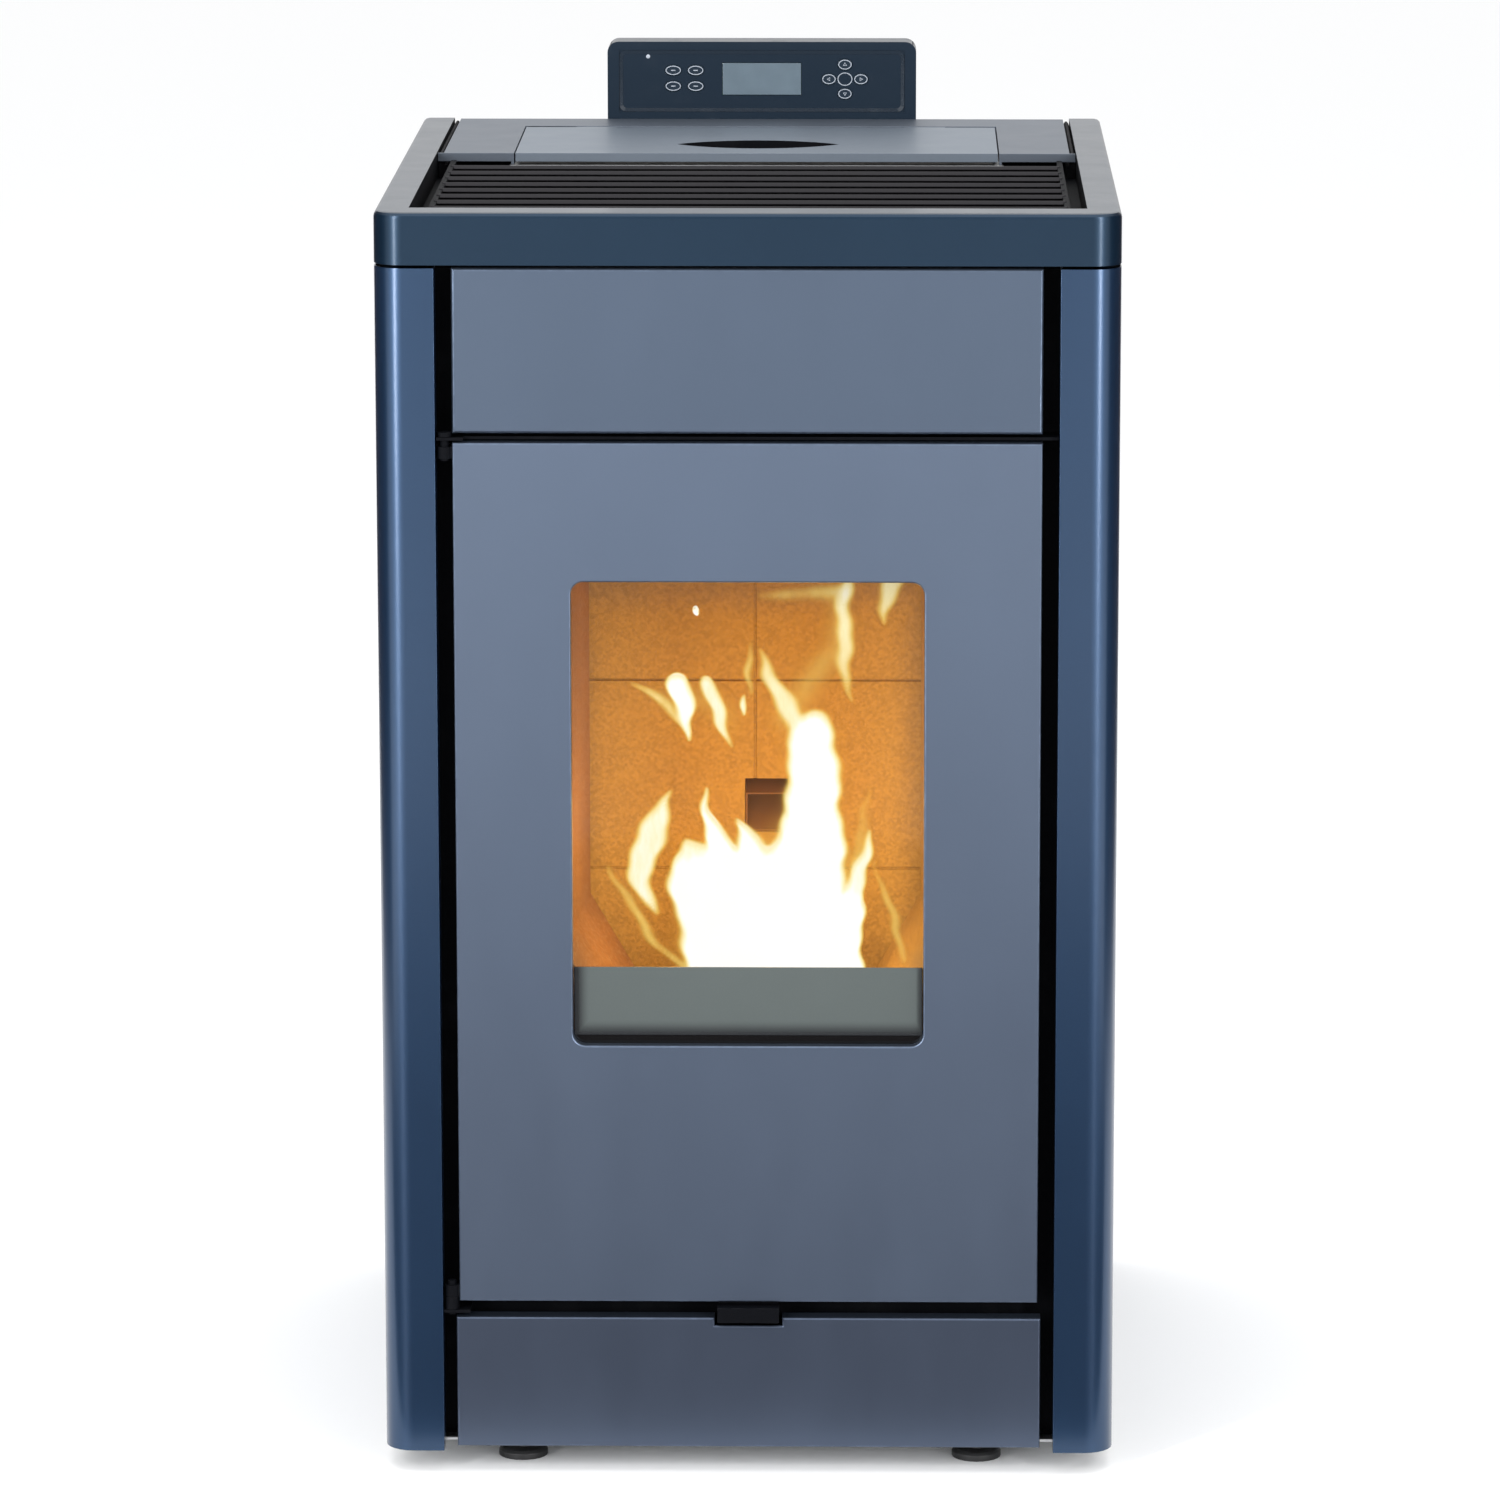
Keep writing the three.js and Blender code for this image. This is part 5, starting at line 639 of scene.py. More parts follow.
def finish_piece(piece: bpy.types.Object, look: Look, body: str, nodes: Iterable[str] = ()) -> bpy.types.Object:
    """Gives a piece its finish, its body and the nodes that it stands for.

    Args:
        piece: the finished object, at the origin.
        look: its finish.
        body: the body that it moves with.
        nodes: CAD nodes that it replaces.

    Returns:
        The piece.
    """
    piece.data.materials.clear()
    piece.data.materials.append(look.value.material())
    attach(piece, body)
    if nodes:
        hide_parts(*nodes)
    LOG.info("%s rides on %s", piece.name, body)
    return piece


def piece_from(name: str, mesh: bpy.types.Mesh) -> bpy.types.Object:
    """A new object for a mesh, linked to the scene."""
    mesh.name = name
    piece = bpy.data.objects.new(name, mesh)
    bpy.context.scene.collection.objects.link(piece)
    return piece


def mesh_of(name: str, build: bmesh.types.BMesh) -> bpy.types.Mesh:
    """Turns a bmesh, which is freed, into a mesh."""
    mesh = bpy.data.meshes.new(name)
    build.to_mesh(mesh)
    build.free()
    return mesh


def piece_of(name: str, build: bmesh.types.BMesh, smooth: bool = True,
             closed: bool = False) -> bpy.types.Object:
    """Turns a bmesh into an object.

    Args:
        name: the piece's name.
        build: the finished bmesh, which is freed.
        smooth: whether faces that meet gently are shaded as one.
        closed: whether it is a new closed shape, whose faces are turned outwards.

    Returns:
        The new object.
    """
    if closed:
        bmesh.ops.recalc_face_normals(build, faces=build.faces)
    mesh = mesh_of(name, build)
    if smooth:
        mesh.shade_smooth()
        mesh.set_sharp_from_angle(angle=SMOOTH_ANGLE)
    else:
        mesh.shade_flat()
    return piece_from(name, mesh)


def round_edges(build: bmesh.types.BMesh, edges: list[bmesh.types.BMEdge], width: float, steps: int,
                mark: bmesh.types.BMLayerItem) -> None:
    """Rounds edges and marks the new faces as worn edges."""
    if not edges:
        return
    made = bmesh.ops.bevel(build, geom=edges, offset=width, offset_type="OFFSET", segments=steps,
                           profile=0.5, affect="EDGES", clamp_overlap=True)
    for face in made["faces"]:
        face[mark] = 1.0


def sharp_edges(build: bmesh.types.BMesh) -> list[bmesh.types.BMEdge]:
    """The edges where two faces meet at a real corner."""
    return [edge for edge in build.edges
            if len(edge.link_faces) == 2 and edge.calc_face_angle(0.0) > SHARP_ANGLE]


def softened(node: str, look: Look, body: str, width: float = PLAIN_EDGE, steps: int = 2,
             fold: Callable[[bmesh.types.BMEdge], bool] | None = None, fold_radius: float = FOLD_RADIUS,
             inside: tuple[Look, Callable[[Vector], bool]] | None = None) -> bpy.types.Object:
    """A CAD node's copy with the edges that pressing, casting or moulding gives it.

    Args:
        node: the CAD node, which the piece replaces.
        look: its finish.
        body: the body that it rides on.
        width: rounding of every corner.
        steps: facets across a rounding.
        fold: picks the edges that are folds of the sheet, rounded first.
        fold_radius: outer radius of a fold.
        inside: a second finish, and which face centres get it.

    Returns:
        The new piece.
    """
    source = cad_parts[node]
    build = bmesh.new()
    build.from_mesh(source.data)
    bmesh.ops.remove_doubles(build, verts=build.verts, dist=WELD)
    bmesh.ops.dissolve_limit(build, angle_limit=FLAT_ANGLE, verts=build.verts, edges=build.edges)
    mark = build.faces.layers.float.new("edge")
    if fold is not None:
        round_edges(build, [edge for edge in sharp_edges(build) if fold(edge)], fold_radius, 4, mark)
    round_edges(build, sharp_edges(build), width, steps, mark)
    piece = piece_of(f"{node}_finished", build)
    piece.modifiers.new("even_shading", "WEIGHTED_NORMAL").keep_sharp = True
    graph = bpy.context.evaluated_depsgraph_get()
    shaded = bpy.data.meshes.new_from_object(piece.evaluated_get(graph), depsgraph=graph)
    piece.modifiers.clear()
    piece.data = shaded
    finish_piece(piece, look, body, (node,))
    if inside is not None:
        piece.data.materials.append(inside[0].value.material())
        for face in piece.data.polygons:
            face.material_index = int(inside[1](face.center))
    return piece


def skin(rings: Sequence[Sequence[bmesh.types.BMVert]], build: bmesh.types.BMesh,
         looped: bool = False) -> None:
    """Joins rings of vertices with faces.

    Args:
        rings: the rings in order; one of a single vertex is a pole.
        build: the bmesh that they are in.
        looped: whether the last ring joins the first; otherwise both ends are capped.
    """
    around = max(len(ring) for ring in rings)
    for lower, upper in zip(rings, [*rings[1:], rings[0]] if looped else rings[1:]):
        for i in range(around):
            corners = [lower[i % len(lower)], lower[(i + 1) % len(lower)],
                       upper[(i + 1) % len(upper)], upper[i % len(upper)]]
            kept = list(dict.fromkeys(corners))
            if len(kept) > 2:
                build.faces.new(kept)
    if not looped and len(rings[0]) > 2:
        build.faces.new(list(reversed(rings[0])))
        build.faces.new(rings[-1])


def turned(name: str, profile: Sequence[tuple[float, float]], facets: int,
           place: Matrix = Matrix()) -> bpy.types.Object:
    """A turned solid.

    Args:
        name: its name.
        profile: (radius, height) from the axis back to the axis.
        facets: faces round it.
        place: where it stands.

    Returns:
        The new object.
    """
    build = bmesh.new()
    turns = [math.tau * i / facets for i in range(facets)]
    rings = []
    for radius, height in profile:
        ring = [(radius * math.cos(a), radius * math.sin(a), height) for a in turns if radius > WELD]
        rings.append([build.verts.new(place @ Vector(point)) for point in ring or [(0, 0, height)]])
    skin(rings, build)
    return piece_of(name, build, closed=True)


def tube(points: Sequence[Point], radius: float, build: bmesh.types.BMesh, closed: bool = True,
         squash: Point = (1, 1, 1), sides: int = 8) -> None:
    """Adds a round wire along points.

    Args:
        points: the path.
        radius: the wire's radius.
        build: the bmesh that it goes into.
        closed: whether the path is a loop; an open wire gets capped ends.
        squash: scales the wire's section along each axis.
        sides: facets round the wire.
    """
    path = [Vector(point) for point in points]
    last = len(path) - 1
    rings = []
    for i, point in enumerate(path):
        before = path[i - 1] if closed or i else point
        after = path[(i + 1) % len(path)] if closed or i < last else point
        along = (after - before).normalized()
        up = Vector((0, 1, 0)) if abs(along.y) < 0.9 else Vector((0, 0, 1))
        side = along.cross(up).normalized()
        over = side.cross(along)
        turns = [math.tau * k / sides for k in range(sides)]
        offsets = [(side * math.cos(a) + over * math.sin(a)) * radius for a in turns]
        rings.append([build.verts.new(point + offset * Vector(squash)) for offset in offsets])
    skin(rings, build, looped=closed)


def rounded_loop(half_x: float, half_z: float, radius: float, y: float, centre: tuple[float, float],
                 steps: int = 6) -> list[Point]:
    """A rounded rectangle in the XZ plane, as points.

    Args:
        half_x: half its width.
        half_z: half its height.
        radius: its corners' radius.
        y: the plane.
        centre: its middle's x and z.
        steps: points per corner, less one.

    Returns:
        The closed path's points.
    """
    corners = [(1, 1, 0), (-1, 1, 1), (-1, -1, 2), (1, -1, 3)]
    path = []
    for side_x, side_z, quarter in corners:
        for i in range(steps + 1):
            turn = math.pi / 2 * (quarter + i / steps)
            path.append((centre[0] + side_x * (half_x - radius) + radius * math.cos(turn), y,
                         centre[1] + side_z * (half_z - radius) + radius * math.sin(turn)))
    return path


class Geometry(Nodes):
    """A geometry tree with named inputs."""

    def __init__(self, name: str, inputs: Sequence[tuple[str, str]]) -> None:
        """Makes the tree.

        Args:
            name: the tree's name.
            inputs: (name, socket type) of each input after the geometry.
        """
        super().__init__(bpy.data.node_groups.new(name, "GeometryNodeTree"))
        face = self.tree.interface
        face.new_socket("Geometry", in_out="INPUT", socket_type="NodeSocketGeometry")
        for label, kind in inputs:
            face.new_socket(label, in_out="INPUT", socket_type=f"NodeSocket{kind}")
        face.new_socket("Geometry", in_out="OUTPUT", socket_type="NodeSocketGeometry")
        self.group = self.tree.nodes.new("NodeGroupInput")

    def given(self, name: str) -> Wire:
        """A named input."""
        return Wire(self, self.group.outputs[name])

    def finish(self, shape: Wire) -> None:
        """Ends the tree in Realize Instances and Set Material."""
        real = self.node("GeometryNodeRealizeInstances", {}, {0: shape})
        dressed = self.node("GeometryNodeSetMaterial", {}, {0: real, "Material": self.given("Material")})
        out = self.tree.nodes.new("NodeGroupOutput")
        self.tree.links.new(dressed.socket, out.inputs[0])

    def run(self, base: bpy.types.Object, **values: object) -> bpy.types.Mesh:
        """Runs the tree on an object.

        Args:
            base: the object, which is removed.
            values: the inputs by name, with _ for a space.

        Returns:
            The plain mesh that it makes.
        """
        modifier = base.modifiers.new("shape", "NODES")
        modifier.node_group = self.tree
        for item in self.tree.interface.items_tree:
            label = item.name.replace(" ", "_")
            if item.in_out == "INPUT" and label in values:
                modifier[item.identifier] = values[label]
        graph = bpy.context.evaluated_depsgraph_get()
        mesh = bpy.data.meshes.new_from_object(base.evaluated_get(graph), depsgraph=graph)
        bpy.data.objects.remove(base)
        return mesh


@lru_cache(maxsize=None)
def scatter_tree() -> Geometry:
    """Copies a part to each point, facing the way the point says and turned at random."""
    tree = Geometry("repeated_part", [("Part", "Object"), ("Turn", "Float"), ("Size spread", "Float"),
                                      ("Seed", "Int"), ("Material", "Material")])
    facing = tree.node("GeometryNodeInputNamedAttribute", {"data_type": "FLOAT_VECTOR"}, {"Name": "facing"})
    aim = tree.node("FunctionNodeAlignRotationToVector", {"axis": "Z"}, {"Vector": facing})
    turn = tree.node("FunctionNodeRandomValue", {"data_type": "FLOAT"},
                     {2: 0.0, 3: tree.given("Turn"), "Seed": tree.given("Seed")}, 1)
    spin = tree.node("FunctionNodeAxisAngleToRotation", {}, {"Axis": (0, 0, 1), "Angle": turn})
    both = tree.node("FunctionNodeRotateRotation", {"rotation_space": "LOCAL"}, {0: aim, 1: spin})
    spread = tree.given("Size spread")
    size = tree.node("FunctionNodeRandomValue", {"data_type": "FLOAT"},
                     {2: 1 - spread, 3: 1 + spread, "Seed": tree.given("Seed")}, 1)
    part = tree.node("GeometryNodeObjectInfo", {}, {"Object": tree.given("Part")}, "Geometry")
    placed = tree.node("GeometryNodeInstanceOnPoints", {}, {
        "Points": tree.given("Geometry"), "Instance": part, "Rotation": both, "Scale": size})
    tree.finish(placed)
    return tree


@lru_cache(maxsize=None)
def rope_tree() -> Geometry:
    """Braids a flat rope round a closed path of edges."""
    over_under = 0.25
    tree = Geometry("braided_rope", [("Half width", "Float"), ("Half depth", "Float"),
                                     ("Strand radius", "Float"), ("Strands", "Int"), ("Turns", "Float"),
                                     ("Steps", "Int"), ("Material", "Material")])
    path = tree.node("GeometryNodeMeshToCurve", {}, {0: tree.given("Geometry")})
    fine = tree.node("GeometryNodeResampleCurve", {}, {"Curve": path, "Count": tree.given("Steps")})
    copies = tree.node("GeometryNodeDuplicateElements", {"domain": "SPLINE"},
                       {"Geometry": fine, "Amount": tree.given("Strands")})
    copy = Wire(tree, copies.socket.node.outputs["Duplicate Index"])
    share = tree.node("GeometryNodeSplineParameter", {}, {}, "Factor")
    tangent = tree.node("GeometryNodeInputTangent")
    sense = tree.math("MODULO", copy, 2.0) * 2.0 - 1.0
    angle = share * tree.given("Turns") * math.tau * sense + copy / tree.given("Strands") * math.tau
    out = (0.0, -1.0, 0.0)
    side = tree.vector("CROSS_PRODUCT", tangent, out)
    wide = tree.vector("SCALE", side, scale=tree.math("COSINE", angle) * tree.given("Half width"))
    weave = tree.math("SINE", angle * 2.0) * over_under * sense + 1.0
    deep = tree.vector("SCALE", out, scale=tree.math("SINE", angle) * tree.given("Half depth") * weave)
    moved = tree.node("GeometryNodeSetPosition", {},
                      {"Geometry": copies, "Offset": tree.vector("ADD", wide, deep)})
    ring = tree.node("GeometryNodeCurvePrimitiveCircle", {},
                     {"Resolution": 5, "Radius": tree.given("Strand radius")})
    tree.finish(tree.node("GeometryNodeCurveToMesh", {}, {"Curve": moved, "Profile Curve": ring}))
    return tree


def repeated(name: str, pattern: bpy.types.Object, spots: Iterable[tuple[Point, Point]], look: Look,
             body: str, spread: float = 0.0) -> bpy.types.Object:
    """Copies a pattern to many places and makes one piece of the copies.

    Args:
        name: the piece's name.
        pattern: what is copied, which is removed.
        spots: where each copy sits and which way it faces.
        look: their finish.
        body: the body that they ride on.
        spread: how far their sizes differ, as a share.

    Returns:
        The new piece.
    """
    build = bmesh.new()
    layer = build.verts.layers.float_vector.new("facing")
    for place, facing in spots:
        build.verts.new(place)[layer] = facing
    points = piece_from("points", mesh_of("points", build))
    mesh = scatter_tree().run(points, Part=pattern, Turn=math.tau, Size_spread=spread, Seed=SEED,
                              Material=look.value.material())
    bpy.data.objects.remove(pattern)
    mesh.set_sharp_from_angle(angle=SMOOTH_ANGLE)
    return finish_piece(piece_from(name, mesh), look, body)


def pan_head(radius: float) -> bpy.types.Object:
    """A domed screw head with a round socket, standing on its own origin."""
    shares = [(0, -0.2), (0.96, -0.2), (1, 0.06), (0.93, 0.32), (0.72, 0.5), (0.504, 0.58),
              (0.45, 0.55), (0.414, 0.15), (0, 0.08)]
    return turned("screw_head_pattern", [(radius * out, radius * up) for out, up in shares], 18)


# ---------- The stove's sub-assemblies ----------

@dataclass
class SubAssembly:
    """A group of pieces that share a body."""

    body: str = "stove"

    def dress(self) -> None:
        """Builds and dresses the group's pieces."""
        raise NotImplementedError

    def soften(self, look: Look, *nodes: str, width: float = PLAIN_EDGE) -> None:
        """Finishes several nodes alike."""
        for node in nodes:
            softened(node, look, self.body, width)

    def pressed(self, look: Look, node: str, radius: float = FOLD_RADIUS,
                inside: tuple[Look, Callable[[Vector], bool]] | None = None) -> None:
        """Finishes a front whose sheet is folded back all round."""
        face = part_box("drawer_front")[0].y
        softened(node, look, self.body, SHEET_EDGE, fold=in_plane(1, face), fold_radius=radius, inside=inside)

    def add(self, name: str, build: bmesh.types.BMesh, look: Look, slot: str, smooth: bool = True) -> None:
        """Makes a new closed piece of a bmesh and finishes it."""
        finish_piece(piece_of(name, build, smooth, closed=True), look, self.body)


def in_plane(axis: int, level: float, slack: float = 0.2 * MM) -> Callable[[bmesh.types.BMEdge], bool]:
    """Picks the edges that lie in a plane square to an axis."""
    return lambda edge: all(abs(vert.co[axis] - level) < slack for vert in edge.verts)


@dataclass
class Casing(SubAssembly):
    """Side panels, rim, rear, base, front wall and feet."""

    screw_inset: float = 9 * MM
    rear_rows: int = 5
    rim_edge: float = 0.8 * MM
    rail_width: float = 22.8 * MM
    lining_drop: float = 3 * MM
    screw_radius: float = 3.4 * MM

    def dress(self) -> None:
        """Finishes the casing and puts its screws in."""
        self.soften(Look.slate_paint, "side_panel_left", "side_panel_right", width=SOLID_EDGE)
        low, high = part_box("top_frame")
        inner, front = high.x - self.rail_width, low.y + self.rail_width

        def inward(centre: Vector) -> bool:
            """Whether a face of the rim looks into its opening."""
            return abs(centre.x) < inner and centre.y > front and centre.z < high.z - self.lining_drop

        # The rim's inner walls get the near-black finish: painted shadow inside the opening.
        softened("top_frame", Look.rim_paint, self.body, self.rim_edge, inside=(Look.shadow_steel, inward))
        # The front wall behind the gaps beside the fronts is near-black: painted shadow in those gaps.
        self.soften(Look.shadow_steel, "front_wall", width=SHEET_EDGE)
        self.soften(Look.black_steel, "rear_panel", width=SHEET_EDGE)
        self.soften(Look.zinc, "base_plate")
        self.soften(Look.black_plastic, *(f"foot_{place}" for place in
                                          ("front_left", "front_right", "rear_left", "rear_right")))
        self.rear_screws()

    def rear_screws(self) -> None:
        """Screws down both edges and across the head and foot of the rear panel."""
        low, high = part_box("rear_panel")
        left, right = low.x + self.screw_inset, high.x - self.screw_inset
        bottom, top = low.z + self.screw_inset, high.z - self.screw_inset * 2.4
        rise = (top - bottom) / (self.rear_rows - 1)
        points = [(x, high.y, bottom + rise * i) for i in range(self.rear_rows) for x in (left, right)]
        points += [(x, high.y, bottom) for x in (left / 3, right / 3)]
        repeated("rear_panel_screws", pan_head(self.screw_radius), [(point, (0, 1, 0)) for point in points],
                 Look.steel, self.body)


@dataclass
class TopDeck(SubAssembly):
    """Top plate, warm-air grille and the lid's hinge pin."""

    end_bar: float = 4.2 * MM
    seal_in: float = 222.9 * MM
    seal_out: float = 226.6 * MM
    seal_foot: float = 220 * MM
    seal_low: float = 836 * MM
    seal_step: float = 861 * MM
    seal_front: float = 57 * MM
    seal_back: float = 263 * MM
    seal_drop: float = 3 * MM
    seal_crown: float = 0.4
    plate_edge: float = 0.7 * MM
    grille_edge: float = 0.35 * MM

    def dress(self) -> None:
        """Finishes the deck; the lid has its own body."""
        self.soften(Look.plate_paint, "top_plate", width=self.plate_edge)
        _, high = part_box("air_grille")
        # The grille's end bars get the near-black finish: painted shadow beside the rails.
        softened("air_grille", Look.charcoal_metal, self.body, self.grille_edge, inside=(
            Look.shadow_steel, lambda centre: abs(centre.x) > high.x - self.end_bar))
        self.edge_seals()
        self.soften(Look.steel, "lid_hinge_pin", width=FINE_EDGE)

    def edge_seals(self) -> None:
        """Near-black rubber lips in the gaps between the plate and the rails: a dark strip put where the gaps
        show only shade, as painted shadow.
        """
        _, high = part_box("top_plate")
        middle, half = (self.seal_in + self.seal_out) / 2, (self.seal_out - self.seal_in) / 2
        top, crown = high.z - self.seal_drop, half * self.seal_crown
        section = [(self.seal_foot, self.seal_low), (self.seal_out, self.seal_low), (self.seal_out, top),
                   (middle + crown, top + half), (middle - crown, top + half),
                   (self.seal_in, top), (self.seal_in, self.seal_step), (self.seal_foot, self.seal_step)]
        build = bmesh.new()
        for side in (-1, 1):
            skin([[build.verts.new((side * x, y, z)) for x, z in section]
                  for y in (self.seal_front, self.seal_back)], build)
        self.add("plate_edge_seals", build, Look.seal_rubber, "black_plastic", smooth=False)


@dataclass
class Lid(SubAssembly):
    """Hopper lid and its gasket."""

    body: str = "lid"
    border: float = 24 * MM
    front_lip: float = 1 * MM
    slack: float = 0.2 * MM

    def dress(self) -> None:
        """Finishes the lid and its gasket."""
        low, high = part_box("hopper_lid")

        def recess(centre: Vector) -> bool:
            """Whether a face lies inside the finger recess."""
            return (centre.z < high.z - self.slack and abs(centre.x) < high.x - self.border * 3
                    and low.y + self.front_lip < centre.y < high.y - self.border)

        # The finger recess gets the near-black finish: painted shadow in the hollow.
        softened("hopper_lid", Look.top_paint, self.body, THICK_EDGE, inside=(Look.shadow_steel, recess))
        self.soften(Look.rope, "lid_gasket", width=THICK_EDGE)


@dataclass
class FireDoor(SubAssembly):
    """Door panel, frame, glass, band, gasket and lever bracket."""

    body: str = "fire_door"
    fold: float = 2.4 * MM
    rope_strands: int = 10
    rope_turns: float = 44.0
    rope_steps: int = 1100
    rope_strand: float = 1.0 * MM
    rope_width: float = 11 * MM
    rope_corner: float = 14.5 * MM
    corner_steps: int = 10
    slack: float = 0.2 * MM

    def dress(self) -> None:
        """Finishes the door."""
        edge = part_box("upper_front_panel")[0].x - self.slack
        # The panel's faces left of the upper panel's edge, in the gap, get the near-black finish: painted
        # shadow.
        self.pressed(Look.door_paint, "door_panel", self.fold, (Look.shadow_steel, lambda at: at.x < edge))
        self.soften(Look.cast_iron, "door_frame", width=THICK_EDGE)
        self.soften(Look.glass, "door_glass", width=SOLID_EDGE)
        self.soften(Look.band, "window_trim", width=THIN_EDGE)
        self.soften(Look.zinc, "lever_bracket", width=SHEET_EDGE)
        self.gasket()

    def gasket(self) -> None:
        """Braids the rope gasket into its groove."""
        low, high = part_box("door_gasket")
        middle, half = (low + high) / 2, (high - low) / 2
        half_x, half_z = half.x - self.rope_width / 2, half.z - self.rope_width / 2
        loop = rounded_loop(half_x, half_z, self.rope_corner, middle.y, (middle.x, middle.z),
                            self.corner_steps)
        build = bmesh.new()
        verts = [build.verts.new(point) for point in loop]
        for first, second in zip(verts, verts[1:] + verts[:1]):
            build.edges.new((first, second))
        path = piece_from("gasket_path", mesh_of("gasket_path", build))
        braid = rope_tree().run(path, Half_width=self.rope_width / 2 - self.rope_strand,
                                Half_depth=half.y - self.rope_strand * 1.3,
                                Strand_radius=self.rope_strand, Strands=self.rope_strands,
                                Turns=self.rope_turns, Steps=self.rope_steps,
                                Material=Look.rope.value.material())
        braid.shade_smooth()
        finish_piece(piece_from("door_gasket_rope", braid), Look.rope, self.body, ("door_gasket",))


@dataclass
class FixedFront(SubAssembly):
    """Upper front panel and the door's hinge pins."""

    def dress(self) -> None:
        """Finishes the fixed front."""
        self.pressed(Look.panel_paint, "upper_front_panel")
        # The hinge pins get the near-black finish: painted shadow in the gap beside the door.
        self.soften(Look.shadow_steel, "hinge_pin_upper", "hinge_pin_lower", width=SHEET_EDGE)


@dataclass
class DoorLever(SubAssembly):
    """The lever under the door."""

    body: str = "lever"

    def dress(self) -> None:
        """Finishes the lever."""
        # The lever gets the near-black finish: its own black deepened by painted shadow from the gap it sits
        # in.
        self.soften(Look.shadow_steel, "door_lever", width=THICK_EDGE)


@dataclass
class AshTray(SubAssembly):
    """Ash drawer and the lower front that it carries."""

    body: str = "ash_tray"

    def dress(self) -> None:
        """Finishes the drawer."""
        # The lower front gets the darker copy of the front paint: painted shade.
        self.pressed(Look.drawer_paint, "drawer_front")
        self.soften(Look.black_steel, "ash_drawer", width=SHEET_EDGE)


@dataclass(frozen=True)
class PickedView:
    """The enlarged view of the window that the flames' points were picked in."""

    enlargement: float = 3.137
    middle_column: float = 192.0
    middle_row: float = 209.0
    columns_per_mm: float = 1.426
    rows_per_mm: float = 1.40
    middle_height: float = 461.0
    thinnest: float = 0.4

    def place(self, column: float, row: float, width: float) -> tuple[float, float, float]:
        """A picked point and half width as x, z and half width in mm, rounded."""
        x = (column / self.enlargement - self.middle_column) / self.columns_per_mm
        z = self.middle_height + (self.middle_row - row / self.enlargement) / self.rows_per_mm
        half = width / (self.enlargement * self.columns_per_mm)
        return round(x), round(z), max(round(half, 1), self.thinnest)


@dataclass(frozen=True)
class Tongue:
    """One tongue of flame: its heat, its soft edge in mm, and its picked points with half widths."""

    heat: float
    soft: float
    picks: Sequence[tuple[float, float, float]]
    steps: int = 40
    view: PickedView = PickedView()

    def bend(self) -> np.ndarray:
        """The spine's points and half widths on a smooth curve, in mm."""
        spine = [np.array(self.view.place(*pick)) for pick in self.picks]
        count = len(spine) - 1
        bends = []
        for step in range(self.steps + 1):
            place = min(step / self.steps * count, count - WELD)
            i = int(place)
            t = place - i
            a, b, c, d = (spine[min(max(i + k, 0), count)] for k in (-1, 0, 1, 2))
            bends.append(0.5 * (2 * b + (c - a) * t + (2 * a - 5 * b + 4 * c - d) * t ** 2
                                + (3 * b - a - 3 * c + d) * t ** 3))
        return np.array(bends)

    def warmth(self, across: np.ndarray, up: np.ndarray) -> np.ndarray:
        """How hot each point of a grid is from this tongue, from 0 to its heat."""
        deep = np.full(across.shape, -1e3)
        for x, z, half in self.bend():
            deep = np.maximum(deep, half - np.hypot(across - x, up - z))
        share = np.clip((deep + self.soft) / (2 * self.soft), 0, 1)
        return self.heat * share * share * (3 - 2 * share)


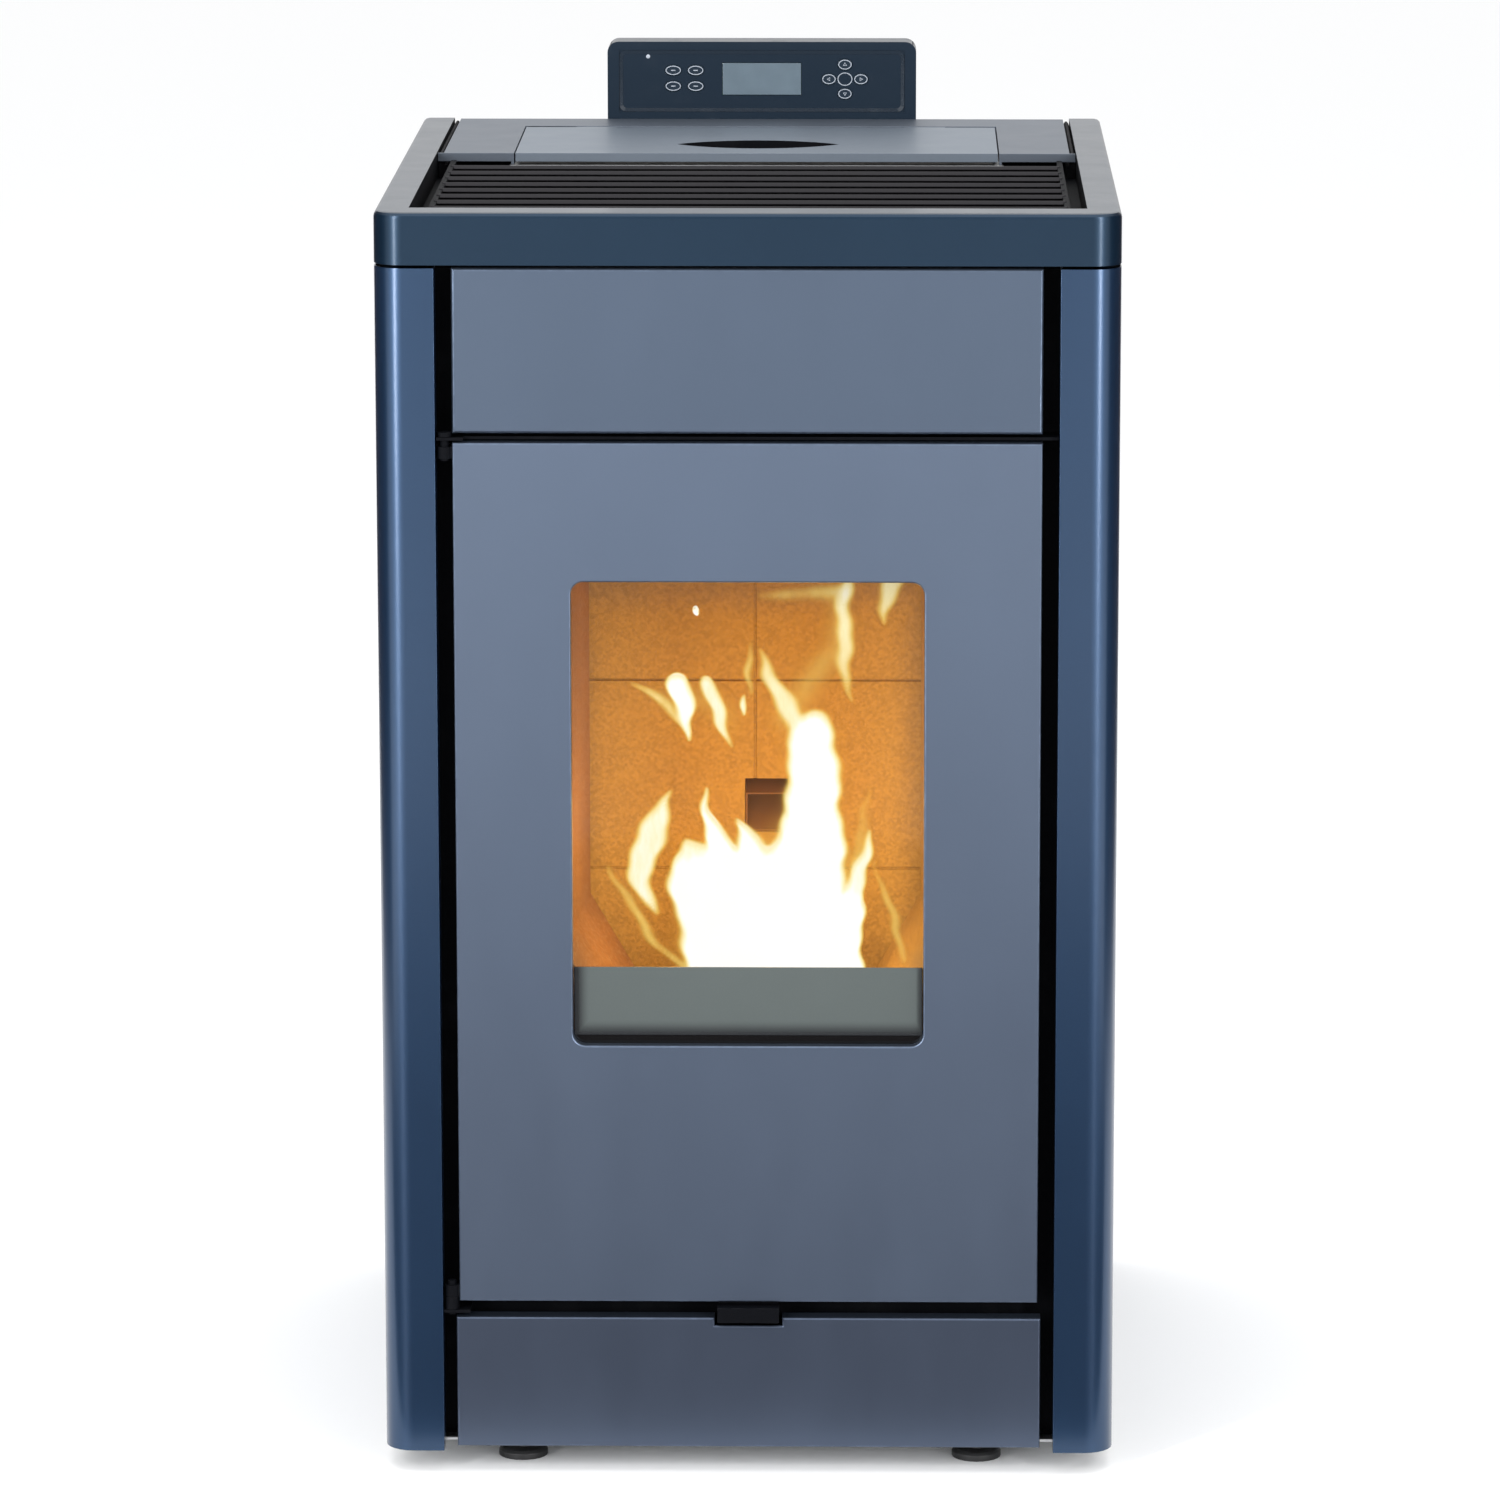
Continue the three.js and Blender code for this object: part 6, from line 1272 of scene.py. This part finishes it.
@dataclass
class FlameSheet:
    """Burning gas as one closed body, thick where it is hot, with its heat at every point."""

    tongues: Sequence[Tongue]
    across: tuple[float, float] = (-118.0, 118.0)
    up: tuple[float, float] = (296.0, 606.0)
    pitch: float = 1.3
    depth: float = -150.0
    bulge: float = 11.0
    sheet: float = 0.2
    faint: float = 0.015
    sway: float = 1.5
    wave: float = 0.13
    wave_start: float = 1.3
    ripple: float = 0.31
    ripple_lean: float = 0.06

    def heat(self, across: np.ndarray, up: np.ndarray) -> np.ndarray:
        """All tongues together, with edges that flicker."""
        wave = np.sin(self.wave * up + self.wave_start)
        ripple = np.sin(self.ripple * up + self.ripple_lean * across)
        swayed = across + self.sway * (wave + 0.5 * ripple)
        cold = np.ones(across.shape)
        for tongue in self.tongues:
            cold *= 1 - np.minimum(tongue.warmth(swayed, up), 0.999)
        return 1 - cold

    def piece(self, name: str) -> bpy.types.Object:
        """Builds the body.

        Args:
            name: the piece's name.

        Returns:
            The object, its mesh holding the attribute core.
        """
        across, up = np.meshgrid(np.arange(*self.across, self.pitch), np.arange(*self.up, self.pitch),
                                 indexing="ij")
        heat = self.heat(across, up)
        lit = heat > self.faint
        whole = lit[:-1, :-1] & lit[1:, :-1] & lit[1:, 1:] & lit[:-1, 1:]
        build = bmesh.new()
        layer = build.verts.layers.float.new("core")
        verts = {}

        def vert(i: int, k: int, side: int) -> bmesh.types.BMVert:
            """The front or back vertex of a grid point, made once."""
            if (i, k, side) not in verts:
                y = self.depth + side * (self.sheet + self.bulge * heat[i, k])
                verts[i, k, side] = build.verts.new(Vector((across[i, k], y, up[i, k])) * MM)
                verts[i, k, side][layer] = heat[i, k]
            return verts[i, k, side]

        for i, k in zip(*np.nonzero(whole)):
            corners = [(i, k), (i + 1, k), (i + 1, k + 1), (i, k + 1)]
            for side in (-1, 1):
                build.faces.new([vert(*corner, side) for corner in corners[::-side]])
            for n, (di, dk) in enumerate(((0, -1), (1, 0), (0, 1), (-1, 0))):
                ni, nk = i + di, k + dk
                inside = 0 <= ni < whole.shape[0] and 0 <= nk < whole.shape[1] and whole[ni, nk]
                if not inside:
                    first, second = corners[n], corners[(n + 1) % 4]
                    build.faces.new([vert(*first, -1), vert(*first, 1), vert(*second, 1), vert(*second, -1)])
        return piece_of(name, build, closed=True)


def scatter_share(i: int, k: int, layer: int) -> float:
    """A share from 0 to 1 that looks random and is the same on every run."""
    first, second, third = SCATTER_WEIGHTS
    turn = math.sin(i * first + k * second + layer * third) * SCATTER_SCALE
    return turn - math.floor(turn)


@dataclass
class FireChamber(SubAssembly):
    """Shell, boards, burn pot, burning pellets and the flames."""

    pellet_radius: float = 3.1 * MM
    pellet_length: float = 15 * MM
    layers: int = 3
    margin: float = 20 * MM
    pitch_across: float = 2.2
    pitch_deep: float = 0.8
    first_layer: float = 58
    layer_rise: float = 6
    heave: float = 3
    tilt: float = 0.3
    size_spread: float = 0.12
    light_colour: Colour = (1.0, 0.57, 0.13)
    light_radius: float = 25 * MM
    tongues: Sequence[Tongue] = (
        Tongue(1.0, 6.0, [(678, 1460, 250), (675, 1330, 258), (668, 1262, 252)]),
        Tongue(1.0, 6.0, [(640, 1240, 235), (600, 1130, 205), (535, 1060, 160), (450, 1010, 100),
                          (408, 960, 48)]),
        Tongue(1.0, 6.0, [(720, 1240, 190), (690, 1100, 170), (650, 1030, 130), (600, 990, 95)]),
        Tongue(1.0, 5.5, [(800, 1275, 100), (806, 1150, 98), (800, 1000, 94), (796, 880, 88),
                          (794, 760, 78), (792, 640, 74), (793, 545, 60), (801, 508, 42)]),
        Tongue(1.0, 3.5, [(890, 1400, 54), (902, 1150, 44), (916, 1040, 28)]),
        Tongue(0.72, 3.0, [(925, 1025, 26), (945, 950, 20), (958, 885, 12), (966, 835, 2)]),
        Tongue(0.95, 3.5, [(530, 990, 80), (502, 905, 46), (482, 835, 25), (465, 760, 10),
                          (457, 705, 1)]),
        Tongue(0.9, 4.5, [(610, 965, 70), (596, 900, 42), (578, 850, 20), (560, 805, 4)]),
        Tongue(0.9, 4.5, [(690, 960, 70), (692, 900, 36), (700, 850, 17), (716, 790, 2)]),
        Tongue(0.7, 4.5, [(450, 960, 80), (420, 920, 50), (398, 885, 22)]),
        Tongue(0.9, 3.0, [(414, 548, 1), (403, 498, 11), (393, 452, 22), (383, 408, 32), (374, 374, 30)]),
        Tongue(0.62, 2.6, [(546, 568, 2), (520, 522, 10), (500, 475, 16), (480, 420, 20),
                          (462, 372, 18)]),
        Tongue(0.6, 2.0, [(570, 466, 3), (572, 440, 10), (574, 412, 3)]),
        Tongue(0.68, 4.5, [(302, 1085, 3), (270, 1035, 20), (260, 965, 36), (272, 885, 44),
                          (302, 820, 38), (328, 765, 20), (346, 712, 2)]),
        Tongue(0.5, 4.0, [(745, 505, 24), (706, 440, 26), (670, 370, 24), (645, 310, 12), (628, 268, 2)]),
        Tongue(0.34, 4.0, [(600, 400, 4), (597, 320, 12), (600, 250, 2)]),
        Tongue(0.45, 4.0, [(905, 425, 3), (897, 340, 16), (889, 250, 22), (888, 170, 18), (898, 90, 18),
                          (912, 10, 12)]),
        Tongue(0.5, 4.5, [(1008, 185, 2), (1018, 140, 16), (1030, 90, 28), (1044, 20, 40)]),
        Tongue(0.3, 5.5, [(640, 104, 8), (720, 96, 18), (820, 90, 22), (890, 84, 18)]),
        Tongue(0.3, 3.5, [(1104, 1300, 6), (1064, 1165, 14), (1032, 1075, 14), (985, 930, 3)]),
        Tongue(0.26, 4.5, [(925, 1010, 20), (930, 900, 22), (950, 790, 16), (968, 705, 3)]),
        Tongue(0.34, 3.5, [(380, 1255, 6), (300, 1175, 14), (240, 1090, 14), (200, 1020, 13),
                          (160, 945, 3)]),
        Tongue(0.42, 3.5, [(405, 524, 3), (345, 455, 12), (290, 405, 11), (236, 376, 2)]),
        Tongue(1.0, 1.0, [(435, 150, 9), (435, 145, 9)]),
        Tongue(0.2, 16.0, [(650, 1260, 262), (610, 1080, 235), (700, 960, 150), (792, 800, 90),
                          (795, 560, 76)]),
        Tongue(0.22, 13.0, [(690, 480, 30), (790, 360, 44), (860, 260, 44), (880, 120, 34)]),
        Tongue(0.16, 11.0, [(560, 520, 16), (470, 430, 50), (330, 400, 24)]),
    )
    light_points: Sequence[tuple[float, float, float, float]] = (
        (10, -150, 350, 0.55), (35, -150, 430, 0.5), (-60, -150, 420, 0.3), (30, -140, 540, 0.2))

    def dress(self) -> None:
        """Finishes the chamber and lights the fire."""
        self.soften(Look.black_steel, "firebox_shell")
        self.soften(Look.fire_board, "back_tile", "side_tile_right", "baffle_plate", width=THICK_EDGE)
        self.soften(Look.rough_board, "side_tile_left", width=THICK_EDGE)
        self.soften(Look.cast_iron, "burn_pot", width=THICK_EDGE)
        self.soften(Look.steel, "igniter")
        self.pellets()
        self.flames()
        self.lights()

    def pellets(self) -> None:
        """Heaps pellets in the burn pot."""
        half, radius, neck = self.pellet_length / 2, self.pellet_radius, self.pellet_radius * 0.86
        pellet = turned("pellet_pattern", [(0, -half), (neck, -half), (radius, -half * 0.9),
                                           (radius, half * 0.9), (neck, half), (0, half)], 9)
        low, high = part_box("burn_pot")
        wide, long = self.pitch_across * radius, self.pellet_length * self.pitch_deep
        across = int((high.x - low.x - 2 * self.margin) / wide)
        deep = int((high.y - low.y - 2 * self.margin) / long)
        spots = []
        for layer, i, k in product(range(self.layers), range(across), range(deep)):
            jitter = scatter_share(i, k, layer)
            rise = self.first_layer + layer * self.layer_rise + jitter * self.heave
            place = (low.x + self.margin + (i + jitter) * wide, low.y + self.margin + (k + 0.5) * long,
                     low.z + rise * MM)
            spots.append((place, (math.cos(jitter * math.tau), math.sin(jitter * math.tau),
                                  self.tilt * jitter)))
        repeated("burning_pellets", pellet, spots, Look.ember, self.body, self.size_spread)

    def flames(self) -> None:
        """Lights the flames, which throw no shadow."""
        piece = finish_piece(FlameSheet(self.tongues).piece("flames"), Look.flame, self.body)
        piece.visible_shadow = False
        Look.flame.value.material().cycles.emission_sampling = "NONE"

    def lights(self) -> None:
        """Warm lamps where the flames are."""
        for i, (x, y, z, power) in enumerate(self.light_points):
            lamp = bpy.data.lights.new(f"fire_light_{i + 1}", "POINT")
            lamp.energy = power
            lamp.color = self.light_colour
            lamp.shadow_soft_size = self.light_radius
            placed = bpy.data.objects.new(lamp.name, lamp)
            placed.location = Vector((x, y, z)) * MM
            bpy.context.scene.collection.objects.link(placed)


@dataclass
class PelletFeed(SubAssembly):
    """Hopper, chute, auger tube and gear motor."""

    def dress(self) -> None:
        """Finishes the feed."""
        self.soften(Look.zinc, "pellet_hopper", "auger_tube", width=SHEET_EDGE)
        self.soften(Look.heated_steel, "pellet_chute", width=SHEET_EDGE)
        self.soften(Look.black_steel, "auger_motor", width=THICK_EDGE)


@dataclass
class Turning(SubAssembly):
    """A wheel or screw with a body of its own."""

    nodes: Sequence[str] = ()
    look: Look = Look.steel
    width: float = THIN_EDGE

    def dress(self) -> None:
        """Finishes the turning piece."""
        self.soften(self.look, *self.nodes, width=self.width)


@dataclass
class AirParts(SubAssembly):
    """Fans, flue, intake and blower."""

    def dress(self) -> None:
        """Finishes the air parts."""
        self.soften(Look.black_steel, "exhaust_fan_housing", "flue_outlet")
        self.soften(Look.zinc, "exhaust_motor", "air_intake_pipe", "blower_housing", width=SHEET_EDGE)


@dataclass
class ControlPanel(SubAssembly):
    """Control housing, display, lamp, printed outlines and the boards."""

    housing_edge: float = 1.1 * MM
    key_edge: float = 0.35 * MM
    round_steps: int = 3
    ink_radius: float = 0.28 * MM
    ink_height: float = 0.22
    ink_inset: float = 0.9 * MM
    mark_share: float = 1.2
    arrow_half: float = 1.3 * MM
    dash: Sequence[float] = (-1.6 * MM, -0.5 * MM, 0.5 * MM, 1.6 * MM)
    ring_half: tuple[float, float] = (5.2 * MM, 4.6 * MM)
    ring_steps: int = 28
    lamp_place: Point = (-84 * MM, 268.1 * MM, 916 * MM)
    lamp_radius: float = 1.5 * MM
    face_y: float = 268.1 * MM
    face_half: float = 105.5 * MM
    face_low: float = 875.0 * MM
    face_high: float = 920.8 * MM
    bevel: float = 2.6 * MM
    bevel_height: float = 0.75 * MM
    bevel_lift: float = 0.02 * MM
    bevel_lip: float = 0.2 * MM
    bevel_corner: float = 5 * MM
    corner_shrink: float = 0.8
    slack: float = 0.3 * MM

    def dress(self) -> None:
        """Finishes the control panel and its keys."""
        softened("control_housing", Look.navy_plastic, self.body, self.housing_edge, self.round_steps)
        self.soften(Look.display, "display_window")
        self.soften(Look.circuit_board, "control_board", "power_board", width=FINE_EDGE)
        self.soften(Look.black_plastic, "power_socket")
        softened("power_switch", Look.red_plastic, "rocker", SOLID_EDGE)
        for number in range(1, 5):
            self.key(f"key_{number}")
        for side in ("up", "down", "left", "right"):
            self.key(f"arrow_key_{side}", side)
        self.lamp()
        self.centre_ring()
        self.face_bevel()

    def face_bevel(self) -> None:
        """The sloping border that leads into the recessed face."""
        front, back = self.face_y - self.bevel_height, self.face_y - self.bevel_lift
        middle = (0.0, (self.face_low + self.face_high) / 2)
        half_x, half_z = self.face_half - self.slack, (self.face_high - self.face_low) / 2 - self.slack
        corners = ((0.0, front), (self.bevel, back - self.bevel_lip), (self.bevel, back), (0.0, back))
        build = bmesh.new()
        rings = []
        for inset, y in corners:
            radius = self.bevel_corner - inset * self.corner_shrink
            loop = rounded_loop(half_x - inset, half_z - inset, radius, y, middle)
            rings.append([build.verts.new(point) for point in loop])
        skin(rings, build, looped=True)
        self.add("control_face_border", build, Look.gloss_navy, "navy_plastic")

    def oval(self, centre: Vector, half_x: float, half_z: float, y: float) -> list[Point]:
        """Points round an oval in front of a key."""
        turns = [math.tau * i / self.ring_steps for i in range(self.ring_steps)]
        return [(centre.x + half_x * math.cos(a), y, centre.z + half_z * math.sin(a)) for a in turns]

    def ink(self, points: Sequence[Point], build: bmesh.types.BMesh, share: float = 1.0,
            closed: bool = True) -> None:
        """A printed line, flat on its face."""
        tube(points, self.ink_radius * share, build, closed, (1, self.ink_height, 1))

    def key(self, node: str, side: str | None = None) -> None:
        """Finishes a key and prints its outline and mark on it."""
        body = f"{node}_cap"
        softened(node, Look.key_plastic, body, self.key_edge, self.round_steps)
        low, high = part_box(node)
        centre, half = (low + high) / 2, (high - low) / 2
        build = bmesh.new()
        self.ink(self.oval(centre, half.x - self.ink_inset, half.z - self.ink_inset, low.y), build)
        self.ink(self.mark(centre, side, low.y), build, self.mark_share, closed=side is not None)
        finish_piece(piece_of(f"{node}_print", build, closed=True), Look.ink, body)

    def mark(self, centre: Vector, side: str | None, y: float) -> list[Point]:
        """An arrow head for an arrow key, a short dash for the others."""
        if side is None:
            return [(centre.x + reach, y, centre.z) for reach in self.dash]
        aim = {"up": math.pi / 2, "down": -math.pi / 2, "left": math.pi, "right": 0.0}[side]
        corners = [aim + math.tau * i / 3 for i in range(3)]
        reach = self.arrow_half
        return [(centre.x + reach * math.cos(a), y, centre.z + reach * math.sin(a)) for a in corners]

    def lamp(self) -> None:
        """The small status lamp at the upper left."""
        place = Matrix.Translation(self.lamp_place) @ Matrix.Rotation(math.pi / 2, 4, "X")
        radius = self.lamp_radius
        lamp = turned("status_lamp", [(0, -0.3 * MM), (radius, -0.3 * MM), (radius, 0.1 * MM),
                                      (radius * 0.7, 0.4 * MM), (0, 0.5 * MM)], 20, place)
        finish_piece(lamp, Look.ink, self.body)

    def centre_ring(self) -> None:
        """The printed ring amid the arrow keys."""
        corners = [*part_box("arrow_key_up"), *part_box("arrow_key_down")]
        build = bmesh.new()
        self.ink(self.oval(sum(corners, Vector()) / 4, *self.ring_half, self.face_y), build)
        self.add("arrow_centre_print", build, Look.ink, "key_plastic")


# ---------- Studio ----------

@dataclass
class Softbox:
    """A rectangular lamp that looks at the stove."""

    name: str
    place: Point
    size: tuple[float, float]
    power: float
    colour: Colour = (1.0, 1.0, 1.0)
    target: Point = (0.0, -0.1, 0.5)

    def hang(self) -> None:
        """Puts the lamp in the scene."""
        lamp = bpy.data.lights.new(self.name, "AREA")
        lamp.shape = "RECTANGLE"
        lamp.size, lamp.size_y = self.size
        lamp.energy = self.power
        lamp.color = self.colour
        placed = bpy.data.objects.new(self.name, lamp)
        placed.location = self.place
        aim = Vector(self.target) - Vector(self.place)
        placed.rotation_euler = aim.to_track_quat("-Z", "Y").to_euler()
        bpy.context.scene.collection.objects.link(placed)


@dataclass
class Studio:
    """White paper floor, soft light and the camera."""

    camera_place: Point = (0.0965, -5.138, 1.4907)
    pitch: float = 11.12
    yaw: float = -0.763
    lens: float = 176.0
    shift: tuple[float, float] = (-0.03, -0.03)
    sensor: float = 36.0
    far: float = 100.0
    floor_half: float = 40.0
    ambient: float = 1.05
    softboxes: Sequence[Softbox] = (
        Softbox("overhead", (0.0, 0.2, 3.4), (3.6, 3.2), 40.0, target=(0.0, 0.0, 0.0)),
        Softbox("strip_right", (1.75, -2.6, 1.3), (0.3, 2.2), 55.0),
        Softbox("strip_left", (-1.75, -2.6, 1.3), (0.3, 2.2), 70.0),
    )

    def flags(self) -> None:
        """Dark boards that are seen only as reflections in the paint."""
        side, low, high, near, far = 1.6, 0.0, 2.4, -0.75, 3.4
        reach, back, foot, head = 0.4, -6.6, 0.9, 3.4
        spread, level, inner, outer = 1.3, 0.004, -0.36, -2.3
        boards = {
            "flag_left": [(-side, near, low), (-side, far, low), (-side, far, high), (-side, near, high)],
            "flag_right": [(side, near, low), (side, far, low), (side, far, high), (side, near, high)],
            "flag_floor": [(-spread, inner, level), (spread, inner, level), (spread, outer, level),
                           (-spread, outer, level)],
            "flag_front": [(-reach, back, foot), (reach, back, foot), (reach, back, head),
                           (-reach, back, head)],
        }
        for name, corners in boards.items():
            build = bmesh.new()
            build.faces.new([build.verts.new(corner) for corner in corners])
            flag = piece_of(name, build, smooth=False)
            flag.data.materials.append(PowderBlack("flag_cloth", (0.03, 0.018, 0.028)).material())
            flag.visible_camera = flag.visible_diffuse = flag.visible_shadow = False

    def camera(self) -> None:
        """The photograph's camera: from a little above and to the right."""
        lens = bpy.data.cameras.new("camera")
        lens.lens = self.lens
        lens.sensor_width = self.sensor
        lens.shift_x, lens.shift_y = self.shift
        lens.clip_end = self.far
        placed = bpy.data.objects.new("camera", lens)
        placed.location = self.camera_place
        placed.rotation_euler = (math.radians(90 - self.pitch), 0.0, math.radians(-self.yaw))
        bpy.context.scene.collection.objects.link(placed)
        bpy.context.scene.camera = placed

    def floor(self) -> None:
        """The paper sweep under the stove."""
        build = bmesh.new()
        bmesh.ops.create_grid(build, x_segments=4, y_segments=4, size=self.floor_half)
        floor = piece_of("studio_floor", build, smooth=False)
        floor.data.materials.append(StudioFloor("studio_paper").material())

    def light(self) -> None:
        """Even white surroundings and the softboxes."""
        world = bpy.data.worlds.new("studio")
        world.use_nodes = True
        ground = world.node_tree.nodes["Background"]
        ground.inputs["Color"].default_value = (1.0, 1.0, 1.0, 1.0)
        ground.inputs["Strength"].default_value = self.ambient
        bpy.context.scene.world = world
        for softbox in self.softboxes:
            softbox.hang()

    def set_up(self) -> None:
        """Builds the whole studio."""
        self.camera()
        self.floor()
        self.flags()
        self.light()
        bpy.context.scene.view_settings.view_transform = "Standard"


def main() -> None:
    """Builds the studio and every sub-assembly."""
    logging.basicConfig(level=logging.INFO, format="%(message)s")
    Studio().set_up()
    groups = [Casing(), TopDeck(), Lid(), FixedFront(), FireDoor(), DoorLever(), AshTray(), FireChamber(),
              PelletFeed(), AirParts(), ControlPanel(),
              Turning("auger", ["auger_screw"]), Turning("exhaust_wheel", ["exhaust_impeller"]),
              Turning("room_air_wheel", ["blower_wheel"])]
    for group in groups:
        group.dress()


if __name__ == "__main__":
    main()
